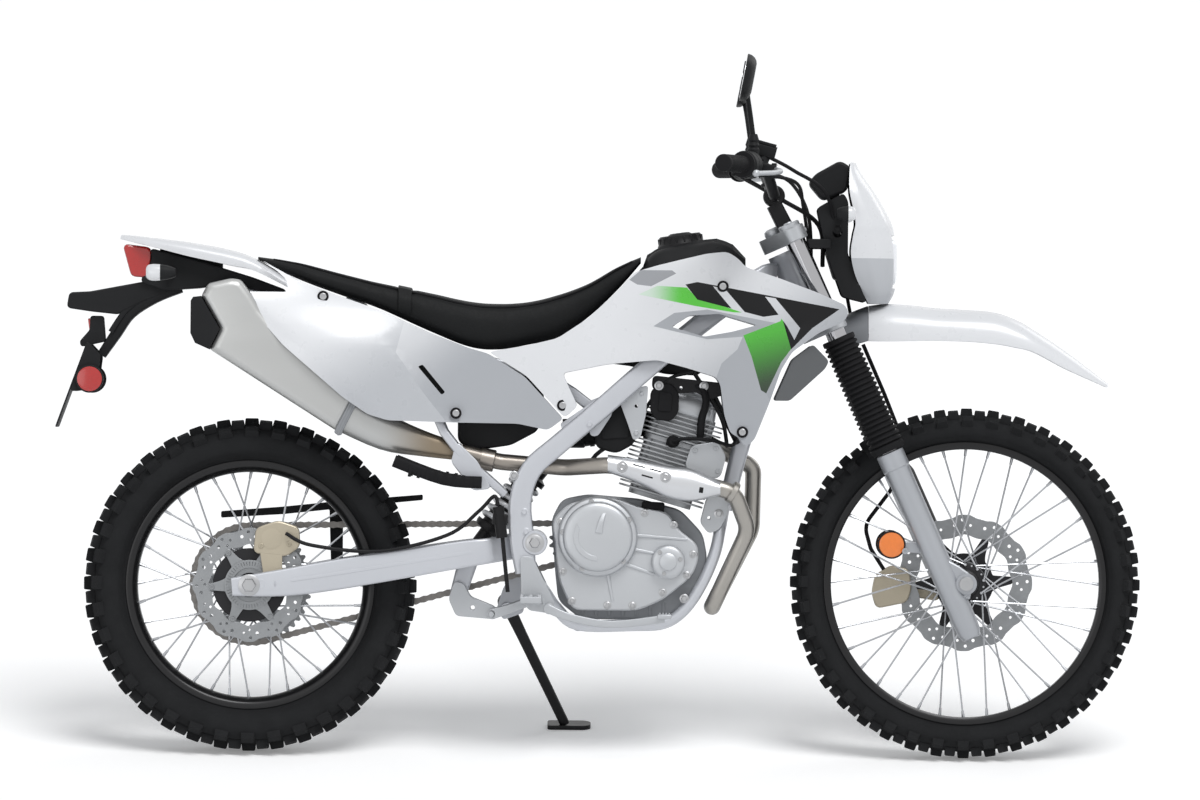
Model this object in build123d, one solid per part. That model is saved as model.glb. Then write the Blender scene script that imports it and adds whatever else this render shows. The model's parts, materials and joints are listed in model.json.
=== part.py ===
from build123d import *
import math
import os

# Dual sport motorcycle standing on its side stand, in millimetres.
#
# The bike is modelled upright: x forward from the rear axle, y to the rider's left, z up from the ground.
# At the end every piece leans to the left until the side stand's foot is flat on the ground, and the origin
# moves to the middle of the bottom of the whole machine.

# ------------------------------------------------------------------ driving dimensions
WHEELBASE = 1380.0
LEAN = 10.0              # degrees to the left on the side stand
RAKE = 24.5              # degrees from the vertical
RUN_GAP = 0.5            # clearance of a turning fit
SEAT_GAP = 0.3           # clearance between neighbours that don't move

LUG_HEIGHT = 12.0        # tread blocks over the bare casing
LUG_SHARE = 0.52         # share of the pitch that a block fills
FRONT_LUGS = 40          # blocks in each row round the tyre
REAR_LUGS = 36
FRONT_TYRE_R = 340.0
FRONT_TYRE_HALF = 42.0
FRONT_RIM_R = 273.0      # tip of the rim's flange
FRONT_RIM_INNER_R = 258.5
FRONT_RIM_HALF = 24.0
REAR_TYRE_R = 323.0
REAR_TYRE_HALF = 55.0
REAR_RIM_R = 240.0
REAR_RIM_INNER_R = 217.0
REAR_RIM_HALF = 31.0
RIM_FLANGE = 4.0
RIM_WELL = 7.0           # depth of the rim's well below its flange
SPOKES = 36
SPOKE_R = 2.0
SPOKE_CROSS = 60.0       # degrees from a spoke's hub hole to its rim hole

FRONT_HUB_FLANGE_R = 40.0
FRONT_HUB_FLANGE_Y = 26.0
REAR_HUB_FLANGE_R = 48.0
REAR_HUB_FLANGE_Y = 30.0
HUB_BARREL_R = 27.0
FLANGE_HALF = 3.0
FRONT_AXLE_R = 8.0
REAR_AXLE_R = 9.0
AXLE_NUT_R = 15.0

DISC_THICK = 4.0
FRONT_DISC_R = 132.0
FRONT_DISC_BAND_R = 92.0
FRONT_DISC_Y = 60.0      # middle of the disc, left side
REAR_DISC_R = 110.0
REAR_DISC_BAND_R = 77.0
REAR_DISC_Y = -68.0      # right side
DISC_SLOT = 5.0          # free width each side of a disc in its calliper

CHAIN_PITCH = 15.875
CHAIN_Y = 73.0
CHAIN_HALF = 9.0
CHAIN_HEIGHT = 15.0
CHAIN_WAIST = 2.2        # how much narrower a link is between its pins, on each edge
REAR_TEETH = 45
FRONT_TEETH = 14
SPROCKET_THICK = 6.0
FRONT_SPROCKET_X = 615.0
FRONT_SPROCKET_Z = 412.0

LEG_Y = 95.0             # fork legs from the middle
LEG_OFFSET = 30.0        # legs ahead of the steering axis
AXLE_OFFSET = 62.0       # front axle ahead of the steering axis
FORK_TUBE_R = 18.5
FORK_LOWER_R = 25.0
BOOT_R = 34.0
LEG_BOTTOM = -101.0      # heights along the steering axis, from the axle
LOWER_TOP = 292.0
BOOT_LOW = 293.0
BOOT_TOP = 533.0
BOOT_FOLDS = 14
BOOT_DEPTH = 5.0
BOOT_COLLAR = 10.0
LEG_TOP = 772.0
LOWER_CLAMP = (548.0, 580.0)
HEAD_TUBE = (590.0, 726.0)
TOP_CLAMP = (736.0, 764.0)
STAY_HEIGHT = (714.8, 731.3)   # headlight stay's seat on the tubes, below the top clamp
HEAD_TUBE_R = 31.0
STEM_R = 14.0

ARM_Y = 100.0            # swingarm arms from the middle
ARM_HALF = 12.0
PIVOT = (549.0, 411.0)
SPAR_Y = 108.0           # main frame tubes from the middle at the pivot
SPAR_HALF = 13.0
ARM_CROSS = (424.0, 390.0)
ARM_CROSS_R = 24.0
SHOCK_CROSS = (584.0, 592.0)
SHOCK_CROSS_R = 10.0
LOW_CROSS = (572.0, 308.0)
LOW_CROSS_R = 12.0
LINK_PIN = (402.0, 318.0)
MUFFLER_Y = -94.0
MUFFLER_HALF = 46.0
MUFFLER_TALL = 134.0
CRADLE_Y = 62.0
CRADLE_R = 11.0

BAR_CENTRE = (1004.0, 1084.0)
BAR_HALF = 404.0         # handlebar from the middle to its end
BAR_R = 11.0
GRIP_R = 17.0
GRIP_LENGTH = 118.0

STAND_PIVOT = (494.0, 118.0, 292.0)
STAND_LENGTH = 318.0
STAND_PIN_R = 7.0
STAND_DOWN = (0.39, 0.46, -0.80)     # direction of the leg when it carries the bike
STAND_FOLDED = (-0.955, 0.06, -0.29)  # direction of the leg when it is folded

# ------------------------------------------------------------------ derived places
LEAN_RAD = math.radians(LEAN)
RAKE_RAD = math.radians(RAKE)
GROUND_SLOPE = math.tan(LEAN_RAD)    # height of the ground under the upright bike, for each mm to the left


def axle_height(profile):
    """Height at which a leaning tyre, given as (y, radius) points, just meets the ground."""
    return max(radius + y * GROUND_SLOPE for y, radius in profile)


FRONT_TREAD = [(0, FRONT_TYRE_R), (22, FRONT_TYRE_R - 4), (36, FRONT_TYRE_R - 17)]
REAR_TREAD = [(0, REAR_TYRE_R), (28, REAR_TYRE_R - 4), (46, REAR_TYRE_R - 18)]
FRONT_AXLE_Z = axle_height(FRONT_TREAD)
REAR_AXLE_Z = axle_height(REAR_TREAD)
SPROCKET_R = CHAIN_PITCH / (2 * math.sin(math.pi / REAR_TEETH))
FRONT_SPROCKET_R = CHAIN_PITCH / (2 * math.sin(math.pi / FRONT_TEETH))

# The front end's outlines are drawn round an axle at this place, and the whole front end then moves to
# where the wheelbase and the front tyre put the axle.
DRAWN_AXLE_X, DRAWN_AXLE_Z = 1380.0, 340.0
FRONT_MOVE = (WHEELBASE - DRAWN_AXLE_X, 0, FRONT_AXLE_Z - DRAWN_AXLE_Z)

# the steering axis passes this far behind the front axle, and the fork's own frame stands on it
FORK_ORIGIN = (
    DRAWN_AXLE_X - AXLE_OFFSET * math.cos(RAKE_RAD),
    0,
    DRAWN_AXLE_Z - AXLE_OFFSET * math.sin(RAKE_RAD),
)
STEER_AXIS = (-math.sin(RAKE_RAD), 0, math.cos(RAKE_RAD))
FORK = Plane(
    origin=FORK_ORIGIN,
    x_dir=(math.cos(RAKE_RAD), 0, math.sin(RAKE_RAD)),
    z_dir=STEER_AXIS,
)


# ------------------------------------------------------------------ helpers
def slab(points, y_low, y_high):
    """Side outline of (x, z) points, extruded between two values of y."""
    pairs = zip(points, points[1:] + points[:1])
    area = sum(a[0] * b[1] - b[0] * a[1] for a, b in pairs)
    turned = points if area > 0 else points[::-1]
    face = Plane.XZ.offset(-y_high) * Polygon(*turned, align=None)
    return extrude(face, amount=y_high - y_low)


def drum(x, z, radius, y_low, y_high):
    """Cylinder along y."""
    face = Plane.XZ.offset(-y_high) * Pos(x, z) * Circle(radius)
    return extrude(face, amount=y_high - y_low)


def hexagon(x, z, radius, y_low, y_high):
    """Six-sided prism along y, as a bolt head."""
    face = Plane.XZ.offset(-y_high) * Pos(x, z) * RegularPolygon(radius, 6)
    return extrude(face, amount=y_high - y_low)


def rod(start, end, radius, sides=0):
    """Straight round bar between two points, or a prism with the given number of sides."""
    axis = Vector(*end) - Vector(*start)
    section = RegularPolygon(radius, sides) if sides else Circle(radius)
    return extrude(Plane(origin=start, z_dir=axis) * section, amount=axis.length)


def bent_tube(points, bends, radius):
    """Round tube along straight runs joined by tangent arcs, one bend radius for each corner."""
    path = FilletPolyline(*points, radius=bends)
    return sweep(Plane(origin=path @ 0, z_dir=path % 0) * Circle(radius), path)


def beam(rows, bevel=0.35, across=(0, 1, 0)):
    """Straight-sided loft of bevelled rectangles; each row is x, y, z, half width, half height."""
    points = [Vector(*row[:3]) for row in rows]
    wires = []
    for index, row in enumerate(rows):
        ahead = points[min(index + 1, len(rows) - 1)] - points[index]
        behind = points[index] - points[max(index - 1, 0)]
        tangent = Vector(0, 0, 0)
        for run in (ahead, behind):
            if run.length > 0:
                tangent += run.normalized()
        side = Vector(*across)
        side = side - tangent.normalized() * side.dot(tangent.normalized())
        half, tall = row[3], row[4]
        cut = bevel * min(half, tall)
        corners = [
            (half, cut - tall), (half, tall - cut), (half - cut, tall), (cut - half, tall),
            (-half, tall - cut), (-half, cut - tall), (cut - half, -tall), (half - cut, -tall),
        ]
        plane = Plane(origin=points[index], x_dir=side, z_dir=tangent)
        wires.append(Wire.make_polygon([plane.from_local_coords((u, v, 0)) for u, v in corners]))
    return Solid.make_loft(wires, ruled=True)


def parallel(line, gap):
    """Open line of 2-D points moved by gap to its right, with mitred corners."""
    moved = []
    for index, point in enumerate(line):
        normals = []
        for first, second in ((index - 1, index), (index, index + 1)):
            if first >= 0 and second < len(line):
                step_u = line[second][0] - line[first][0]
                step_v = line[second][1] - line[first][1]
                length = math.hypot(step_u, step_v)
                normals.append((step_v / length, -step_u / length))
        normal_u = sum(normal[0] for normal in normals) / len(normals)
        normal_v = sum(normal[1] for normal in normals) / len(normals)
        scale = gap / (normal_u ** 2 + normal_v ** 2)
        moved.append((point[0] + normal_u * scale, point[1] + normal_v * scale))
    return moved


def skin(axis, sections, thickness):
    """Straight-sided sheet through open lines on parallel planes.

    axis "x": each section is (x, [(y, z), ...]); axis "z": each section is (z, [(x, y), ...]).
    The lines are the outer face, and the thickness lies to the right of their direction.
    """
    wires = []
    for level, line in sections:
        closed = list(line) + parallel(line, thickness)[::-1]
        if axis == "x":
            points = [(level, u, v) for u, v in closed]
        else:
            points = [(u, v, level) for u, v in closed]
        wires.append(Wire.make_polygon([Vector(*point) for point in points]))
    return Solid.make_loft(wires, ruled=True)


def crowned(rows, shape):
    """Closed body through sections across x.

    Each row is x, low z, high z, half width; shape is half a section from the bottom to the crown, as
    shares of the half width and of the height.
    """
    wires = []
    full = list(shape) + [(-u, v) for u, v in reversed(shape)]
    for x, low, high, half in rows:
        points = [Vector(x, u * half, low + v * (high - low)) for u, v in full]
        wires.append(Wire.make_polygon(points))
    return Solid.make_loft(wires, ruled=True)


def arch(half, low, high, shape):
    """Open line over a fender from its right edge to its left edge, as (y, z) points."""
    right = [(-u * half, low + v * (high - low)) for u, v in shape]
    left = [(-y, z) for y, z in reversed(right)]
    return right + left


def both_sides(piece):
    """The piece and its mirror image across the middle of the bike."""
    return [piece, mirror(piece, about=Plane.XZ)]


def group(*pieces):
    """Several solids that don't touch, as one node."""
    solids = []
    for piece in pieces:
        if isinstance(piece, (list, tuple)):
            for item in piece:
                solids.extend(item.solids())
        else:
            solids.extend(piece.solids())
    return Compound(children=solids)


def fused(*pieces):
    """Several solids joined into one."""
    solids = []
    for piece in pieces:
        if isinstance(piece, (list, tuple)):
            for item in piece:
                solids.extend(item.solids())
        else:
            solids.extend(piece.solids())
    return solids[0].fuse(*solids[1:]).clean() if len(solids) > 1 else solids[0]


def wheel_turned(profile):
    """Ring turned about a wheel's axle from closed (y, radius) points, centred on the axle."""
    face = make_face(Wire.make_polygon([Vector(radius, y, 0) for y, radius in profile]))
    return revolve(face, Axis.Y)


def at_front(piece):
    """Move a piece made about the origin to the front axle."""
    return Pos(DRAWN_AXLE_X, 0, DRAWN_AXLE_Z) * piece


def at_rear(piece):
    """Move a piece made about the origin to the rear axle."""
    return Pos(0, 0, REAR_AXLE_Z) * piece


def fork_point(ahead, y, height):
    """Bike point from a place in the fork's frame: ahead of the axis, left, and up along it."""
    return tuple(FORK.from_local_coords((ahead, y, height)))


def fork_side(ahead, height):
    """Side-view point (x, z) of a place in the fork's frame."""
    x, _, z = fork_point(ahead, 0, height)
    return (x, z)


# ------------------------------------------------------------------ wheels
def lug_ring(count, tip_r, root_r, y_low, y_high, phase):
    """Row of tread blocks standing on a band that lies inside the tyre's casing."""
    step = 360.0 / count
    outline = []
    for index in range(count):
        middle = step * (index + phase) - 90
        for turn, reach in ((-1, root_r), (-1, tip_r), (1, tip_r), (1, root_r)):
            angle = math.radians(middle + turn * step * LUG_SHARE / 2)
            outline.append((reach * math.cos(angle), reach * math.sin(angle)))
    face = Polygon(*outline, align=None) - Circle(root_r - LUG_HEIGHT)
    return extrude(Plane.XZ.offset(-y_high) * face, amount=y_high - y_low)


def tyre(tread, half_width, rim_r, rim_half, lugs):
    """Block-tread tyre on its rim: a turned casing with one row of blocks in the middle and one at each edge.

    tread is half of the line over the blocks' tips, as (y, radius) from the middle to the shoulder.
    """
    bead = rim_r - RIM_WELL + SEAT_GAP
    shoulder_y, shoulder_r = tread[-1]
    side = [
        (half_width, shoulder_r - 22),
        (half_width - 6, rim_r + 14),
        (rim_half - RIM_FLANGE - SEAT_GAP, rim_r + 2),
        (rim_half - RIM_FLANGE - SEAT_GAP, bead),
    ]
    casing = [(y, radius - LUG_HEIGHT) for y, radius in tread[:-1]] + [(shoulder_y, shoulder_r - LUG_HEIGHT * 0.7)]
    half = casing + side
    profile = half + [(-y, radius) for y, radius in reversed(half[1:])]
    middle_half = tread[1][0] * 0.55
    middle_r = axle_height(tread) - middle_half * GROUND_SLOPE
    edge_r = (tread[1][1] + shoulder_r) / 2
    rows = [lug_ring(lugs, middle_r, middle_r - LUG_HEIGHT - 3, -middle_half, middle_half, 0.0)]
    for low, high in ((tread[1][0] * 0.78, shoulder_y), (-shoulder_y, -tread[1][0] * 0.78)):
        rows.append(lug_ring(lugs, edge_r, shoulder_r - LUG_HEIGHT - 2, low, high, 0.5))
    return fused(wheel_turned(profile), rows)


def rim(rim_r, inner_r, half_width):
    """Rim with a flange each side and a shallow well."""
    seat_r = rim_r - RIM_WELL
    half = [
        (0, seat_r),
        (half_width - RIM_FLANGE, seat_r),
        (half_width - RIM_FLANGE, rim_r),
        (half_width, rim_r),
        (half_width, seat_r - 2),
        (half_width * 0.45, inner_r),
    ]
    profile = half + [(-y, radius) for y, radius in reversed(half[1:])]
    return wheel_turned(profile)


def spokes(flange_r, flange_y, rim_inner_r):
    """Crossed spokes from the hub's flanges to the rim, alternating sides and directions."""
    pieces = []
    step = 720.0 / SPOKES
    for side in (1, -1):
        for index in range(SPOKES // 2):
            leading = index % 2 == 0
            turn = 1 if leading else -1
            hub_angle = math.radians(step * index + (step / 2 if side < 0 else 0))
            rim_angle = hub_angle + math.radians(turn * SPOKE_CROSS)
            hub_y = side * (flange_y + (6 if leading else -6))
            rim_y = side * (8 if leading else 2)
            start_r = flange_r - 6
            end_r = rim_inner_r + 4
            start = (start_r * math.cos(hub_angle), hub_y, start_r * math.sin(hub_angle))
            end = (end_r * math.cos(rim_angle), rim_y, end_r * math.sin(rim_angle))
            pieces.append(rod(start, end, SPOKE_R, 6))
    room = wheel_turned([
        (-60, flange_r + SEAT_GAP), (60, flange_r + SEAT_GAP),
        (60, rim_inner_r - SEAT_GAP), (-60, rim_inner_r - SEAT_GAP),
    ])
    return group([piece & room for piece in pieces])


def hub(flange_r, flange_y, axle_r, left_end, right_end, left_seat, right_seat):
    """Hub barrel with two spoke flanges and seats of the given radius out to each end."""
    bore = axle_r + RUN_GAP
    profile = [
        (right_end, bore), (right_end, right_seat), (-flange_y - FLANGE_HALF, right_seat),
        (-flange_y - FLANGE_HALF, flange_r), (FLANGE_HALF - flange_y, flange_r),
        (FLANGE_HALF - flange_y, HUB_BARREL_R), (flange_y - FLANGE_HALF, HUB_BARREL_R),
        (flange_y - FLANGE_HALF, flange_r), (flange_y + FLANGE_HALF, flange_r),
        (flange_y + FLANGE_HALF, left_seat), (left_end, left_seat), (left_end, bore),
    ]
    return wheel_turned(profile)


def disc(radius, band_r, hub_r, middle_y, arms, waves):
    """Wavy brake disc on a spoked carrier, made about the axle."""
    outline = []
    for index in range(waves * 4):
        angle = math.radians(index * 360.0 / (waves * 4))
        reach = radius if index % 4 in (0, 1) else radius - 6
        outline.append((reach * math.cos(angle), reach * math.sin(angle)))
    ring = Polygon(*outline, align=None) - Circle(band_r)
    carrier = Circle(hub_r + 12) - Circle(hub_r)
    face = ring + carrier
    for index in range(arms):
        arm = Pos((band_r + hub_r) / 2 + 4, 0) * Rectangle(band_r - hub_r, 13)
        face += Rot(0, 0, index * 360.0 / arms) * arm
    return extrude(Plane.XZ.offset(-middle_y - DISC_THICK / 2) * face, amount=DISC_THICK)


def sprocket(teeth, pitch_r, hub_r, middle_y):
    """Toothed chain wheel with six windows, made about its axis."""
    outline = []
    for index in range(teeth * 4):
        angle = math.radians((index + 0.5) * 90.0 / teeth)
        reach = pitch_r + 3.5 if index % 4 in (0, 1) else pitch_r - 4.5
        outline.append((reach * math.cos(angle), reach * math.sin(angle)))
    face = Polygon(*outline, align=None) - Circle(hub_r)
    for index in range(6):
        window = Pos(pitch_r * 0.73, 0) * RegularPolygon(pitch_r * 0.14, 6)
        face -= Rot(0, 0, index * 60) * window
    return extrude(Plane.XZ.offset(-middle_y - SPROCKET_THICK / 2) * face, amount=SPROCKET_THICK)


def front_wheel():
    """Nodes of the front wheel."""
    disc_seat = 30.0
    left_end = FRONT_DISC_Y - DISC_THICK / 2
    return {
        "front_tyre": at_front(tyre(FRONT_TREAD, FRONT_TYRE_HALF, FRONT_RIM_R, FRONT_RIM_HALF, FRONT_LUGS)),
        "front_rim": at_front(rim(FRONT_RIM_R, FRONT_RIM_INNER_R, FRONT_RIM_HALF)),
        "front_spokes": at_front(spokes(FRONT_HUB_FLANGE_R, FRONT_HUB_FLANGE_Y, FRONT_RIM_INNER_R)),
        "front_hub": at_front(
            hub(FRONT_HUB_FLANGE_R, FRONT_HUB_FLANGE_Y, FRONT_AXLE_R, left_end, -58, disc_seat, 20)
        ),
        "front_disc": at_front(disc(FRONT_DISC_R, FRONT_DISC_BAND_R, 17, FRONT_DISC_Y, 6, 12)),
    }


def rear_wheel():
    """Nodes of the rear wheel."""
    left_end = CHAIN_Y - SPROCKET_THICK / 2
    right_end = REAR_DISC_Y + DISC_THICK / 2
    return {
        "rear_tyre": at_rear(tyre(REAR_TREAD, REAR_TYRE_HALF, REAR_RIM_R, REAR_RIM_HALF, REAR_LUGS)),
        "rear_rim": at_rear(rim(REAR_RIM_R, REAR_RIM_INNER_R, REAR_RIM_HALF)),
        "rear_spokes": at_rear(spokes(REAR_HUB_FLANGE_R, REAR_HUB_FLANGE_Y, REAR_RIM_INNER_R)),
        "rear_hub": at_rear(
            hub(REAR_HUB_FLANGE_R, REAR_HUB_FLANGE_Y, REAR_AXLE_R, left_end, right_end, 44, 34)
        ),
        "rear_disc": at_rear(disc(REAR_DISC_R, REAR_DISC_BAND_R, 20, REAR_DISC_Y, 6, 12)),
        "rear_sprocket": at_rear(sprocket(REAR_TEETH, SPROCKET_R, 22, CHAIN_Y)),
    }


# ------------------------------------------------------------------ fork and steering
def leg_cylinder(radius, low, high, y=LEG_Y):
    """Round piece along a fork leg."""
    return FORK * Pos(LEG_OFFSET, y, low) * Cylinder(radius, high - low, align=(Align.CENTER, Align.CENTER, Align.MIN))


def fork_clamp(low, high):
    """Clamp across both legs, bored for the tubes and the stem."""
    shape = [
        (-34, -30), (-20, -44), (LEG_OFFSET - 14, -LEG_Y - 30), (LEG_OFFSET + 22, -LEG_Y - 30),
        (LEG_OFFSET + 30, -LEG_Y), (LEG_OFFSET + 14, -40), (LEG_OFFSET + 14, 40), (LEG_OFFSET + 30, LEG_Y),
        (LEG_OFFSET + 22, LEG_Y + 30), (LEG_OFFSET - 14, LEG_Y + 30), (-20, 44), (-34, 30),
    ]
    body = FORK * Pos(0, 0, low) * extrude(Polygon(*shape, align=None), amount=high - low)
    for y in (LEG_Y, -LEG_Y):
        body -= leg_cylinder(FORK_TUBE_R + SEAT_GAP, low - 1, high + 1, y)
    return body


def bar_posts():
    """Two posts on the top clamp with the round blocks that hold the handlebar."""
    x, z = BAR_CENTRE
    posts = []
    for y in (38, -38):
        post = beam([(x + 31, y, z - 78, 12, 16), (x, y, z - 18, 12, 15)])
        posts.append(fused(post, drum(x, z, 21, y - 12, y + 12)))
    return posts


def boot(y):
    """Rubber bellows round one fork tube, turned from its folded outline."""
    inner = FORK_TUBE_R + SEAT_GAP
    fold = (BOOT_TOP - BOOT_LOW - 2 * BOOT_COLLAR) / BOOT_FOLDS
    line = [(inner, BOOT_LOW), (BOOT_R - BOOT_DEPTH, BOOT_LOW), (BOOT_R - BOOT_DEPTH, BOOT_LOW + BOOT_COLLAR)]
    for index in range(BOOT_FOLDS):
        base = BOOT_LOW + BOOT_COLLAR + fold * index
        line += [(BOOT_R, base + fold / 2), (BOOT_R - BOOT_DEPTH, base + fold)]
    line += [(BOOT_R - BOOT_DEPTH, BOOT_TOP), (inner, BOOT_TOP)]
    wire = Wire.make_polygon([Vector(*fork_point(LEG_OFFSET + radius, y, height)) for radius, height in line])
    return revolve(make_face(wire), Axis(fork_point(LEG_OFFSET, y, 0), STEER_AXIS))


def steering():
    """Nodes that turn with the handlebar, apart from its controls and the nose."""
    stem = FORK * Pos(0, 0, LOWER_CLAMP[1] - 2) * Cylinder(
        STEM_R, TOP_CLAMP[0] - LOWER_CLAMP[1] + 4, align=(Align.CENTER, Align.CENTER, Align.MIN)
    )
    clamps = fused(fork_clamp(*LOWER_CLAMP), fork_clamp(*TOP_CLAMP), stem, bar_posts())
    clamps -= drum(BAR_CENTRE[0], BAR_CENTRE[1], BAR_R + SEAT_GAP, -60, 60)
    tubes = group([leg_cylinder(FORK_TUBE_R, LOWER_TOP + SEAT_GAP, LEG_TOP, y) for y in (LEG_Y, -LEG_Y)])
    boots = []
    lowers = []
    axle_y = 70.0
    for y in (LEG_Y, -LEG_Y):
        boots.append(boot(y))
        side = 1 if y > 0 else -1
        leg = leg_cylinder(FORK_LOWER_R, LEG_BOTTOM, LOWER_TOP, y)
        lug_low, lug_high = sorted((side * (axle_y + 2), side * (LEG_Y + 23)))
        lug = drum(DRAWN_AXLE_X, DRAWN_AXLE_Z, 21, lug_low, lug_high)
        web = slab([
            (DRAWN_AXLE_X - 40, DRAWN_AXLE_Z + 44), (DRAWN_AXLE_X - 18, DRAWN_AXLE_Z + 34),
            (DRAWN_AXLE_X + 4, DRAWN_AXLE_Z + 20), (DRAWN_AXLE_X + 2, DRAWN_AXLE_Z - 20),
            (DRAWN_AXLE_X - 16, DRAWN_AXLE_Z - 34), (DRAWN_AXLE_X - 20, DRAWN_AXLE_Z - 46),
        ], lug_low + 6, lug_high - 6)
        bore = drum(DRAWN_AXLE_X, DRAWN_AXLE_Z, FRONT_AXLE_R + SEAT_GAP, lug_low - 1, lug_high + 1)
        tab = slab([(1226, 404), (1300, 398), (1300, 416), (1226, 422)], *sorted((side * 88, side * 92)))
        lowers.append(fused(leg, lug, web, tab) - bore)
    axle = drum(DRAWN_AXLE_X, DRAWN_AXLE_Z, FRONT_AXLE_R, -LEG_Y - 30, LEG_Y + 30)
    spacer_left = drum(DRAWN_AXLE_X, DRAWN_AXLE_Z, 13, FRONT_DISC_Y + DISC_THICK / 2 + 1, axle_y + 1)
    spacer_right = drum(DRAWN_AXLE_X, DRAWN_AXLE_Z, 13, -axle_y - 1, -59)
    nuts = [
        hexagon(DRAWN_AXLE_X, DRAWN_AXLE_Z, AXLE_NUT_R, LEG_Y + 24, LEG_Y + 33),
        hexagon(DRAWN_AXLE_X, DRAWN_AXLE_Z, AXLE_NUT_R, -LEG_Y - 33, -LEG_Y - 24),
    ]
    return {
        "fork_clamps": clamps,
        "fork_tubes": tubes,
        "fork_boots": group(boots),
        "fork_lowers": group(lowers),
        "front_axle": fused(axle, spacer_left, spacer_right, nuts),
    }


# ------------------------------------------------------------------ handlebar, controls and nose
def handlebar():
    """Nodes of the handlebar and what it carries."""
    places = [(902, 1141, BAR_HALF), (984, 1139, 170), BAR_CENTRE + (68,)]
    left = [(x, y, z) for x, z, y in places]
    right = [(x, -y, z) for x, y, z in reversed(left)]
    bar = bent_tube(left + right, [60, 50, 50, 60], BAR_R)
    grips = []
    controls = []
    tip = Vector(*left[0])
    inner = Vector(*left[1])
    along = (inner - tip).normalized()
    for side in (1, -1):
        def at(distance):
            """Point on the bar's straight end, measured inwards from its tip."""
            point = tip + along * distance
            return (point.X, side * point.Y, point.Z)
        bore = rod(at(-20), at(235), BAR_R + SEAT_GAP)
        grip = fused(rod(at(-4), at(GRIP_LENGTH), GRIP_R), rod(at(GRIP_LENGTH - 5), at(GRIP_LENGTH), 25))
        grips.append(grip - rod(at(0), at(235), BAR_R + SEAT_GAP))
        housing = rod(at(GRIP_LENGTH + 1), at(GRIP_LENGTH + 42), 27 if side < 0 else 22)
        perch = rod(at(GRIP_LENGTH + 41), at(GRIP_LENGTH + 76), 18)
        px, py, pz = at(GRIP_LENGTH + 60)
        arm = beam([(px + 6, py, pz - 2, 9, 9), (px + 42, py + side * 14, pz - 8, 7, 9)], 0.35, (0, 1, 0))
        lx, ly, lz = px + 44, py + side * 10, pz - 8
        lever = beam([
            (lx - 6, ly - side * 4, lz, 8, 6), (lx + 6, ly + side * 30, lz - 3, 7, 5),
            (lx - 14, ly + side * 100, lz - 8, 6, 5), (lx - 40, ly + side * 165, lz - 10, 6, 5),
        ], 0.35, (1, 0, 0))
        parts = [housing, perch, arm, lever]
        if side < 0:
            reservoir = beam([
                (px + 6, py + 38, pz + 34, 20, 17), (px + 44, py + 38, pz + 24, 20, 17),
            ])
            parts.append(reservoir)
            parts.append(rod((px + 14, py + 10, pz - 6), (px + 22, py + 34, pz + 14), 11))
        controls.append(fused(parts) - bore)
    mirrors = []
    for side in (1, -1):
        point = tip + along * (GRIP_LENGTH + 60)
        x, y, z = point.X, side * point.Y, point.Z
        boot = rod((x, y, z + 19), (x, y, z + 60), 12)
        stalk = beam([(x - 2, y, z + 58, 5, 5), (x + 2, y + side * 4, z + 100, 5, 5),
                      (x - 6, y + side * 50, z + 150, 5, 5)], 0.5)
        glass_x = x - 10
        shape = [
            (-88, -12), (-74, -44), (-30, -52), (30, -48), (66, -34), (84, -6), (74, 24), (30, 40), (-40, 42),
            (-80, 22),
        ]
        face = Plane(origin=(glass_x, y + side * 62, z + 172), x_dir=(0, side, 0), z_dir=(-1, 0, 0.18))
        shell = extrude(face * Polygon(*shape, align=None), amount=-20, taper=22)
        mirrors.append(fused(boot, stalk, shell))
    return {
        "handlebar": bar,
        "grips": group(grips),
        "hand_controls": group(controls),
        "mirrors": group(mirrors),
    }


COWL_SHAPE = [(1.0, 0.0), (0.97, 0.45), (0.72, 0.85), (0.3, 1.0)]


def cowl_line(rear_x, front_x, half):
    """Plan line round the nose at one height, from its right rear edge to its left rear edge."""
    left = [(rear_x + v * (front_x - rear_x), u * half) for u, v in COWL_SHAPE]
    right = [(x, -y) for x, y in left]
    return right + left[::-1]


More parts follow.
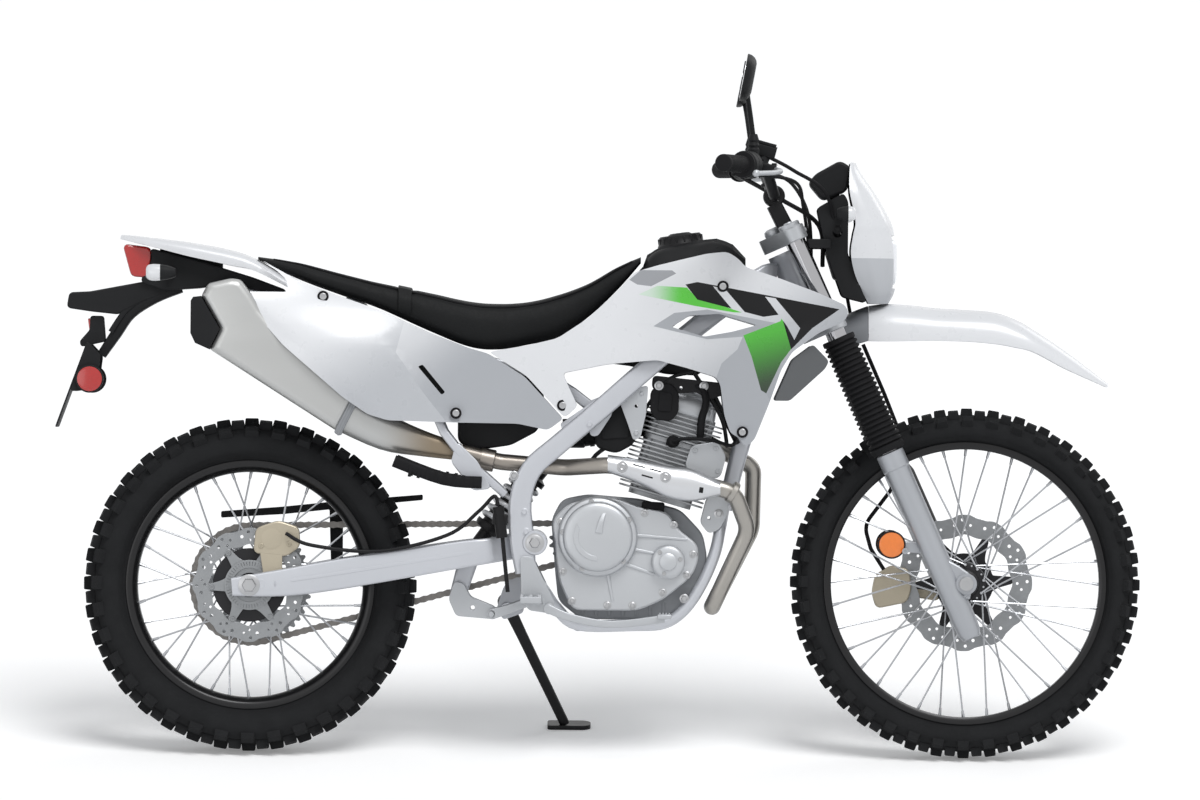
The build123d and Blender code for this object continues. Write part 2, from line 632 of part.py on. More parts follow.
def nose():
    """Nodes of the headlight, its cowl, the meter and the front indicators."""
    sections = [
        (878, cowl_line(1187, 1226, 60)),
        (900, cowl_line(1176, 1238, 76)),
        (975, cowl_line(1152, 1243, 98)),
        (1038, cowl_line(1160, 1229, 104)),
        (1092, cowl_line(1149, 1198, 92)),
        (1150, cowl_line(1150, 1162, 70)),
    ]
    cowl = skin("z", sections, 3.5)
    lamp_hole = slab([(1180, 908.7), (1260, 908.7), (1260, 1006.3), (1180, 1006.3)], -58.3, 58.3)
    cowl = cowl - lamp_hole
    lamp_rows = [
        (1172, 918, 1000, 50), (1205, 909, 1006, 58), (1233, 909, 1006, 58), (1243, 925, 1000, 50),
    ]
    headlamp = crowned(lamp_rows, [(0.7, 0.0), (1.0, 0.25), (1.0, 0.75), (0.7, 1.0)])
    backing = []
    outline = [
        (1087, 1061), (1137, 1090), (1146, 1074), (1146, 972), (1183, 880), (1137, 891), (1105, 979),
    ]
    for side in both_sides(slab(outline, 78, 82)):
        backing.append(side)
    bridge = fused(
        slab([(1105, 979), (1146, 972), (1160, 925), (1122, 925)], -78, 78),
        slab([(1140, 940), (1171.7, 940), (1171.7, 968), (1140, 968)], -20, 20),
    )
    tube_front = LEG_OFFSET + FORK_TUBE_R + SEAT_GAP
    stays = both_sides(slab([
        fork_side(tube_front, STAY_HEIGHT[1]), (1112, 1000), (1112, 985), fork_side(tube_front, STAY_HEIGHT[0]),
    ], 80, 100))
    meter = slab([(1075, 1109), (1086, 1123), (1130, 1148), (1147, 1138), (1140, 1098), (1099, 1081)], -58, 58)
    bracket = slab([(1112, 1086), (1128, 1092.6), (1134, 975), (1118, 975)], -14, 14)
    lamps = []
    for side in (1, -1):
        stalk = rod((1130, side * 82.3, 1046), (1130, side * 116, 1046), 8)
        head = beam([
            (1122, side * 142, 1050, 26, 11), (1146, side * 142, 1050, 27, 15), (1160, side * 142, 1050, 25, 14),
        ])
        lamps.append(fused(stalk, head))
    return {
        "headlight_cowl": cowl,
        "headlamp": headlamp,
        "headlight_bracket": fused(backing, bridge, stays, bracket),
        "meter": meter,
        "front_indicators": group(lamps),
    }


FENDER_SHAPE = [(1.0, 0.0), (0.9, 0.5), (0.45, 0.93), (0.12, 1.0)]


def front_fender():
    """Nodes of the high front fender and its grey rear piece."""
    rows = [
        (1189, 806, 871, 60), (1222, 806, 875, 64), (1318, 808, 868, 66), (1433, 803, 861, 62),
        (1510, 787, 826, 56), (1568, 757, 788, 47), (1622, 733, 748, 36), (1655, 719, 724, 24),
    ]
    sections = [(x, arch(half, low, high, FENDER_SHAPE)) for x, low, high, half in rows]
    fender = skin("x", sections, 3.5)
    bracket_rows = [(1142, 815, 850, 50), (1160, 800, 860, 56), (1188.5, 806, 871, 60)]
    sections = [(x, arch(half, low, high, FENDER_SHAPE)) for x, low, high, half in bracket_rows]
    crown = skin("x", sections, 3.5)
    stay = slab([
        fork_side(LEG_OFFSET - 40, LOWER_CLAMP[0] - SEAT_GAP), fork_side(LEG_OFFSET + 12, LOWER_CLAMP[0] - SEAT_GAP),
        (1262, 868), (1262, 850), (1204, 850),
    ], -16, 16)
    return {"front_fender": group(fused(fender, stay), crown)}


def front_brake():
    """Nodes of the front calliper, its hose, the fork guard and the round reflectors."""
    caliper = slab([
        (1212, 292), (1268, 304), (1276, 330), (1270, 364), (1238, 370), (1210, 352), (1204, 320),
    ], FRONT_DISC_Y - 22, FRONT_DISC_Y + 24)
    throat = DISC_THICK / 2 + DISC_SLOT
    caliper -= drum(DRAWN_AXLE_X, DRAWN_AXLE_Z, FRONT_DISC_R + 5, FRONT_DISC_Y - throat, FRONT_DISC_Y + throat)
    mount = beam([(1262, 86, 330, 5, 14), (1340, 86, 318, 5, 12)])
    mount -= leg_cylinder(FORK_LOWER_R + SEAT_GAP, LEG_BOTTOM, LOWER_TOP)
    mount = mount.solids().sort_by(Axis.X)[0]
    guard = slab([
        (1240, 606), (1292, 612), (1330, 590), (1352, 470), (1344, 452), (1304, 452),
    ], LEG_Y + 14, LEG_Y + 30) - leg_cylinder(FORK_LOWER_R + SEAT_GAP, LEG_BOTTOM, LOWER_TOP)
    guard -= leg_cylinder(BOOT_R + 1, BOOT_LOW - 1, BOOT_TOP)
    hose = bent_tube(
        [
            (1180, 58, 800), (1222, 60, 705), (1262, 60, 606), (1238, 58, 520), (1186, 62, 450),
            (1198.8, 62, 404.6), (1225.84, 62, 362.55),
        ],
        [90, 60, 60, 40, 24], 4,
    )
    reflectors = [drum(1236, 414, 27, *sorted((side * 92.3, side * 102))) for side in (1, -1)]
    return {
        "front_caliper": fused(caliper, mount),
        "fork_guard": guard,
        "brake_hose": hose,
        "front_reflectors": group(reflectors),
    }


# ------------------------------------------------------------------ frame
# x, y, z, half width, half height, share of the front end's move that the section follows
SPAR_ROWS = [
    (1012, 18, 935, 9, 24, 1.0), (975, 38, 925, SPAR_HALF, 22, 0.9), (857, 76, 830, SPAR_HALF, 20, 0.5),
    (762, 98, 749, SPAR_HALF, 20, 0.2), (667, SPAR_Y, 664, SPAR_HALF, 20, 0.0),
    (591, SPAR_Y, 599, SPAR_HALF, 20, 0.0), (541, SPAR_Y, 552, SPAR_HALF, 21, 0.0),
    (520, SPAR_Y, 490, SPAR_HALF, 22, 0.0), (524, SPAR_Y, 416, SPAR_HALF, 24, 0.0),
    (532, SPAR_Y, 352, SPAR_HALF, 20, 0.0),
]
DOWN_TUBE_ROWS = [
    (1010, 0, 905, 16, 20, 1.0), (968, 0, 690, 16, 18, 0.5), (938, 0, 574, 16, 17, 0.2), (915, 0, 478, 16, 15, 0.0),
]


PANEL_BOSS_R = 9.0
SHROUD_BOSS = (800, 783)
COVER_BOSSES = [(330, 790), (137, 852)]


def panel_bosses(places, panel, y_from):
    """Six-sided posts reaching out from the frame to just inside a side panel, on both sides."""
    posts = []
    for x, z in places:
        post = hexagon(x, z, PANEL_BOSS_R, y_from, 240) - panel
        posts.extend(both_sides(post.solids().sort_by(Axis.Y)[0]))
    return posts


def drawn_to_head(rows, grown=0.0):
    """Beam rows of a frame tube, carried towards the head tube by their share of the front end's move."""
    moved = []
    for x, y, z, half, tall, share in rows:
        moved.append((x + share * FRONT_MOVE[0], y, z + share * FRONT_MOVE[2], half + grown, tall + grown))
    return moved


def spar_pair(grown=0.0):
    """The two main tubes, or their outline grown by a clearance."""
    return both_sides(beam(drawn_to_head(SPAR_ROWS, grown)))


def frame():
    """Main frame: head tube, spars, downtube, cradle and their gussets in one welded piece."""
    head = Pos(*FRONT_MOVE) * FORK * Pos(0, 0, HEAD_TUBE[0]) * Cylinder(
        HEAD_TUBE_R, HEAD_TUBE[1] - HEAD_TUBE[0], align=(Align.CENTER, Align.CENTER, Align.MIN)
    )
    bore = Pos(*FRONT_MOVE) * FORK * Pos(0, 0, HEAD_TUBE[0] - 1) * Cylinder(
        STEM_R + RUN_GAP, HEAD_TUBE[1] - HEAD_TUBE[0] + 2, align=(Align.CENTER, Align.CENTER, Align.MIN)
    )
    spars = spar_pair()
    down = beam(drawn_to_head(DOWN_TUBE_ROWS))
    cradle_rows = [
        (914, 20, 485, CRADLE_R, CRADLE_R), (906, CRADLE_Y - 8, 440, CRADLE_R, CRADLE_R),
        (896, CRADLE_Y, 392, CRADLE_R, CRADLE_R), (872, CRADLE_Y, 335, CRADLE_R, CRADLE_R),
        (840, CRADLE_Y, 286, CRADLE_R, CRADLE_R), (800, CRADLE_Y, 258, CRADLE_R, CRADLE_R),
        (740, CRADLE_Y, 254, CRADLE_R, CRADLE_R), (634, CRADLE_Y, 254, CRADLE_R, CRADLE_R),
        (592, CRADLE_Y + 10, 284, CRADLE_R, CRADLE_R), (566, SPAR_Y - 10, 320, CRADLE_R, CRADLE_R),
        (536, SPAR_Y, 352, CRADLE_R, CRADLE_R),
    ]
    cradle = both_sides(beam(cradle_rows, 0.5))
    cross_low = rod((634, CRADLE_Y, 254), (634, -CRADLE_Y, 254), 13)
    cross_front = rod((874, CRADLE_Y, 338), (874, -CRADLE_Y, 338), 8)
    cross_pivot = drum(LOW_CROSS[0], LOW_CROSS[1], LOW_CROSS_R, -90, 90)
    cross_shock = drum(SHOCK_CROSS[0], SHOCK_CROSS[1], SHOCK_CROSS_R, -SPAR_Y, SPAR_Y)
    cross_top = rod((667, SPAR_Y, 668), (667, -SPAR_Y, 668), 14)
    rings = both_sides(drum(PIVOT[0], PIVOT[1], 24, SPAR_Y - 12, SPAR_Y + 15))
    hanger = both_sides(slab([
        (650, 684), (690, 700), (695, 660), (668, 618), (655, 618), (640, 668),
    ], 88, 94))
    pivot = Vector(*STAND_PIVOT)
    hinge = stand_axis()
    boss = rod(tuple(pivot - hinge * 30), tuple(pivot - hinge * 7.5), 16)
    pin = rod(tuple(pivot - hinge * 8), tuple(pivot + hinge * 12), STAND_PIN_R)
    bolt = rod(tuple(pivot + hinge * 9.5), tuple(pivot + hinge * 17), 12, 6)
    x, y, z = STAND_PIVOT
    plate = slab([(510, 356), (544, 356), (526, 272), (488, 258), (474, 280), (486, 320)], y - 31, y - 20)
    tab = fused(boss, plate, pin, bolt)
    shroud_posts = panel_bosses([SHROUD_BOSS], shroud_sheet(SEAT_GAP), 92)
    body = fused(
        shroud_posts, head, spars, down, cradle, cross_low, cross_front, cross_pivot, cross_shock, cross_top,
        rings, hanger, tab,
    )
    return body - bore - drum(PIVOT[0], PIVOT[1], 9.3, -SPAR_Y - 16, SPAR_Y + 16)


def subframe():
    """Seat rails and their lower stays."""
    rails = both_sides(beam([
        (650, 81.7, 677, 6, 11), (560, 81.7, 732, 6, 10), (330, 66, 790, 6, 10), (120, 50, 852, 6, 9),
        (-40, 38, 895, 6, 8),
    ]))
    stays = both_sides(beam([(491, 104, 503, 5, 8), (372, 110, 622, 5, 9), (318, 70, 790, 5, 8)]))
    pad = slab([(180, 822), (220, 812), (220, 867.4), (180, 880.9)], -56, 56)
    pegs = both_sides(slab([(462, 516), (436, 566), (398, 602), (388, 566), (430, 512)], 100, 116))
    posts = panel_bosses(COVER_BOSSES, cover_sheet(SEAT_GAP), 52)
    inner = MUFFLER_Y + MUFFLER_HALF + SEAT_GAP
    hanger = slab([(150, 845), (190, 832), (190, 740), (150, 760)], -58, inner + 6)
    tongue = slab([(150, 770), (190, 770), (186, 652), (154, 652)], inner, inner + 6)
    return fused(rails, stays, pad, pegs, posts, hanger, tongue)


def swingarm():
    """Box-section arms joined ahead of the wheel, on the pivot tube."""
    rows = [
        (PIVOT[0], ARM_Y - 22, PIVOT[1], ARM_HALF, 25), (500, ARM_Y - 21, 402, ARM_HALF, 25),
        (456, ARM_Y - 2, 394, ARM_HALF, 25), (400, ARM_Y, 386, ARM_HALF, 27),
        (190, ARM_Y, 350, ARM_HALF, 30), (70, ARM_Y, 330, ARM_HALF, 27), (-34, ARM_Y, REAR_AXLE_Z - 4, ARM_HALF, 18),
    ]
    arms = both_sides(beam(rows, 0.3))
    cross = drum(ARM_CROSS[0], ARM_CROSS[1], ARM_CROSS_R, 5 - ARM_Y, ARM_Y - 5)
    tube = drum(PIVOT[0], PIVOT[1], 24, 20 - ARM_Y, ARM_Y - 20)
    boss = beam([(ARM_CROSS[0], 0, ARM_CROSS[1] - 4, 23.6, 20), (LINK_PIN[0], 0, LINK_PIN[1] - 8, 23.6, 16)])
    body = fused(arms, cross, tube, boss)
    body -= drum(PIVOT[0], PIVOT[1], 9.3, -SPAR_Y, SPAR_Y)
    body -= drum(LINK_PIN[0], LINK_PIN[1], 8 + SEAT_GAP, -30, 30)
    return body - drum(0, REAR_AXLE_Z, REAR_AXLE_R + SEAT_GAP, -SPAR_Y - 20, SPAR_Y + 20)


def rear_axle():
    """Rear axle with its nuts and spacers."""
    shaft = drum(0, REAR_AXLE_Z, REAR_AXLE_R, -ARM_Y - 22, ARM_Y + 22)
    nuts = [
        hexagon(0, REAR_AXLE_Z, 16, ARM_Y + ARM_HALF + SEAT_GAP, ARM_Y + ARM_HALF + 11),
        hexagon(0, REAR_AXLE_Z, 16, -ARM_Y - ARM_HALF - 11, -ARM_Y - ARM_HALF - SEAT_GAP),
    ]
    spacers = [
        drum(0, REAR_AXLE_Z, 15, CHAIN_Y + 4, ARM_Y - ARM_HALF - SEAT_GAP),
        drum(0, REAR_AXLE_Z, 15, ARM_HALF - ARM_Y + SEAT_GAP, REAR_DISC_Y - 4),
    ]
    return fused(shaft, nuts, spacers)


def rear_linkage():
    """Rocker and tie bars under the swingarm, and the shock above them."""
    rocker = slab([(394, 334), (412, 332), (426, 304), (474, 286), (476, 262), (398, 268), (384, 300)], 24, 34)
    links = both_sides(rocker)
    pins = [drum(LINK_PIN[0], LINK_PIN[1], 8, -30, 30), drum(466, 272, 8, -30, 30)]
    ties = both_sides(beam([(466, 41, 272, 4, 11), (LOW_CROSS[0] - LOW_CROSS_R - 0.5, 41, LOW_CROSS[1] - 3, 4, 9)]))
    lugs = [rod((466, 34, 272), (466, 45, 272), 8), rod((466, -45, 272), (466, -34, 272), 8)]
    return fused(links, pins, ties, lugs)


def rear_shock():
    """Shock absorber with its spring, leaning behind the engine."""
    foot = Vector(ARM_CROSS[0], 0, ARM_CROSS[1])
    head = Vector(SHOCK_CROSS[0], 0, SHOCK_CROSS[1])
    along = (head - foot).normalized()
    low = foot + along * (ARM_CROSS_R + RUN_GAP)
    high = head - along * (SHOCK_CROSS_R + RUN_GAP)

    def at(share):
        """Point on the shock, as a share of its length."""
        return tuple(low + (high - low) * share)

    return fused(rod(at(0), at(0.5), 14), rod(at(0.2), at(0.72), 33), rod(at(0.5), at(0.9), 22), rod(at(0.7), at(1), 14))


# ------------------------------------------------------------------ engine
CASE_OUTLINE = [
    (583, 455), (611, 485), (650, 495), (703, 499), (752, 480), (803, 473), (823, 440), (862, 410),
    (864, 382), (852, 350), (796, 304), (748, 283), (623, 283), (598, 335),
]


def crankcase():
    """Crankcase with a step on the left for the chain, one closed casting."""
    body = slab(CASE_OUTLINE, -84, 56)
    left = slab([(690, 487), (752, 480), (803, 473), (856, 405), (850, 350), (794, 304), (690, 292)], 55, 84)
    shaft = drum(FRONT_SPROCKET_X, FRONT_SPROCKET_Z, 11, 55, CHAIN_Y + 12)
    return fused(body, left, shaft)


def engine_covers():
    """Clutch and oil-pump covers on the right, alternator and sprocket covers on the left."""
    side_case = slab(CASE_OUTLINE, -98, -84.3)
    clutch = drum(670, 424, 77, -124, -97)
    dome = drum(670, 424, 64, -132, -123)
    small = drum(806, 377, 33, -118, -97)
    cap = drum(806, 377, 17, -123, -117)
    right = fused(side_case, clutch, dome, small, cap)
    left = fused(
        slab([(690, 487), (752, 480), (803, 473), (856, 405), (850, 350), (794, 304), (690, 292)], 84.3, 96),
        drum(776, 386, 66, 95, 122), drum(776, 386, 50, 121, 128),
    )
    guard = fused(
        slab([(588, 470), (684, 478), (684, 330), (640, 330), (596, 350)], 88, 96),
        slab([(652, 328), (684, 328), (684, 352), (652, 346)], 56.3, 89),
        slab([(640, 488.9), (684, 491), (684, 462), (640, 462)], 56.3, 89),
    )
    return group(right, left, guard)


def cylinder():
    """Finned barrel and head leaning forward, in one node."""
    lean = 16.0
    base = Plane(origin=(785, 0, 484), x_dir=(math.cos(math.radians(lean)), 0, -math.sin(math.radians(lean))),
                 z_dir=(math.sin(math.radians(lean)), 0, math.cos(math.radians(lean))))
    pieces = [base * Pos(0, 0, 12) * Box(126, 112, 176, align=(Align.CENTER, Align.CENTER, Align.MIN))]
    fins = [(22 + step * 15.0, 172, 146) for step in range(7)] + [(132 + step * 15.0, 164, 140) for step in range(3)]
    for height, length, width in fins:
        plate = Box(length, width, 4, align=(Align.CENTER, Align.CENTER, Align.MIN))
        pieces.append(base * Pos(0, 0, height) * plate)
    cover = beam([
        tuple((base * Pos(0, 0, 186)).position) + (60, 62),
        tuple((base * Pos(-4, 0, 226)).position) + (46, 50),
    ], 0.3, (0, 1, 0))
    pieces.append(cover)
    return fused(pieces)


def exhaust(block):
    """Nodes of the header pipe, its shield, the muffler and its end cap."""
    pipe = bent_tube([
        (880, 44, 606), (970, 50, 560), (968, 50, 440), (892, 44, 290), (892, -50, 290), (960, -84, 440),
        (932, -112, 512), (800, -122, 546), (690, -118, 562), (606, -70, 556), (480, -66, 566), (404, -78, 584),
    ], [24, 60, 38, 38, 50, 40, 60, 60, 60, 60], 16) - block
    sections = []
    for x, low, high in ((688, 548, 582), (745, 528, 574), (806, 500, 562), (851, 494, 556), (905, 506, 532)):
        middle = (low + high) / 2
        sections.append((x, [(-128, low), (-144, low + 8), (-149, middle), (-144, high - 8), (-128, high)][::-1]))
    posts = [drum(716, 559, 7, -147, -135.6), drum(799, 540, 7, -147, -138.6)]
    shield = fused(skin("x", sections, 2), posts)
    axis = Vector(249, 0, -157).normalized()
    rear = Vector(-128, MUFFLER_Y, 853)
    barrel_plane = Plane(origin=rear, x_dir=(0, 1, 0), z_dir=axis)
    barrel = extrude(barrel_plane * RectangleRounded(2 * MUFFLER_HALF, MUFFLER_TALL, 40), amount=350)
    body = barrel & slab([
        (-97, 880), (-84, 904), (-41, 914), (-22, 912), (0, 884), (17, 856), (62, 804), (178, 706), (212, 700),
        (169, 620), (-80, 777), (-60, 817),
    ], -160, -30)
    cap = barrel & slab([(-117, 877), (-97.5, 879.5), (-60.5, 817), (-80.5, 777), (-108, 789), (-117, 808)], -160, -30)
    start = rear + axis * 352
    cone = beam([
        (start.X, MUFFLER_Y, start.Z, 44, 60), (270, -92, 622, 30, 40), (390, -82, 587, 18, 18),
    ], 0.6)
    return {
        "header_pipe": pipe,
        "heat_shield": shield,
        "muffler": fused(body, cone),
        "muffler_end_cap": cap,
    }


def intake(block):
    """Throttle body behind the cylinder and the airbox behind the side covers."""
    throttle = beam([(790, 0, 646, 26, 24), (640, 0, 622, 30, 28), (596, 0, 622, 30, 28)]) - block
    box = slab([(400, 650), (560, 650), (560, 721.7), (400, 761.7)], -70, 70)
    return {"intake": group(throttle, box)}


def engine():
    """Nodes of the cylinder, its exhaust and its intake, cut to seat against it."""
    block = cylinder()
    nodes = {"cylinder": block}
    nodes.update(exhaust(block))
    nodes.update(intake(block))
    return nodes


# ------------------------------------------------------------------ chain
def chain_band():
    """Closed loop of links round both sprockets, waisted between its pins."""
    span = math.hypot(FRONT_SPROCKET_X, FRONT_SPROCKET_Z - REAR_AXLE_Z)
    tilt = math.atan2(FRONT_SPROCKET_Z - REAR_AXLE_Z, FRONT_SPROCKET_X)
    spread = math.acos((SPROCKET_R - FRONT_SPROCKET_R) / span)
    run = math.sqrt(span ** 2 - (SPROCKET_R - FRONT_SPROCKET_R) ** 2)
    turns = [
        # centre x, centre z, pitch radius, first angle, angle wrapped
        (0.0, REAR_AXLE_Z, SPROCKET_R, tilt + spread, 2 * math.pi - 2 * spread),
        (FRONT_SPROCKET_X, FRONT_SPROCKET_Z, FRONT_SPROCKET_R, tilt - spread, 2 * spread),
    ]
    outer = []
    inner = []

    def mark(x, z, angle, index):
        """Add a pin's or a waist's place to both outlines."""
        offset = CHAIN_HEIGHT / 2 - (CHAIN_WAIST if index % 2 else 0)
        outer.append((x + offset * math.cos(angle), z + offset * math.sin(angle)))
        inner.append((x - offset * math.cos(angle), z - offset * math.sin(angle)))

    straight = 2 * round(run / CHAIN_PITCH)
    for x, z, radius, first, wrap in turns:
        bent = 2 * round(radius * wrap / CHAIN_PITCH)
        for index in range(bent):
            angle = first + wrap * index / bent
            mark(x + radius * math.cos(angle), z + radius * math.sin(angle), angle, index)
        last = first + wrap
        for index in range(straight):
            reach = run * index / straight
            mark(x + radius * math.cos(last) - reach * math.sin(last),
                 z + radius * math.sin(last) + reach * math.cos(last), last, index)
    low = CHAIN_Y - CHAIN_HALF
    return slab(outer, low, low + 2 * CHAIN_HALF) - slab(inner, low - 1, low + 2 * CHAIN_HALF + 1)


def drive():
    """Nodes of the chain, its front sprocket and its guard."""
    rear_teeth = drum(0, REAR_AXLE_Z, SPROCKET_R + 4.5, CHAIN_Y - 8, CHAIN_Y + 8)
    front_teeth = drum(FRONT_SPROCKET_X, FRONT_SPROCKET_Z, FRONT_SPROCKET_R + 4.5, CHAIN_Y - 4, CHAIN_Y + 4)
    links = chain_band() - rear_teeth - front_teeth
    front = Pos(FRONT_SPROCKET_X, 0, FRONT_SPROCKET_Z) * sprocket(FRONT_TEETH, FRONT_SPROCKET_R, 11.3, CHAIN_Y)
    inner = ARM_Y - ARM_HALF - SEAT_GAP
    guard = slab([
        (-60, 452), (-60, 464), (60, 474), (150, 484), (330, 500), (330, 490), (176, 474), (176, 366), (154, 362),
        (150, 470), (60, 460),
    ], inner - 3, inner)
    return {"chain": links, "front_sprocket": front, "chain_guard": guard}


# ------------------------------------------------------------------ bodywork
SEAT_SHAPE = [(0.9, 0.0), (1.0, 0.35), (0.97, 0.72), (0.78, 0.95), (0.35, 1.0)]
TANK_DROP = 4.0          # how far the tank's floor straddles the main tubes
TANK_SHAPE = [(0.8, 0.0), (1.0, 0.3), (1.0, 0.6), (0.85, 0.86), (0.5, 1.0)]
TAIL_SHAPE = [(1.0, 0.0), (0.97, 0.55), (0.75, 0.92), (0.3, 1.0)]
SEAT_ROWS = [
    (10, 951, 957, 62), (89, 914, 946, 88), (166, 886, 927, 98), (243, 860, 909, 102), (339, 818, 891, 104),
    (417, 788, 875, 102), (474, 783, 871, 98), (532, 793, 875, 90), (588, 807, 889, 80), (646, 846, 911, 70),
    (703, 900, 944, 61), (748, 952, 964, 54),
]


def seat_and_tank():
    """Nodes of the seat, the tank with its black top, and the filler cap."""
    seat = crowned(SEAT_ROWS, SEAT_SHAPE)
    tank_rows = [
        (700, 812, 890, 60), (752, 808, 945, 74), (760, 810, 968, 76), (789, 816, 985, 78), (856, 870, 997, 78),
        (894, 890, 1001, 72), (925, 915, 990, 58), (950, 940, 964, 44),
    ]
    tank = crowned([(x, low - TANK_DROP, high, half) for x, low, high, half in tank_rows], TANK_SHAPE)
    for spar in spar_pair(SEAT_GAP):
        tank -= spar
    cap = extrude(Plane(origin=(826, 0, 984), z_dir=(-0.14, 0, 1)) * Circle(46), amount=28, taper=12)
    recess = extrude(Plane(origin=(826, 0, 984 - SEAT_GAP), z_dir=(-0.14, 0, 1)) * Circle(46 + SEAT_GAP), amount=60)
    return {"seat": seat, "fuel_tank": tank - recess, "fuel_cap": cap}


def shroud_sheet(grown=0.0):
    """Uncut sheet of the left shroud, thickened inwards by a clearance."""
    sections = [
        (560, [(440, 116), (620, 128), (770, 138), (905, 146), (1000, 152), (1160, 170)]),
        (770, [(440, 110), (620, 124), (770, 134), (905, 146), (1000, 156), (1160, 172)]),
        (880, [(440, 100), (620, 108), (770, 118), (905, 136), (1000, 150), (1160, 168)]),
        (990, [(440, 78), (620, 80), (770, 86), (905, 92), (1000, 136), (1160, 160)]),
    ]
    return skin("z", sections, 4 + grown)


def shroud():
    """Left side shroud: a bent sheet with its vent cut through."""
    outline = [
        (457, 777), (475, 781), (532, 791), (589, 805), (647, 844), (704, 898), (736, 934), (779, 947),
        (818, 957), (875, 971), (914, 975), (935, 962), (950, 945), (1010, 926), (1087, 898), (1141, 874),
        (1148, 858), (1137, 841), (1092, 821), (1040, 783), (1019, 748), (997, 684), (969, 613), (952, 599),
        (938, 618), (923, 626), (911, 660), (903, 718), (895, 733), (839, 750), (781, 765), (685, 756),
        (599, 738), (629, 675), (604, 652), (530, 732),
    ]
    sheet = shroud_sheet()
    vent = slab([(775, 829), (842, 858), (905, 855), (1012, 840), (925, 822), (873, 812), (819, 820)], 60, 220)
    return sheet & (slab(outline, 40, 240) - vent)


def cover_sheet(grown=0.0):
    """Uncut sheet of the left side cover, thickened inwards by a clearance."""
    sections = [
        (600, [(-60, 152), (150, 158), (280, 150), (430, 126), (620, 128)]),
        (770, [(-60, 150), (150, 154), (280, 140), (430, 116), (620, 124)]),
        (870, [(-60, 134), (150, 120), (280, 110), (430, 104), (620, 112)]),
        (960, [(-60, 84), (150, 92), (280, 96), (430, 90), (620, 84)]),
    ]
    return skin("z", sections, 3.5 + grown)


def side_cover():
    """Left side cover, flush with the shroud's rear edge."""
    outline = [
        (18, 950), (89, 911), (166, 883), (243, 857), (339, 815), (417, 785), (454, 775), (527, 730),
        (601, 650), (572, 628), (514, 640), (390, 641), (264, 644), (226, 655), (178, 687), (62, 786),
        (17, 837), (-26, 889), (70, 889), (66, 914), (43, 933),
    ]
    return cover_sheet() & slab(outline, 40, 240)


def tail():
    """Nodes of the rear fender, the plate holder and the rear lamps."""
    rows = [
        (-255, 988, 994, 36), (-199, 975, 989, 62), (-119, 955, 980, 74), (-46, 940, 967, 80),
        (4, 929, 950, 82), (80, 892, 906, 80),
    ]
    sections = [(x, arch(half, low, high, TAIL_SHAPE)) for x, low, high, half in rows]
    fender = skin("x", sections, 3.5)
    hugger = slab([
        (-196, 968), (-193, 950), (-214, 908), (-170, 893), (-103, 898), (-52, 907), (60, 877.6), (60, 892),
        (0, 914), (-100, 944),
    ], -44, 44)
    rib = slab([(-180, 940), (-180, 983), (-119, 976.1), (-60, 965.6), (-60, 920)], -18, 18)
    arm = slab([(-205, 905), (-314, 884), (-352, 882), (-356, 857), (-313, 851), (-296, 838), (-255, 792), (-217, 847), (-165, 891)], -34, 34)
    hanger = slab([(-312, 838), (-290, 838), (-286, 792), (-330, 782), (-332, 790), (-313, 812)], -22, 22)
    blade = Plane(origin=(-316, 0, 788), x_dir=(0, 1, 0), z_dir=(-0.94, 0, 0.34))
    board = extrude(blade * Pos(0, 86) * Rectangle(150, 176), amount=3)
    cheeks = both_sides(slab([(-317, 790), (-292, 764), (-300, 700), (-349, 694)], 72, 75))
    lamp = slab([(-248, 976), (-201, 970), (-201, 950), (-207, 918), (-233, 919)], -46, 46)
    lamps = []
    for side in (1, -1):
        stalk = rod((-158, side * 44.3, 924), (-158, side * 92, 924), 8)
        head = beam([(-146, side * 118, 924, 26, 10), (-176, side * 118, 924, 28, 16), (-204, side * 118, 924, 26, 17)])
        lamps.append(fused(stalk, head))
    reflectors = []
    for side in (1, -1):
        low, high = sorted((side * 75.3, side * 84))
        reflectors.append(drum(-312, 718, 27, low, high))
    return {
        "rear_fender": fender,
        "plate_holder": fused(hugger, rib, arm, hanger, board, cheeks),
        "rear_lamps": group(lamp - hugger, reflectors),
        "rear_indicators": group(lamps),
    }


# ------------------------------------------------------------------ small parts on the frame
def rear_caliper():
    """Calliper over the rear disc, above the right arm."""
    throat = DISC_THICK / 2 + DISC_SLOT
    outline = [(10, 64), (70, 58), (94, 76), (92, 110), (54, 122), (14, 108)]     # x, height over the axle
    places = [(x, REAR_AXLE_Z + height) for x, height in outline]
    body = slab(places, REAR_DISC_Y - 20, REAR_DISC_Y + 22)
    body -= drum(0, REAR_AXLE_Z, REAR_DISC_R + 5, REAR_DISC_Y - throat, REAR_DISC_Y + throat)
    inner = ARM_HALF - ARM_Y + SEAT_GAP
    hanger = slab([(18, 396), (64, 392), (64, 345), (26, 340)], inner, inner + 8)
    return fused(body, hanger)


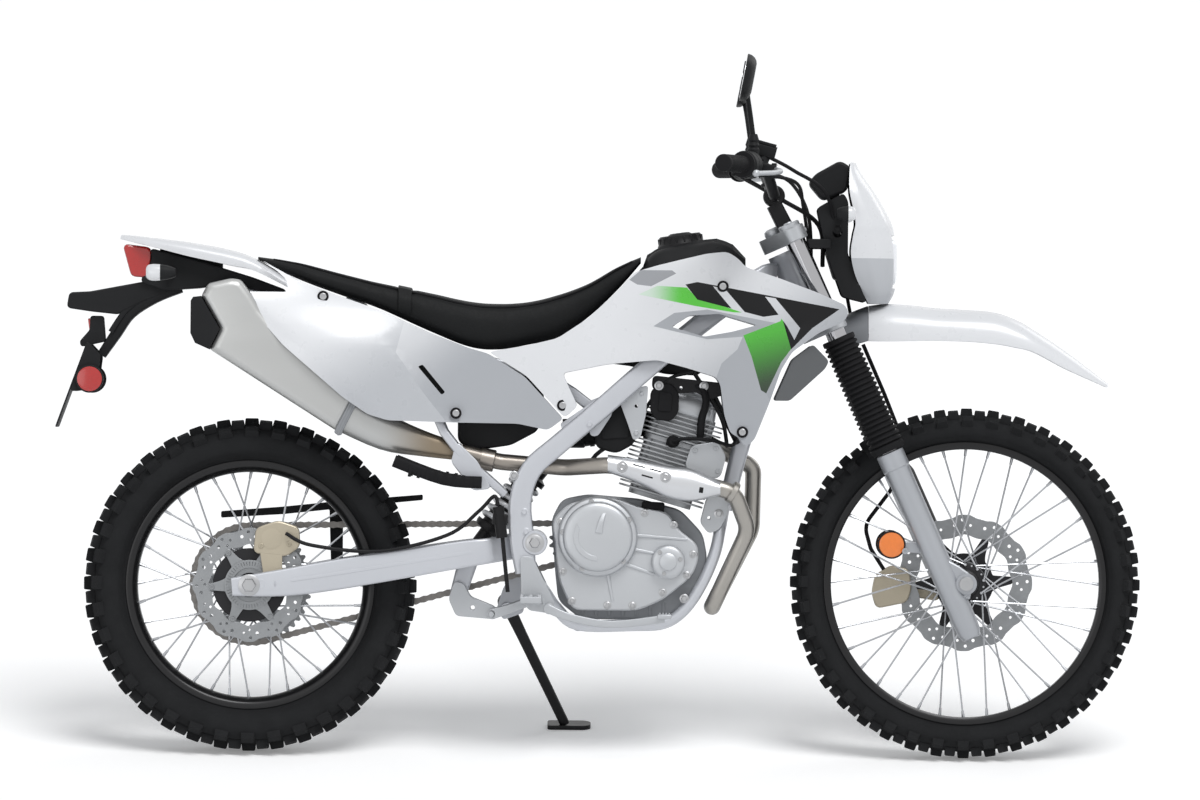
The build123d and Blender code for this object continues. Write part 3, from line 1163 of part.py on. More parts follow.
def foot_pieces():
    """Nodes of the foot pegs, pillion pegs, pedal and lever."""
    pegs = []
    pillion = []
    for side in (1, -1):
        pegs.append(fused(
            beam([(548, side * 124, 300, 20, 10), (544, side * 226, 304, 24, 9)], 0.35, (1, 0, 0)),
            slab([(522, 384), (544, 384), (588, 296), (584, 276), (540, 282), (526, 300)], *sorted((side * 121.5, side * 128))),
        ))
        pillion.append(fused(
            beam([(446, side * 128.3, 526, 12, 12), (372, side * 128.3, 532, 12, 12), (276, side * 126, 566, 14, 12)]),
        ))
    pedal = beam([(574, -134, 286, 4, 9), (620, -138, 268, 4, 8), (700, -144, 256, 4, 8), (800, -150, 268, 4, 8)])
    pedal_pin = drum(578, 285, 7, -136, -128.3)
    toe = beam([(800, -128, 272, 14, 5), (800, -172, 272, 14, 5)], 0.35, (1, 0, 0))
    lever = beam([(630, 128, 338, 4, 8), (690, 134, 316, 4, 7), (748, 138, 308, 4, 7)])
    lever_shaft = drum(640, 336, 8, 96.3, 130)
    tip = rod((748, 134, 309), (748, 176, 309), 8, 8)
    return {
        "footpegs": group(pegs, pillion),
        "foot_controls": group(fused(pedal, toe, pedal_pin), fused(lever, lever_shaft, tip)),
    }


def side_stand():
    """Leg from its pivot eye to a flat foot on the leaning bike's ground."""
    pivot = Vector(*STAND_PIVOT)
    down = Vector(*STAND_DOWN).normalized()
    axis = stand_axis()
    knee = pivot + down * (STAND_LENGTH * 0.5)
    sole = pivot + down * STAND_LENGTH
    leg = beam([
        tuple(pivot) + (6.5, 15), tuple(knee) + (8, 11), tuple(sole) + (8, 10),
    ], 0.4, tuple(axis))
    eye = rod(tuple(pivot - axis * 7), tuple(pivot + axis * 9), 17)
    ground = Plane(origin=(sole.X, sole.Y, sole.Y * GROUND_SLOPE), x_dir=(1, 0, 0), z_dir=(0, -math.sin(LEAN_RAD), math.cos(LEAN_RAD)))
    foot = ground * Pos(0, 6, 0) * Box(84, 56, 9, align=(Align.CENTER, Align.CENTER, Align.MIN))
    below = ground * Box(400, 400, 100, align=(Align.CENTER, Align.CENTER, Align.MAX))
    bore = rod(tuple(pivot - axis * 20), tuple(pivot + axis * 20), STAND_PIN_R + RUN_GAP)
    return fused(leg, eye, foot) - below - bore


def stand_axis():
    """Unit vector of the side stand's hinge, square to the leg's two end positions."""
    return Vector(*STAND_DOWN).cross(Vector(*STAND_FOLDED)).normalized()


# ------------------------------------------------------------------ assembly
def bodywork():
    """Nodes of the painted panels, in pairs."""
    return {
        "side_shrouds": group(both_sides(shroud())),
        "side_covers": group(both_sides(side_cover())),
    }


def chassis():
    """Nodes of the frame and what is bolted to it."""
    return {
        "frame": frame(),
        "subframe": subframe(),
        "swingarm": swingarm(),
        "rear_axle": rear_axle(),
        "rear_linkage": rear_linkage(),
        "rear_shock": rear_shock(),
        "crankcase": crankcase(),
        "engine_covers": engine_covers(),
        "rear_caliper": rear_caliper(),
        "side_stand": side_stand(),
    }


def machine():
    """Every node of the upright bike, by name."""
    nodes = {}
    for section in (front_wheel, steering, handlebar, nose, front_fender, front_brake):
        for name, shape in section().items():
            nodes[name] = Pos(*FRONT_MOVE) * shape
    for section in (rear_wheel, chassis, engine, drive, seat_and_tank, bodywork, tail, foot_pieces):
        nodes.update(section())
    return nodes


def parked(nodes):
    """Location that leans the upright bike on its stand and puts its bottom centre at the origin."""
    lean = Rot(-LEAN, 0, 0)
    boxes = [(lean * shape).bounding_box() for shape in nodes.values()]
    middle_x = (min(box.min.X for box in boxes) + max(box.max.X for box in boxes)) / 2
    middle_y = (min(box.min.Y for box in boxes) + max(box.max.Y for box in boxes)) / 2
    bottom = min(box.min.Z for box in boxes)
    return Pos(-middle_x, -middle_y, -bottom) * lean


def main():
    """Build the bike, park it and write every node."""
    nodes = machine()
    place = parked(nodes)
    os.makedirs("parts", exist_ok=True)
    for name, shape in nodes.items():
        export_step(place * shape, f"parts/{name}.step")


if __name__ == "__main__":
    main()
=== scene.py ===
"""Looks of a dual sport motorcycle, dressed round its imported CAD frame.

Shapes are given in millimetres of the upright machine: x forward from the rear axle, y to the rider's left,
z up from the ground. Every piece then leans with the parked frame. An "across" value is a distance from
the machine's middle plane.
"""
from __future__ import annotations

import json
import logging
import math
from dataclasses import dataclass
from enum import Enum
from typing import Callable, Iterable, Sequence

import bmesh
import bpy
from mathutils import Matrix, Quaternion, Vector

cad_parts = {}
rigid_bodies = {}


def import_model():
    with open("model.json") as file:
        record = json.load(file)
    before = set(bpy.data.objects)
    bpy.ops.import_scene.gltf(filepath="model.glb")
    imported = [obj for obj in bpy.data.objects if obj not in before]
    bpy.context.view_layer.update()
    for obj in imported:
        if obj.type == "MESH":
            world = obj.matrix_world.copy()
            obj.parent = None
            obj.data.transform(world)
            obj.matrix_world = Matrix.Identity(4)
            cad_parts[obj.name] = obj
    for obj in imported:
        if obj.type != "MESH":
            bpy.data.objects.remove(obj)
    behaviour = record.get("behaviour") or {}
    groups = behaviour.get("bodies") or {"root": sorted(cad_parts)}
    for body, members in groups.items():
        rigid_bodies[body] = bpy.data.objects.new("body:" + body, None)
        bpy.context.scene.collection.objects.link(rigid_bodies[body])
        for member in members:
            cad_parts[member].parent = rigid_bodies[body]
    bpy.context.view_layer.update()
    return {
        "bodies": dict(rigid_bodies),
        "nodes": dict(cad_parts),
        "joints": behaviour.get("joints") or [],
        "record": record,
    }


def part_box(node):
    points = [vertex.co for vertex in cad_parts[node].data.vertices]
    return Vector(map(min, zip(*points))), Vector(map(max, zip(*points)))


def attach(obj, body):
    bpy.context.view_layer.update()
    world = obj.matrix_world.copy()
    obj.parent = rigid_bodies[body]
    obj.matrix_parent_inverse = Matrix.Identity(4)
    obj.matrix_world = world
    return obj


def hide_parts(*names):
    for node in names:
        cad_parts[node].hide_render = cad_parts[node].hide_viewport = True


LOG = logging.getLogger("motorcycle")
MM = 0.001
LEAN = math.radians(10.0)
WHEELBASE = 1380.0
RAKE = math.radians(24.5)
FORK_OFFSET = 62.0
FRONT_AXLE_Z = 340.0
REAR_AXLE_Z = 323.94
TURN = 2 * math.pi
CHAIN_PITCH = 15.875
REAR_TEETH, FRONT_TEETH = 45, 14
CHAIN_Y = 73.0
GEARBOX_SHAFT = (615.0, 412.0)

AHEAD = (1, 0, 0)
LEFT = (0, 1, 0)
RIGHT = (0, -1, 0)
UP = (0, 0, 1)

CREASE, RIDGE = 28.0, 35.0
COAT_ROUGHNESS = 0.12
RELIEF_DEPTH = 0.0006
BRUSHED_STRETCH = (0.06, 1.0, 1.0)
LEAST_DRIFT, MOST_DRIFT = 0.01, 0.08

Flat = tuple[float, float]
Point = tuple[float, float, float]
MeshData = tuple[list[Vector], list[tuple[int, ...]]]


class Body(Enum):
    """Rigid bodies of the frame."""

    CHASSIS = "chassis"
    STEERING = "steering"
    FRONT_WHEEL = "front_wheel"
    REAR_WHEEL = "rear_wheel"
    STAND = "stand"


class Grain(Enum):
    """Fine relief of a finish."""

    SMOOTH = "smooth"
    CAST = "cast"
    LEATHER = "leather"
    BRUSHED = "brushed"


# ---------------------------------------------------------------- finishes
@dataclass(frozen=True)
class Finish:
    """One surface finish, from which a procedural material is made.

    Args:
        name: Name of the finish, which its material's name ends with.
        slot: Material slot of the record that it belongs to; not used.
        color: Linear base colour.
        mottle: Share by which the colour drifts from place to place.
        mottle_scale: Fineness of that drift.
        grain: Kind of fine relief.
        relief: Strength of the fine relief.
        relief_scale: Fineness of the fine relief.
    """

    name: str
    slot: str
    color: Point
    metallic: float = 0.0
    roughness: float = 0.5
    coat: float = 0.0
    mottle: float = 0.05
    mottle_scale: float = 9.0
    grain: Grain = Grain.SMOOTH
    relief: float = 0.0
    relief_scale: float = 700.0
    specular: float = 0.5

    def material(self) -> bpy.types.Material:
        """Make the material, or return it if it is there already."""
        name = f"look_{self.name}"
        found = bpy.data.materials.get(name)
        if found:
            return found
        made = bpy.data.materials.new(name)
        made.use_nodes = True
        made.diffuse_color = (*self.color, 1.0)
        nodes, links = made.node_tree.nodes, made.node_tree.links
        shader = nodes["Principled BSDF"]
        shader.inputs["Metallic"].default_value = self.metallic
        shader.inputs["Coat Weight"].default_value = self.coat
        shader.inputs["Coat Roughness"].default_value = COAT_ROUGHNESS
        shader.inputs["Specular IOR Level"].default_value = self.specular
        place = nodes.new("ShaderNodeTexCoord").outputs["Object"]
        drift = self._noise(nodes, links, place, self.mottle_scale, 4.0)
        links.new(self.paint(nodes, links, place, drift), shader.inputs["Base Color"])
        spread = nodes.new("ShaderNodeMapRange")
        drift_by = min(MOST_DRIFT, LEAST_DRIFT + self.mottle)
        spread.inputs["To Min"].default_value = max(self.roughness - drift_by, 0.02)
        spread.inputs["To Max"].default_value = min(self.roughness + drift_by, 1.0)
        fine = self._noise(nodes, links, place, self.mottle_scale * 6, 3.0)
        links.new(fine, spread.inputs["Value"])
        links.new(spread.outputs["Result"], shader.inputs["Roughness"])
        if self.relief > 0:
            links.new(self._relief(nodes, links, place), shader.inputs["Normal"])
        return made

    def paint(self, nodes: bpy.types.Nodes, links: bpy.types.NodeLinks, place: bpy.types.NodeSocket,
              drift: bpy.types.NodeSocket) -> bpy.types.NodeSocket:
        """Colour of the finish, drifting by its mottle.

        Args:
            place: Object coordinates.
            drift: Slow noise from 0 to 1.

        Returns:
            The colour socket.
        """
        low = tuple(c * (1 - self.mottle) for c in self.color)
        high = tuple(min(c * (1 + self.mottle), 1.0) for c in self.color)
        return mixed(nodes, links, drift, low, high)

    def _noise(self, nodes: bpy.types.Nodes, links: bpy.types.NodeLinks, place: bpy.types.NodeSocket,
               scale: float, detail: float) -> bpy.types.NodeSocket:
        """Noise of the given scale, drawn out along x on brushed metal."""
        if self.grain is Grain.BRUSHED:
            drawn = nodes.new("ShaderNodeMapping")
            drawn.inputs["Scale"].default_value = BRUSHED_STRETCH
            links.new(place, drawn.inputs["Vector"])
            place = drawn.outputs["Vector"]
        noise = nodes.new("ShaderNodeTexNoise")
        noise.inputs["Scale"].default_value = scale
        noise.inputs["Detail"].default_value = detail
        links.new(place, noise.inputs["Vector"])
        return noise.outputs["Fac"]

    def _relief(self, nodes: bpy.types.Nodes, links: bpy.types.NodeLinks,
                place: bpy.types.NodeSocket) -> bpy.types.NodeSocket:
        """Bump of the grain."""
        if self.grain is Grain.LEATHER:
            cells = nodes.new("ShaderNodeTexVoronoi")
            cells.feature = "SMOOTH_F1"
            cells.inputs["Scale"].default_value = self.relief_scale
            links.new(place, cells.inputs["Vector"])
            height = cells.outputs["Distance"]
        else:
            height = self._noise(nodes, links, place, self.relief_scale, 2.0)
        bump = nodes.new("ShaderNodeBump")
        bump.inputs["Strength"].default_value = self.relief
        bump.inputs["Distance"].default_value = RELIEF_DEPTH
        links.new(height, bump.inputs["Height"])
        return bump.outputs["Normal"]


@dataclass(frozen=True)
class FadeFinish(Finish):
    """Finish whose colour turns into another one along a line of the upright machine.

    Args:
        other: Colour at the far end.
        start: Place in metres where the first colour ends.
        end: Place in metres where the other colour is full.
    """

    other: Point = (0.5, 0.5, 0.5)
    start: Point = (0.0, 0.0, 0.0)
    end: Point = (1.0, 0.0, 0.0)

    def paint(self, nodes: bpy.types.Nodes, links: bpy.types.NodeLinks, place: bpy.types.NodeSocket,
              drift: bpy.types.NodeSocket) -> bpy.types.NodeSocket:
        """Colour that fades along the line from start to end."""
        line = Vector(self.end) - Vector(self.start)
        along = nodes.new("ShaderNodeVectorMath")
        along.operation = "DOT_PRODUCT"
        along.inputs[1].default_value = line / line.length_squared
        links.new(place, along.inputs[0])
        share = nodes.new("ShaderNodeMapRange")
        share.interpolation_type = "SMOOTHSTEP"
        base = Vector(self.start).dot(line) / line.length_squared
        share.inputs["From Min"].default_value = base
        share.inputs["From Max"].default_value = base + 1.0
        links.new(along.outputs["Value"], share.inputs["Value"])
        plain = super().paint(nodes, links, place, drift)
        return mixed(nodes, links, share.outputs["Result"], plain, self.other)


def mixed(nodes: bpy.types.Nodes, links: bpy.types.NodeLinks, share: bpy.types.NodeSocket,
          first: Point | bpy.types.NodeSocket, second: Point | bpy.types.NodeSocket) -> bpy.types.NodeSocket:
    """Mix two colours, each given as a value or a socket.

    Returns:
        The mixed colour's socket.
    """
    mix = nodes.new("ShaderNodeMix")
    mix.data_type = "RGBA"
    links.new(share, mix.inputs["Factor"])
    for socket, value in ((mix.inputs["A"], first), (mix.inputs["B"], second)):
        if isinstance(value, tuple):
            socket.default_value = (*value, 1.0)
        else:
            links.new(value, socket)
    return mix.outputs["Result"]


WHITE = (0.72, 0.73, 0.75)
GLOSS = {"roughness": 0.28, "coat": 0.35, "mottle": 0.015, "relief": 0.015}
TYRE_RUBBER = Finish("tyre_rubber", "tyre_rubber", (0.016, 0.0165, 0.0175), specular=0.12, roughness=0.85, mottle=0.25,
                     mottle_scale=30, relief=0.35, relief_scale=500)
BLACK_RIM = Finish("black_rim", "black_rim", (0.012, 0.012, 0.013), metallic=0.6, roughness=0.32, coat=0.15)
BLACK_HUB = Finish("black_hub", "black_hub", (0.02, 0.02, 0.022), specular=0.3, metallic=0.4, roughness=0.42)
SPOKE_STEEL = Finish("spoke_steel", "spoke_steel", (0.42, 0.43, 0.45), metallic=1.0, roughness=0.28)
DISC_STEEL = Finish("disc_steel", "disc_steel", (0.27, 0.28, 0.29), metallic=0.85, roughness=0.38, mottle=0.12,
                    mottle_scale=60, relief=0.15, relief_scale=1500)
FRAME_PAINT = Finish("frame_paint", "frame_paint", (0.52, 0.535, 0.57), metallic=0.35, roughness=0.38, coat=0.25,
                     relief=0.05, relief_scale=1200)
CAST_ALLOY = Finish("cast_alloy", "cast_alloy", (0.44, 0.455, 0.475), metallic=0.6, roughness=0.42, grain=Grain.CAST,
                    relief=0.2, relief_scale=900)
FORK_ALLOY = Finish("fork_alloy", "fork_alloy", (0.38, 0.395, 0.42), metallic=0.55, roughness=0.36, relief=0.06)
FORK_CHROME = Finish("fork_chrome", "fork_chrome", (0.42, 0.42, 0.435), metallic=1.0, roughness=0.1, mottle=0.02)
ENGINE_SILVER = Finish("engine_silver", "engine_silver", (0.48, 0.495, 0.515), metallic=0.6, roughness=0.4,
                       grain=Grain.CAST, relief=0.22, relief_scale=800)
FIN_ALLOY = Finish("fin_alloy", "fin_alloy", (0.4, 0.41, 0.425), metallic=0.6, roughness=0.5, grain=Grain.CAST,
                   mottle=0.14, relief=0.35, relief_scale=700)
GOLD_ALLOY = Finish("gold_alloy", "cast_alloy", (0.42, 0.375, 0.29), metallic=0.6, roughness=0.42, grain=Grain.CAST,
                    mottle=0.1, relief=0.2, relief_scale=900)
MOUNT_GREY = Finish("mount_grey", "white_plastic", (0.2, 0.21, 0.225), roughness=0.42, mottle=0.05, relief=0.06)
DARK_ALLOY = Finish("dark_alloy", "engine_silver", (0.24, 0.25, 0.265), metallic=0.5, roughness=0.5, grain=Grain.CAST,
                    mottle=0.14, relief=0.3, relief_scale=700)
EXHAUST_STEEL = FadeFinish("exhaust_steel", "exhaust_steel", (0.36, 0.345, 0.32), metallic=0.9, roughness=0.34,
                           grain=Grain.BRUSHED, mottle=0.14, other=(0.3, 0.27, 0.24), start=(0.95, 0, 0),
                           end=(0.4, 0, 0))
MUFFLER_STEEL = FadeFinish("muffler_steel", "disc_steel", (0.46, 0.465, 0.46), metallic=0.7, roughness=0.36,
                           grain=Grain.BRUSHED, mottle=0.06, relief=0.12, relief_scale=900,
                           other=(0.26, 0.21, 0.15), start=(0.24, 0, 0), end=(0.36, 0, 0))
SHIELD_STEEL = Finish("shield_steel", "disc_steel", (0.6, 0.61, 0.63), metallic=0.8, roughness=0.3, relief=0.05)
BOLT_STEEL = Finish("bolt_steel", "bolt_steel", (0.42, 0.425, 0.435), metallic=0.95, roughness=0.34, mottle=0.1)
CHAIN_STEEL = Finish("chain_steel", "chain_steel", (0.22, 0.21, 0.2), metallic=0.9, roughness=0.4, mottle=0.3,
                     mottle_scale=90)
WHITE_PLASTIC = Finish("white_plastic", "white_plastic", WHITE, **GLOSS)
GREY_PLASTIC = Finish("grey_plastic", "white_plastic", (0.48, 0.495, 0.52), roughness=0.42, coat=0.1, mottle=0.04,
                      relief=0.05)
PANEL_FADE = FadeFinish("panel_fade", "white_plastic", WHITE, **GLOSS, other=(0.33, 0.345, 0.37),
                        start=(0.83, 0, 0.86), end=(0.96, 0, 0.66))
GREEN_FADE = FadeFinish("green_fade", "white_plastic", (0.07, 0.5, 0.03), roughness=0.28, coat=0.4, mottle=0.02,
                        other=(0.012, 0.03, 0.012), start=(0.985, 0, 0.86), end=(1.03, 0, 0.72))
GREEN_BAND = FadeFinish("green_band", "white_plastic", (0.6, 0.72, 0.62), roughness=0.28, coat=0.4, mottle=0.02,
                        other=(0.085, 0.55, 0.035), start=(0.76, 0, 0), end=(0.83, 0, 0))
GRAPHIC_BLACK = Finish("graphic_black", "white_plastic", (0.006, 0.006, 0.007), specular=0.2, roughness=0.35,
                       coat=0.05)
GRAPHIC_GREY = Finish("graphic_grey", "white_plastic", (0.3, 0.31, 0.33), roughness=0.3, coat=0.4)
BLACK_PLASTIC = Finish("black_plastic", "black_plastic", (0.011, 0.0115, 0.0125), specular=0.16, roughness=0.55,
                       mottle=0.12, relief=0.25, relief_scale=1100)
BLACK_RUBBER = Finish("black_rubber", "black_rubber", (0.009, 0.009, 0.01), specular=0.14, roughness=0.65, mottle=0.15,
                      relief=0.12)
SEAT_VINYL = Finish("seat_vinyl", "seat_vinyl", (0.007, 0.0075, 0.008), specular=0.14, roughness=0.6,
                    grain=Grain.LEATHER, mottle=0.15, mottle_scale=20, relief=0.45, relief_scale=420)
LAMP_GLASS = Finish("lamp_glass", "lamp_glass", (0.85, 0.87, 0.9), roughness=0.08, coat=0.6, metallic=0.0,
                    mottle=0.02)
MIRROR_GLASS = Finish("mirror_glass", "lamp_glass", (0.75, 0.77, 0.8), metallic=1.0, roughness=0.05, mottle=0.01)
RED_LENS = Finish("red_lens", "red_lens", (0.42, 0.012, 0.01), roughness=0.2, coat=0.6, mottle=0.08,
                  mottle_scale=150, relief=0.3, relief_scale=260)
ORANGE_LENS = Finish("orange_lens", "orange_lens", (0.8, 0.2, 0.025), roughness=0.22, coat=0.6, mottle=0.08,
                     mottle_scale=150, relief=0.3, relief_scale=260)
CLEAR_LENS = Finish("clear_lens", "clear_lens", (0.72, 0.73, 0.75), roughness=0.15, coat=0.6, mottle=0.03,
                    mottle_scale=120, relief=0.3, relief_scale=240)
BLACK_METAL = Finish("black_metal", "black_metal", (0.013, 0.013, 0.014), specular=0.2, metallic=0.3, roughness=0.42,
                     mottle=0.1, relief=0.1)
SPRING_PAINT = Finish("spring_paint", "black_metal", (0.55, 0.56, 0.58), metallic=0.3, roughness=0.35, coat=0.3)
SCREEN_GLASS = Finish("screen_glass", "black_plastic", (0.05, 0.06, 0.055), roughness=0.12, coat=0.6, mottle=0.05)
# Painted shade: this dark grey stands for a shroud's inner side in shadow, not for a part's own colour.
FAR_SIDE_SHADE = Finish("far_side_shade", "black_plastic", (0.09, 0.095, 0.1), roughness=0.5, mottle=0.06, relief=0.15)
SILVER_PLASTIC = Finish("silver_plastic", "white_plastic", (0.36, 0.375, 0.4), metallic=0.15, roughness=0.38,
                        coat=0.25, mottle=0.02, relief=0.02)
COVER_SILVER = FadeFinish("cover_silver", "white_plastic", (0.66, 0.67, 0.69), roughness=0.34, coat=0.3, mottle=0.02,
                          relief=0.015, other=(0.38, 0.395, 0.42), start=(0.3, 0, 0.85), end=(0.4, 0, 0.73))
COVER_FADE = FadeFinish("cover_fade", "white_plastic", WHITE, **GLOSS, other=(0.46, 0.475, 0.5), start=(0.16, 0, 0.84),
                        end=(0.25, 0, 0.7))


# ---------------------------------------------------------------- mesh data
def merged(*parts: MeshData) -> MeshData:
    """Join several meshes' data into one."""
    vertices: list[Vector] = []
    faces: list[tuple[int, ...]] = []
    for points, polygons in parts:
        shift = len(vertices)
        vertices.extend(points)
        faces.extend(tuple(i + shift for i in polygon) for polygon in polygons)
    return vertices, faces


def moved(data: MeshData, matrix: Matrix) -> MeshData:
    """Mesh data carried by a matrix."""
    return [matrix @ v for v in data[0]], list(data[1])


def shifted(data: MeshData, x: float = 0.0, y: float = 0.0, z: float = 0.0) -> MeshData:
    """Mesh data moved by a distance."""
    return moved(data, Matrix.Translation((x, y, z)))


def mirrored(data: MeshData) -> MeshData:
    """Mesh data on the other side of the machine."""
    return [Vector((v.x, -v.y, v.z)) for v in data[0]], [tuple(reversed(f)) for f in data[1]]


def both(data: MeshData) -> MeshData:
    """Mesh data with its mirror image."""
    return merged(data, mirrored(data))


def ring_faces(rings: int, size: int, wrap_rings: bool, wrap_size: bool) -> list[tuple[int, ...]]:
    """Quads between consecutive rings of points.

    Args:
        rings: Number of rings.
        size: Points in each ring.
        wrap_rings: Whether the last ring joins the first.
        wrap_size: Whether each ring is closed.

    Returns:
        The faces as vertex numbers.
    """
    faces = []
    for i in range(rings if wrap_rings else rings - 1):
        for j in range(size if wrap_size else size - 1):
            a, b = i * size + j, i * size + (j + 1) % size
            n = (i + 1) % rings * size
            faces.append((a, b, n + (j + 1) % size, n + j))
    return faces


def lathe(profile: Sequence[Flat], segments: int = 96) -> MeshData:
    """Solid turned about the y axis from a closed profile of (y, radius) points."""
    points = []
    for i in range(segments):
        angle = TURN * i / segments
        points.extend(Vector((r * math.cos(angle), y, r * math.sin(angle))) for y, r in profile)
    return points, ring_faces(segments, len(profile), True, True)


def turned(profile: Sequence[Flat], start: Point | Vector, axis: Point | Vector, segments: int = 32) -> MeshData:
    """Solid turned about a line, from a closed profile of (distance along it, radius) points."""
    return moved(lathe(profile, segments), Matrix.Translation(start) @ turn_onto(LEFT, axis))


def turn_onto(start: Point, end: Vector | Point) -> Matrix:
    """Rotation that carries one direction onto another."""
    return Vector(start).rotation_difference(Vector(end).normalized()).to_matrix().to_4x4()


def disc_profile(low: float, high: float, radius: float, bore: float = 0.0, edge: float = 0.8) -> list[Flat]:
    """Profile of a plain turned disc with broken edges, with a bore if it has one."""
    inner = max(bore, 0.05)
    return [(low, inner), (low, radius - edge), (low + edge, radius), (high - edge, radius), (high, radius - edge),
            (high, inner)]


def drum(x: float, z: float, radius: float, low: float, high: float, bore: float = 0.0, edge: float = 0.8,
         segments: int = 40) -> MeshData:
    """Round piece along y with broken edges."""
    return shifted(lathe(disc_profile(low, high, radius, bore, edge), segments), x, 0, z)


def frames_along(path: Sequence[Vector]) -> list[tuple[Vector, Vector, Vector]]:
    """Position and two side directions at each point of a path, carried along without twist."""
    frames = []
    tangent = (path[1] - path[0]).normalized()
    side = tangent.cross(Vector(UP))
    if side.length < 0.05:
        side = tangent.cross(Vector(LEFT))
    side.normalize()
    for i, point in enumerate(path):
        ahead = path[min(i + 1, len(path) - 1)] - path[max(i - 1, 0)]
        direction = ahead.normalized()
        side = (side - direction * side.dot(direction)).normalized()
        frames.append((point, side, direction.cross(side)))
    return frames


def tube(path: Sequence[Vector | Point], radius: float | Sequence[float], sides: int = 16) -> MeshData:
    """Round tube along a path, with one radius or one for each point."""
    line = [Vector(p) for p in path]
    radii = [radius] * len(line) if isinstance(radius, (int, float)) else list(radius)
    points = []
    for (centre, u, v), r in zip(frames_along(line), radii):
        for j in range(sides):
            angle = TURN * j / sides
            points.append(centre + (u * math.cos(angle) + v * math.sin(angle)) * r)
    faces = ring_faces(len(line), sides, False, True)
    faces.append(tuple(range(sides)))
    faces.append(tuple(range(len(points) - sides, len(points))))
    return points, faces


def fillet(points: Sequence[Point], radius: float | Sequence[float], steps: int = 6) -> list[Vector]:
    """Path along straight runs joined by tangent arcs."""
    corners = [Vector(p) for p in points]
    radii = [radius] * (len(corners) - 2) if isinstance(radius, (int, float)) else list(radius)
    path = [corners[0]]
    for before, corner, after, bend in zip(corners, corners[1:], corners[2:], radii):
        back, ahead = (before - corner), (after - corner)
        half = math.pi / 2 - back.angle(ahead) / 2
        reach = min(bend * math.tan(half), back.length * 0.49, ahead.length * 0.49)
        start = corner + back.normalized() * reach
        end = corner + ahead.normalized() * reach
        for i in range(steps + 1):
            t = i / steps
            path.append(start.lerp(corner, t).lerp(corner.lerp(end, t), t))
    path.append(corners[-1])
    return path


def spline(points: Sequence[Point | Flat | Vector], spans: int = 6) -> list[Vector]:
    """Smooth line through points, with a number of steps between neighbours."""
    knots = [Vector(p) for p in points]
    line = []
    for i in range(len(knots) - 1):
        p0 = knots[max(i - 1, 0)]
        p1, p2 = knots[i], knots[i + 1]
        p3 = knots[min(i + 2, len(knots) - 1)]
        for step in range(spans):
            t = step / spans
            line.append(0.5 * ((2 * p1) + (p2 - p0) * t + (2 * p0 - 5 * p1 + 4 * p2 - p3) * t * t
                               + (3 * p1 - p0 - 3 * p2 + p3) * t ** 3))
    line.append(knots[-1])
    return line


def rounded(outline: Sequence[Flat], radius: float, steps: int = 4) -> list[Flat]:
    """Closed flat outline with its corners rounded."""
    result: list[Flat] = []
    count = len(outline)
    for i in range(count):
        before, corner, after = (Vector(outline[(i + k) % count]) for k in (-1, 0, 1))
        back, ahead = before - corner, after - corner
        reach = min(radius, back.length * 0.45, ahead.length * 0.45)
        start = corner + back.normalized() * reach
        end = corner + ahead.normalized() * reach
        for step in range(steps + 1):
            t = step / steps
            p = start.lerp(corner, t).lerp(corner.lerp(end, t), t)
            result.append((p.x, p.y))
    return result


def polar(reach: float, angle: float) -> Flat:
    """Flat place at a distance and an angle from the origin."""
    return reach * math.cos(angle), reach * math.sin(angle)


def circle(x: float, z: float, radius: float, steps: int = 16) -> list[Flat]:
    """Closed flat outline of a circle."""
    return [(x + radius * math.cos(TURN * i / steps), z + radius * math.sin(TURN * i / steps)) for i in range(steps)]


def plate(outline: Sequence[Flat], low: float, high: float, holes: Iterable[Sequence[Flat]] = (),
          edge: float = 0.6) -> MeshData:
    """Flat plate with holes, from an (x, z) outline, between two values of y, with broken edges."""
    curve = bpy.data.curves.new("outline", "CURVE")
    curve.dimensions = "2D"
    curve.fill_mode = "BOTH"
    curve.extrude = max((high - low) / 2 - edge, 0.01)
    curve.bevel_depth = edge
    curve.bevel_resolution = 1
    for ring in (outline, *holes):
        run = curve.splines.new("POLY")
        run.points.add(len(ring) - 1)
        for point, (u, v) in zip(run.points, ring):
            point.co = (u, v, 0, 1)
        run.use_cyclic_u = True
    holder = bpy.data.objects.new("outline", curve)
    mesh = bpy.data.meshes.new_from_object(holder)
    middle = (low + high) / 2
    data = ([Vector((v.co.x, middle - v.co.z, v.co.y)) for v in mesh.vertices],
            [tuple(p.vertices) for p in mesh.polygons])
    bpy.data.objects.remove(holder)
    bpy.data.curves.remove(curve)
    bpy.data.meshes.remove(mesh)
    return data


def slab(outline: Sequence[Flat], corner: float, low: float, high: float, holes: Iterable[Sequence[Flat]] = (),
         edge: float = 0.6) -> MeshData:
    """Flat plate whose outline has rounded corners."""
    return plate(rounded(outline, corner), low, high, holes, edge)


def block(centre: Point, size: Point, edge: float = 2.0, turn: float = 0.0, segments: int = 2) -> MeshData:
    """Box with rounded edges, turned about y by an angle in degrees."""
    made = bmesh.new()
    bmesh.ops.create_cube(made, size=1.0, matrix=Matrix.Diagonal((*size, 1.0)))
    bmesh.ops.bevel(made, geom=list(made.edges), offset=edge, segments=segments, affect="EDGES", profile=0.5)
    made.verts.index_update()
    data = [v.co.copy() for v in made.verts], [tuple(v.index for v in f.verts) for f in made.faces]
    made.free()
    return moved(data, Matrix.Translation(centre) @ Matrix.Rotation(math.radians(turn), 4, "Y"))


def loft(rings: Sequence[Sequence[Vector | Point]], closed: bool = True) -> MeshData:
    """Skin over closed rings of equal size, with capped ends."""
    size = len(rings[0])
    points = [Vector(p) for ring in rings for p in ring]
    faces = ring_faces(len(rings), size, False, closed)
    faces.append(tuple(range(size)))
    faces.append(tuple(range(len(points) - size, len(points))))
    return points, faces


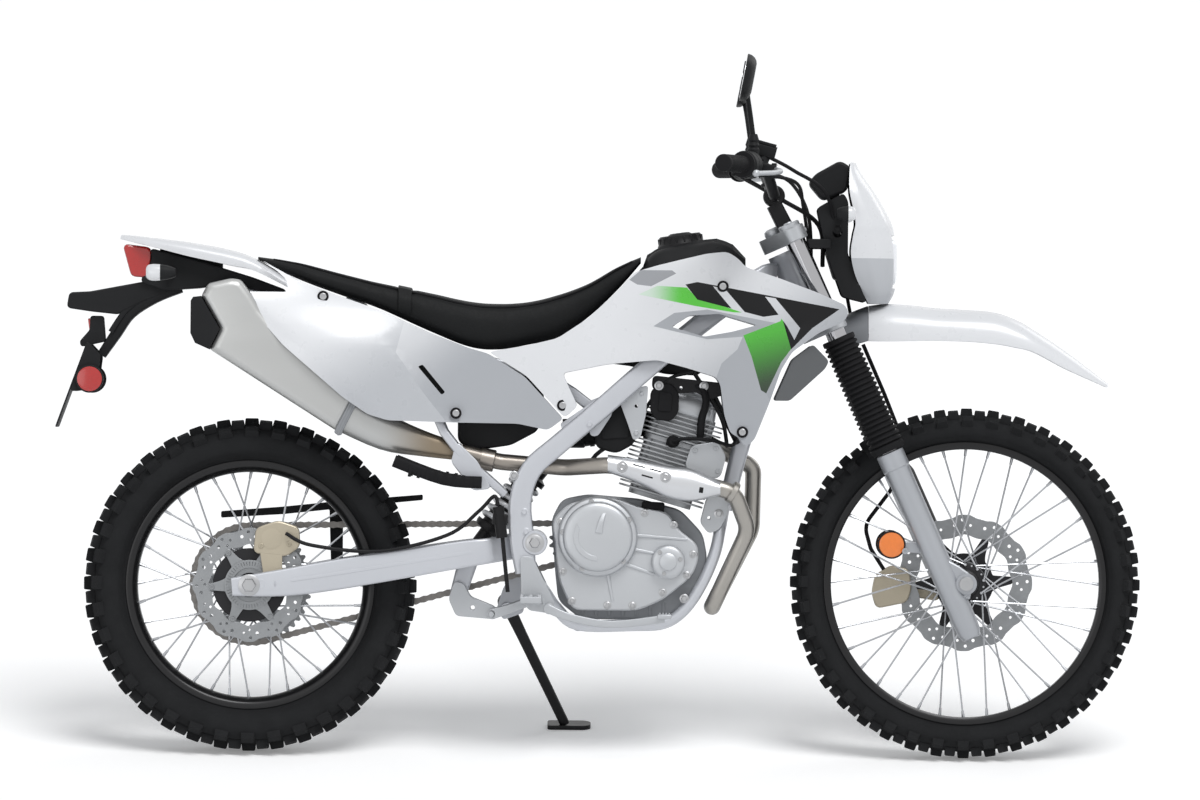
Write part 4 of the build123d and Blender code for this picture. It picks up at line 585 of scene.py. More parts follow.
def woven(lines: Sequence[Sequence[Vector]], spans: int) -> list[list[Vector]]:
    """Grid of points, from lines of equal size joined across by smooth lines."""
    columns = [spline([line[j] for line in lines], spans) for j in range(len(lines[0]))]
    return [[column[i] for column in columns] for i in range(len(columns[0]))]


def shell(grid: Sequence[Sequence[Vector]], thickness: float) -> MeshData:
    """Thin closed shell from a grid of outer points, thickened against the grid's normals."""
    rows, size = len(grid), len(grid[0])
    outer = [p for row in grid for p in row]
    inner = []
    for i in range(rows):
        for j in range(size):
            along = grid[min(i + 1, rows - 1)][j] - grid[max(i - 1, 0)][j]
            across = grid[i][min(j + 1, size - 1)] - grid[i][max(j - 1, 0)]
            normal = along.cross(across)
            inner.append(grid[i][j] - normal.normalized() * thickness)
    count = len(outer)
    faces = ring_faces(rows, size, False, False)
    faces += [tuple(i + count for i in reversed(face)) for face in faces]
    last = rows - 1
    edge = [*range(size), *(i * size + size - 1 for i in range(1, rows)),
            *(last * size + j for j in range(size - 2, -1, -1)), *(i * size for i in range(last - 1, 0, -1))]
    for a, b in zip(edge, edge[1:] + edge[:1]):
        faces.append((a, b, b + count, a + count))
    return outer + inner, faces


def pillow(outline: Sequence[Flat], low: float, high: float, edge: float, corner: float, steps: int = 5) -> MeshData:
    """Solid with a clockwise (x, z) outline, its corners and edges widely rounded, between two values of y."""
    count = len(outline)
    inwards = []
    for i, spot in enumerate(outline):
        before, after = Vector(outline[i - 1]), Vector(outline[(i + 1) % count])
        back, ahead = (Vector(spot) - before).normalized(), (after - Vector(spot)).normalized()
        first, second = Vector((back.y, -back.x)), Vector((ahead.y, -ahead.x))
        middle = (first + second).normalized()
        inwards.append(middle / max(middle.dot(first), 0.5))
    turns = [math.pi / 2 * k / steps for k in range(steps + 1)]
    levels = [(low + edge * (1 - math.sin(a)), edge * (1 - math.cos(a))) for a in reversed(turns)]
    levels += [(high - edge * (1 - math.sin(a)), edge * (1 - math.cos(a))) for a in turns]
    rings = []
    for y, inset in levels:
        ring = [(p[0] + way.x * inset, p[1] + way.y * inset) for p, way in zip(outline, inwards)]
        rings.append([Vector((u, y, v)) for u, v in rounded(ring, corner, 3)])
    return loft(rings)


def bolt(centre: Point | Vector, axis: Point | Vector, radius: float, height: float = 5.0,
         washer: bool = True) -> MeshData:
    """Flanged hexagon bolt head that rises from a point along an axis."""
    rings = []
    for level, share in ((0.0, 1.0), (height * 0.75, 1.0), (height, 0.82)):
        rings.append([Vector((*polar(radius * share, TURN * i / 6), level)) for i in range(6)])
    parts = [loft(rings)]
    if washer:
        flange = [(0.0, 0.05), (0.0, radius * 1.45), (height * 0.12, radius * 1.45), (height * 0.3, radius * 1.1),
                  (height * 0.3, 0.05)]
        parts.append(turned(flange, (0, 0, -0.2), UP, 20))
    return moved(merged(*parts), Matrix.Translation(centre) @ turn_onto(UP, axis))


def cap_screw(centre: Point, axis: Point, radius: float, height: float = 5.0) -> MeshData:
    """Round screw head with a sunk hexagon socket."""
    profile = [(-0.3, 0.05), (-0.3, radius), (height * 0.8, radius), (height, radius * 0.85), (height, radius * 0.5),
               (height * 0.45, radius * 0.48), (height * 0.45, 0.05)]
    return turned(profile, centre, axis, 18)


# ---------------------------------------------------------------- the workshop
@dataclass
class Workshop:
    """Turns mesh data into finished pieces that ride on the frame's bodies.

    Args:
        place: Carries the upright machine, in metres, to where the parked frame stands.
    """

    place: Matrix
    count: int = 0

    @classmethod
    def on(cls) -> "Workshop":
        """Find where the frame stands from its rear axle and its lean."""
        low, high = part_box("rear_axle")
        axle = (low + high) / 2
        lean = Matrix.Rotation(-LEAN, 4, "X")
        upright = Vector((0, 0, REAR_AXLE_Z * MM))
        return cls(Matrix.Translation(axle - lean @ upright) @ lean)

    def piece(self, name: str, data: MeshData, finish: Finish | Sequence[Finish], body: Body,
              replaces: Sequence[str] = (), angle: float = 32.0, picks: Sequence[int] | None = None,
              recalculate: bool = True) -> bpy.types.Object:
        """Make one piece.

        Args:
            name: Name of the piece.
            data: Its mesh in millimetres of the upright machine.
            finish: Its finish, or several that faces pick from.
            body: Body that it rides on.
            replaces: CAD nodes that it stands for.
            angle: Edges sharper than this, in degrees, stay crisp.
            picks: Number of the finish for each face.
            recalculate: Whether the faces are turned outwards.

        Returns:
            The object.
        """
        mesh = bpy.data.meshes.new(name)
        mesh.from_pydata([v * MM for v in data[0]], [], data[1])
        finishes = [finish] if isinstance(finish, Finish) else list(finish)
        for item in finishes:
            mesh.materials.append(item.material())
        if picks is not None:
            mesh.polygons.foreach_set("material_index", list(picks))
        if recalculate:
            made = bmesh.new()
            made.from_mesh(mesh)
            bmesh.ops.recalc_face_normals(made, faces=made.faces)
            made.to_mesh(mesh)
            made.free()
        mesh.shade_smooth()
        mesh.set_sharp_from_angle(angle=math.radians(angle))
        obj = bpy.data.objects.new(name, mesh)
        bpy.context.scene.collection.objects.link(obj)
        obj.matrix_world = self.place
        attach(obj, body.value)
        if replaces:
            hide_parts(*replaces)
        self.count += 1
        LOG.info("piece %s: %d faces on %s", name, len(mesh.polygons), body.value)
        return obj

    def pieces(self, body: Body, *rows: tuple) -> None:
        """Make plain pieces on one body.

        Args:
            body: Body that they ride on.
            rows: Name, mesh data and finish of each piece, then the CAD nodes that it stands for.
        """
        for name, data, finish, *nodes in rows:
            self.piece(name, data, finish, body, nodes)

    def dress(self, frame: dict, node: str, finish: Finish, edge: float = 0.0) -> None:
        """Give a CAD node that stays its finish, and break its edges if asked."""
        obj = frame["nodes"][node]
        obj.data.materials.clear()
        obj.data.materials.append(finish.material())
        obj.data.shade_smooth()
        obj.data.set_sharp_from_angle(angle=math.radians(CREASE))
        if edge > 0:
            bevel = obj.modifiers.new("edges", "BEVEL")
            bevel.width = edge * MM
            bevel.segments = 2
            bevel.limit_method = "ANGLE"
            bevel.angle_limit = math.radians(RIDGE)
            bevel.harden_normals = False
        LOG.info("node %s keeps its shape, finished as %s", node, finish.name)


def fork_point(ahead: float, across: float, height: float) -> Vector:
    """Point given ahead of the steering axis, to the left, and up along it from the axle's level."""
    base = Vector((WHEELBASE - FORK_OFFSET * math.cos(RAKE), 0, FRONT_AXLE_Z - FORK_OFFSET * math.sin(RAKE)))
    forward = Vector((math.cos(RAKE), 0, math.sin(RAKE)))
    upward = Vector((-math.sin(RAKE), 0, math.cos(RAKE)))
    return base + forward * ahead + Vector((0, across, 0)) + upward * height


def pitch_radius(teeth: int) -> float:
    """Pitch radius of a chain wheel."""
    return CHAIN_PITCH / (2 * math.sin(math.pi / teeth))


def toothed(teeth: int, form: Sequence[Flat]) -> list[Flat]:
    """Outline of a chain wheel.

    Args:
        teeth: Number of teeth.
        form: Points of one tooth: share of the pitch, and distance beyond the pitch circle.

    Returns:
        The closed outline.
    """
    radius = pitch_radius(teeth)
    return [polar(radius + reach, TURN * (tooth + phase) / teeth) for tooth in range(teeth) for phase, reach in form]


FORK_FOOT = fork_point(0, 0, 0)
FORK_AXIS = fork_point(0, 0, 1) - FORK_FOOT


# ---------------------------------------------------------------- wheels
@dataclass(frozen=True)
class LugRow:
    """One ring of tread blocks.

    Args:
        across: Distance of the blocks' middle from the tyre's middle.
        tilt: Lean of a block's top outwards, in degrees.
        width: Size across the tread.
        length: Size along the tread.
        phase: Shift along the ring, as a share of the pitch.
    """

    across: float
    tilt: float
    width: float
    length: float
    phase: float


@dataclass
class Tyre:
    """Block-tread tyre on its rim."""

    name: str
    body: Body
    hub: Flat
    tip_r: float
    half: float
    rim_r: float
    rim_half: float
    pitches: int
    height: float
    rows: Sequence[LugRow]

    def crown(self, across: float) -> float:
        """Radius of the bare tread at a distance from the middle."""
        share = min(abs(across) / self.half, 1.0)
        return self.tip_r - self.height - 24.0 * share ** 2.4

    def carcass(self) -> MeshData:
        """Rounded casing with a bead line and a rim protector on each wall."""
        edge = self.half - 5
        tread = [(edge * t, self.crown(edge * t)) for t in (0, 0.2, 0.4, 0.6, 0.75, 0.87, 1.0)]
        shoulder = self.crown(edge)
        depth = shoulder - self.rim_r
        wall = [
            (self.half - 2, shoulder - depth * 0.12), (self.half - 0.5, shoulder - depth * 0.3),
            (self.half - 1.5, shoulder - depth * 0.5), (self.half - 4.5, shoulder - depth * 0.68),
            (self.half - 5.5, shoulder - depth * 0.7), (self.rim_half + (self.half - self.rim_half) * 0.4,
                                                         shoulder - depth * 0.86),
            (self.rim_half + 1.5, self.rim_r + 5.5), (self.rim_half - 1.0, self.rim_r + 4.0),
            (self.rim_half - 2.5, self.rim_r + 1.0), (self.rim_half - 4.4, self.rim_r - 4.0),
        ]
        half = tread + wall
        profile = half + [(-y, r) for y, r in reversed(half[1:])]
        return lathe(profile, 144)

    def lug(self, row: LugRow, angle: float, side: int) -> MeshData:
        """One tapered block with broken top edges."""
        base_r = self.crown(row.across) - 2.5
        tilt = math.radians(row.tilt) * side
        normal = Vector((0, math.sin(tilt), math.cos(tilt)))
        aside = Vector((0, math.cos(tilt), -math.sin(tilt)))
        along = Vector(AHEAD)
        start = Vector((0, row.across * side, base_r))
        height = self.height + 2.5
        rings = []
        for level, share in ((0.0, 1.12), (height - 1.2, 0.98), (height, 0.86)):
            half_w, half_l = row.width / 2 * share, row.length / 2 * share
            centre = start + normal * level
            rings.append([centre + aside * (half_w * u) + along * (half_l * v)
                          for u, v in ((-1, -1), (1, -1), (1, 1), (-1, 1))])
        return moved(loft(rings), Matrix.Rotation(angle, 4, "Y"))

    def lugs(self) -> MeshData:
        """Every tread block."""
        parts = []
        for row in self.rows:
            sides = (1, -1) if row.across > 0 else (1,)
            for step in range(self.pitches):
                for side in sides:
                    parts.append(self.lug(row, TURN * (step + row.phase) / self.pitches, side))
        return merged(*parts)

    def build(self, shop: Workshop) -> None:
        """Make the tyre."""
        data = shifted(merged(self.carcass(), self.lugs()), self.hub[0], 0, self.hub[1])
        shop.piece(f"{self.name}_tyre_blocks", data, TYRE_RUBBER, self.body, (f"{self.name}_tyre",), angle=38)


@dataclass
class Wheel:
    """Wire wheel: rim, laced spokes with nipples, hub, brake disc and what is bolted to it."""

    name: str
    body: Body
    hub: Flat
    rim_r: float
    rim_inner: float
    rim_half: float
    flange_r: float
    flange_y: float
    disc_y: float
    disc_r: float
    band_r: float
    lobes: int
    spokes: int = 36
    spoke_r: float = 1.75

    def rim(self) -> MeshData:
        """Rim with rolled flanges, a drop centre and a valve."""
        seat = self.rim_r - 7.0
        half = [(0, seat - 5), (self.rim_half * 0.45, seat - 5), (self.rim_half - 6, seat),
                (self.rim_half - 3.4, self.rim_r - 2), (self.rim_half - 2.4, self.rim_r),
                (self.rim_half - 0.6, self.rim_r), (self.rim_half, self.rim_r - 1.4),
                (self.rim_half - 0.8, seat - 3), (self.rim_half - 3, seat - 7),
                (self.rim_half * 0.5, self.rim_inner + 1.2), (self.rim_half * 0.3, self.rim_inner)]
        profile = half + [(-y, r) for y, r in reversed(half[1:])]
        return lathe(profile, 144)

    def lacing(self) -> MeshData:
        """Spokes with their elbows and nipples."""
        parts = []
        step = TURN / (self.spokes // 2)
        for side in (1, -1):
            for index in range(self.spokes // 2):
                leading = index % 2 == 0
                turn = math.radians(60.0) * (1 if leading else -1)
                hub_angle = step * index + (step / 2 if side < 0 else 0)
                hub_y = side * (self.flange_y + (5.2 if leading else -5.2))
                start_r, end_r = self.flange_r - 4, self.rim_inner + 3
                rim_y = side * (7 if leading else 2)
                a = Vector((start_r * math.cos(hub_angle), hub_y, start_r * math.sin(hub_angle)))
                b = Vector((end_r * math.cos(hub_angle + turn), rim_y, end_r * math.sin(hub_angle + turn)))
                line = (b - a).normalized()
                parts.append(tube([a, b - line * 12], self.spoke_r, 8))
                parts.append(tube([b - line * 16, b - line * 2, b], [2.6, 3.2, 3.2], 8))
                inward = Vector((a.x, self.flange_y * side - (a.y - self.flange_y * side) * 0.9, a.z))
                parts.append(tube([a, inward], [self.spoke_r * 1.1, self.spoke_r * 1.1], 8))
                parts.append(tube([a - Vector((0, side * (-1 if leading else 1) * 0.2, 0)),
                                   a + Vector((0, side * (1.6 if leading else -1.6), 0))], [3.2, 2.4], 8))
        return merged(*parts)

    def petal(self) -> MeshData:
        """Wavy brake disc with its drilled band."""
        outline, inner, drilled = [], [], []
        wave_out, wave_in = 2.6, 2.2
        steps = self.lobes * 12
        for index in range(steps):
            angle = TURN * index / steps
            wave = math.cos(self.lobes * angle)
            outline.append(polar(self.disc_r - wave_out + wave_out * math.tanh(2.2 * wave), angle))
            inner.append(polar(self.band_r + wave_in * wave, angle))
        width = self.disc_r - self.band_r
        for index in range(self.lobes):
            for share, turn, size in ((0.28, 0.0, 3.0), (0.52, 0.32, 3.6), (0.5, -0.2, 3.0), (0.76, 0.06, 3.4)):
                angle = TURN * (index + turn) / self.lobes
                drilled.append(circle(*polar(self.band_r + width * share, angle), size, 12))
        return plate(outline, self.disc_y - 2, self.disc_y + 2, [inner, *drilled], edge=0.3)

    def carrier(self, arms: int, centre_r: float) -> MeshData:
        """Spoked disc carrier with bolts to the hub and to the band."""
        arm = (self.band_r + 3, self.band_r + 3, *[self.band_r * 0.62] * 5, self.band_r * 0.72)
        outline = [polar(arm[index % 8], TURN * index / (arms * 8)) for index in range(arms * 8)]
        out = 1 if self.disc_y > 0 else -1
        low, high = sorted((self.disc_y - out * 1.2, self.disc_y + out * 2.9))
        parts = [plate(rounded(outline, 5, 3), low, high, [circle(0, 0, centre_r, 40)], edge=0.5)]
        for index in range(arms):
            angle = TURN * (index + 0.07) / arms
            for reach, size in ((self.band_r - 4, 5.0), (self.band_r * 0.52, 5.4)):
                x, z = polar(reach, angle)
                parts.append(cap_screw((x, self.disc_y + out * 2.6, z), (0, out, 0), size, 4.0))
        return merged(*parts)

    def place(self, data: MeshData) -> MeshData:
        """Move mesh data from the axle to the wheel's hub."""
        return shifted(data, self.hub[0], 0, self.hub[1])

    def build(self, shop: Workshop) -> None:
        """Make the wheel's common pieces."""
        shop.pieces(self.body,
                    (f"{self.name}_rim_section", self.place(self.rim()), BLACK_RIM, f"{self.name}_rim"),
                    (f"{self.name}_lacing", self.place(self.lacing()), SPOKE_STEEL, f"{self.name}_spokes"),
                    (f"{self.name}_petal_disc", self.place(self.petal()), DISC_STEEL, f"{self.name}_disc"))


@dataclass
class FrontWheel(Wheel):
    """Front wheel with its narrow black hub and the disc on the left."""

    def hub_shell(self) -> MeshData:
        """Hub barrel with drilled flanges and bearing seals."""
        half = [(-58, 9), (-58, 19), (-52, 20), (-50, 25), (-30, 28), (-29, self.flange_r - 3),
                (-28, self.flange_r), (-24, self.flange_r), (-23, self.flange_r - 3), (-21, 30), (-12, 25), (12, 25),
                (21, 30), (23, self.flange_r - 3), (24, self.flange_r), (28, self.flange_r),
                (29, self.flange_r - 3), (31, 34), (57, 32), (57.6, 18), (57.8, 9)]
        return lathe(half, 72)

    def build(self, shop: Workshop) -> None:
        """Make the front wheel."""
        super().build(shop)
        shop.pieces(self.body,
                    ("front_hub_shell", self.place(self.hub_shell()), BLACK_HUB, "front_hub"),
                    ("front_disc_carrier", self.place(self.carrier(6, 21)), BLACK_HUB))
        ring = [circle(0, 0, 33, 64)]
        slots = [circle(*polar(38.5, TURN * i / 40), 1.7, 6) for i in range(40)]
        sensor = plate(circle(0, 0, 42, 80), 50.5, 52.5, ring + slots, edge=0.2)
        shop.piece("front_speed_ring", self.place(sensor), DISC_STEEL, self.body)


@dataclass
class RearWheel(Wheel):
    """Rear wheel with the disc and speed ring on the right and the chain wheel on the left."""

    def hub_shell(self) -> MeshData:
        """Hub barrel with a cush-drive drum on the left."""
        half = [(-65.8, 10), (-65.8, 33), (-60, 34), (-56, 30), (-36, 33), (-34, self.flange_r - 3),
                (-33, self.flange_r), (-28, self.flange_r), (-27, self.flange_r - 3), (-24, 34), (-14, 27), (12, 27),
                (24, 34), (27, self.flange_r - 3), (28, self.flange_r), (33, self.flange_r),
                (34, self.flange_r - 2), (40, 46), (60, 46), (62, 43), (69.4, 43), (69.6, 10)]
        return lathe(half, 72)

    def chain_wheel(self) -> MeshData:
        """Toothed wheel with windows, and its bolts."""
        form = ((0.0, -4.2), (0.16, -3.2), (0.34, 2.6), (0.42, 3.6), (0.58, 3.6), (0.66, 2.6), (0.84, -3.2))
        corners = ((-0.34, 97), (-0.1, 99), (0.1, 99), (0.34, 97), (0.22, 66), (0, 63), (-0.22, 66))
        windows = [circle(0, 0, 34, 40)]
        for index in range(6):
            middle = TURN * (index + 0.5) / 6
            windows.append(rounded([polar(reach, middle + turn) for turn, reach in corners], 7, 3))
        parts = [plate(toothed(REAR_TEETH, form), CHAIN_Y - 3, CHAIN_Y + 3, windows, edge=0.4)]
        for index in range(6):
            x, z = polar(50, TURN * index / 6)
            parts.append(bolt((x, CHAIN_Y + 2.8, z), LEFT, 6.5, 6))
        return merged(*parts)

    def speed_ring(self) -> MeshData:
        """Slotted ring of the wheel-speed sensor."""
        count, middle_r = 48, 41
        corners = ((-4, -0.022), (4, -0.022), (4, 0.022), (-4, 0.022))
        slots = [[polar(middle_r + out, TURN * index / count + turn) for out, turn in corners]
                 for index in range(count)]
        return plate(circle(0, 0, 48, 96), -74.5, -72.2, [circle(0, 0, 33, 64), *slots], edge=0.2)

    def build(self, shop: Workshop) -> None:
        """Make the rear wheel."""
        super().build(shop)
        shop.pieces(self.body,
                    ("rear_hub_shell", self.place(self.hub_shell()), BLACK_HUB, "rear_hub"),
                    ("rear_chain_wheel", self.place(self.chain_wheel()), DISC_STEEL, "rear_sprocket"),
                    ("rear_disc_carrier", self.place(self.carrier(6, 24)), DISC_STEEL),
                    ("rear_disc_flange", self.place(drum(0, 0, 71, -66.5, -64.5, bore=22)), BLACK_HUB),
                    ("rear_speed_ring", self.place(self.speed_ring()), DISC_STEEL))


# ---------------------------------------------------------------- fork
@dataclass
class Fork:
    """Telescopic fork: clamps, chromed tubes, rubber boots, lower legs, guard and axle."""

    leg_y: float = 95.0
    leg_ahead: float = 30.0
    tube_r: float = 18.5

    def along(self, profile: Sequence[Flat], segments: int = 40) -> MeshData:
        """Pair of turned pieces on both legs, from (height, radius) points."""
        start = fork_point(self.leg_ahead, self.leg_y, 0)
        axis = fork_point(self.leg_ahead, self.leg_y, 1) - start
        return both(turned(profile, start, axis, segments))

    def boots(self) -> MeshData:
        """Bellows, narrowing a little upwards."""
        outer: list[Flat] = [(293, 19.5), (293, 31), (300, 34), (306, 34)]
        folds, low, high = 21, 308.0, 522.0
        for index in range(folds):
            base = low + (high - low) * index / folds
            step = (high - low) / folds
            out = 34.0 - 2.5 * index / folds
            outer += [(base, out - 4.5), (base + step * 0.28, out), (base + step * 0.6, out),
                      (base + step * 0.9, out - 4.5)]
        outer += [(high, 28), (high + 2, 31), (531, 31), (533, 29), (533, 19.5)]
        return self.along(outer, 40)

    def lowers(self) -> MeshData:
        """Lower legs, with a stepped top under the boot and a closed foot."""
        profile = [(-101, 0.1), (-101, 15), (-99, 18), (-88, 22.5), (-60, 24), (100, 24.4), (255, 24.8), (258, 27),
                   (290, 27), (292, 25), (292, 0.1)]
        legs = self.along(profile, 48)
        x, z = WHEELBASE, FRONT_AXLE_Z
        boss = drum(x, z, 20.5, 74, 116, bore=8.4, edge=1.5, segments=36)
        web = slab([(x - 42, z + 46), (x - 17, z + 33), (x + 6, z + 17), (x + 4, z - 18), (x - 15, z - 34),
                    (x - 20, z - 47)], 6, 80, 110, edge=3)
        pinch = block((x - 4, 95, z - 21), (26, 26, 14), 3, 10)
        tab = slab([(1226, 404), (1300, 398), (1300, 416), (1226, 422)], 4, 88, 92)
        screws = merged(cap_screw((x - 4, 108.5, z - 21), LEFT, 4.5, 3), cap_screw((1262, 108, 402), LEFT, 6, 4))
        return merged(legs, both(merged(boss, web, pinch, tab, screws)))

    def clamps(self) -> MeshData:
        """Upper and lower clamps with their pinch bolts, and the stem's nut."""
        parts = []
        ahead, y = self.leg_ahead, self.leg_y
        for low, high in ((548.0, 580.0), (736.0, 764.0)):
            rings = []
            for level, grow in ((low, -2.0), (low + 2, 0.0), (high - 2, 0.0), (high, -2.0)):
                shape = rounded([
                    (-34, -28), (-22, -44), (ahead - 10, -y - 28 - grow), (ahead + 18, -y - 28 - grow),
                    (ahead + 28 + grow, -y), (ahead + 12 + grow, -42), (ahead + 12 + grow, 42),
                    (ahead + 28 + grow, y), (ahead + 18, y + 28 + grow), (ahead - 10, y + 28 + grow),
                    (-22, 44), (-34, 28),
                ], 14, 5)
                rings.append([fork_point(u, v, level) for u, v in shape])
            parts.append(loft(rings))
            for side in (1, -1):
                spot = fork_point(ahead + 24, side * (y - 27), (low + high) / 2)
                parts.append(bolt(spot, fork_point(1, 0, 0) - FORK_FOOT, 6.0, 5))
        cover = turned([(580, 0.1), (580, 30), (590, 31), (590, 0.1)], FORK_FOOT, FORK_AXIS, 36)
        nut = turned([(764, 0.1), (764, 19), (768, 20), (775, 18), (778, 12), (778, 0.1)], FORK_FOOT, FORK_AXIS, 28)
        caps = self.along([(764, 0.1), (764, 21), (771, 21), (773, 19), (773, 9), (775.5, 8), (775.5, 0.1)], 28)
        return merged(*parts, cover, nut, caps)

    def guard(self) -> MeshData:
        """Bent plastic guard in front of the left lower leg."""
        grid = []
        for height in (118, 130, 160, 200, 240, 262, 272):
            wide = 30.0 if height < 250 else 30.0 - (height - 250) * 0.5
            row = []
            for step in range(9):
                angle = math.radians(-62 + 124 * step / 8)
                reach = 33.5 if abs(step - 4) < 3 else 34.5
                row.append(fork_point(self.leg_ahead + reach * math.cos(angle) * (wide / 30),
                                      self.leg_y + reach * math.sin(angle), height))
            grid.append(row)
        return shell(grid, -3.0)

    def axle(self) -> MeshData:
        """Axle with its nut, head and spacers."""
        parts = [drum(WHEELBASE, FRONT_AXLE_Z, 8, -122, 122), drum(WHEELBASE, FRONT_AXLE_Z, 13, 62.5, 73),
                 drum(WHEELBASE, FRONT_AXLE_Z, 13, -73, -58.8)]
        parts.append(bolt((WHEELBASE, 117, FRONT_AXLE_Z), LEFT, 13, 9))
        parts.append(turned([(0, 0.1), (0, 14), (6, 14), (7.5, 12.5), (7.5, 6), (3, 6), (3, 0.1)],
                            (WHEELBASE, -116, FRONT_AXLE_Z), RIGHT, 32))
        return merged(*parts)

    def build(self, shop: Workshop) -> None:
        """Make the fork."""
        tubes = self.along([(292.4, 0.1), (292.4, self.tube_r), (764, self.tube_r), (764, 0.1)], 48)
        shop.piece("fork_inner_tubes", tubes, FORK_CHROME, Body.STEERING, ("fork_tubes",))
        shop.piece("fork_bellows", self.boots(), BLACK_RUBBER, Body.STEERING, ("fork_boots",), angle=50)
        shop.pieces(Body.STEERING,
                    ("fork_lower_legs", self.lowers(), FORK_ALLOY, "fork_lowers"),
                    ("fork_bridges", self.clamps(), CAST_ALLOY, "fork_clamps"),
                    ("fork_leg_guard", self.guard(), BLACK_PLASTIC, "fork_guard"),
                    ("front_axle_set", self.axle(), BOLT_STEEL, "front_axle"))


# ---------------------------------------------------------------- frame and swingarm
def box_run(rows: Sequence[tuple[float, float, float, float, float]], bevel: float = 0.4,
            across: Point | Vector = LEFT, spans: int = 4) -> MeshData:
    """Smooth tube of rounded rectangular section through rows.

    Args:
        rows: Centre x, y and z, half width across and half height of each section.
        bevel: Corner size as a share of the smaller half.
        across: Direction of the width.
        spans: Steps between neighbouring rows.

    Returns:
        Its mesh data.
    """
    centres = spline([row[:3] for row in rows], spans)
    sizes = spline([(row[3], row[4], 0) for row in rows], spans)
    wide = Vector(across)
    rings = []
    for i, (centre, size) in enumerate(zip(centres, sizes)):
        ahead = (centres[min(i + 1, len(centres) - 1)] - centres[max(i - 1, 0)]).normalized()
        side = (wide - ahead * wide.dot(ahead)).normalized()
        up = side.cross(ahead)
        corner = min(size.x, size.y) * bevel
        shape = []
        for sx, sy, first in ((1, 1, 0), (-1, 1, 1), (-1, -1, 2), (1, -1, 3)):
            for step in range(5):
                angle = TURN / 4 * (first + step / 4)
                shape.append((sx * (size.x - corner) + corner * math.cos(angle),
                              sy * (size.y - corner) + corner * math.sin(angle)))
        rings.append([centre + side * u + up * v for u, v in shape])
    return loft(rings)


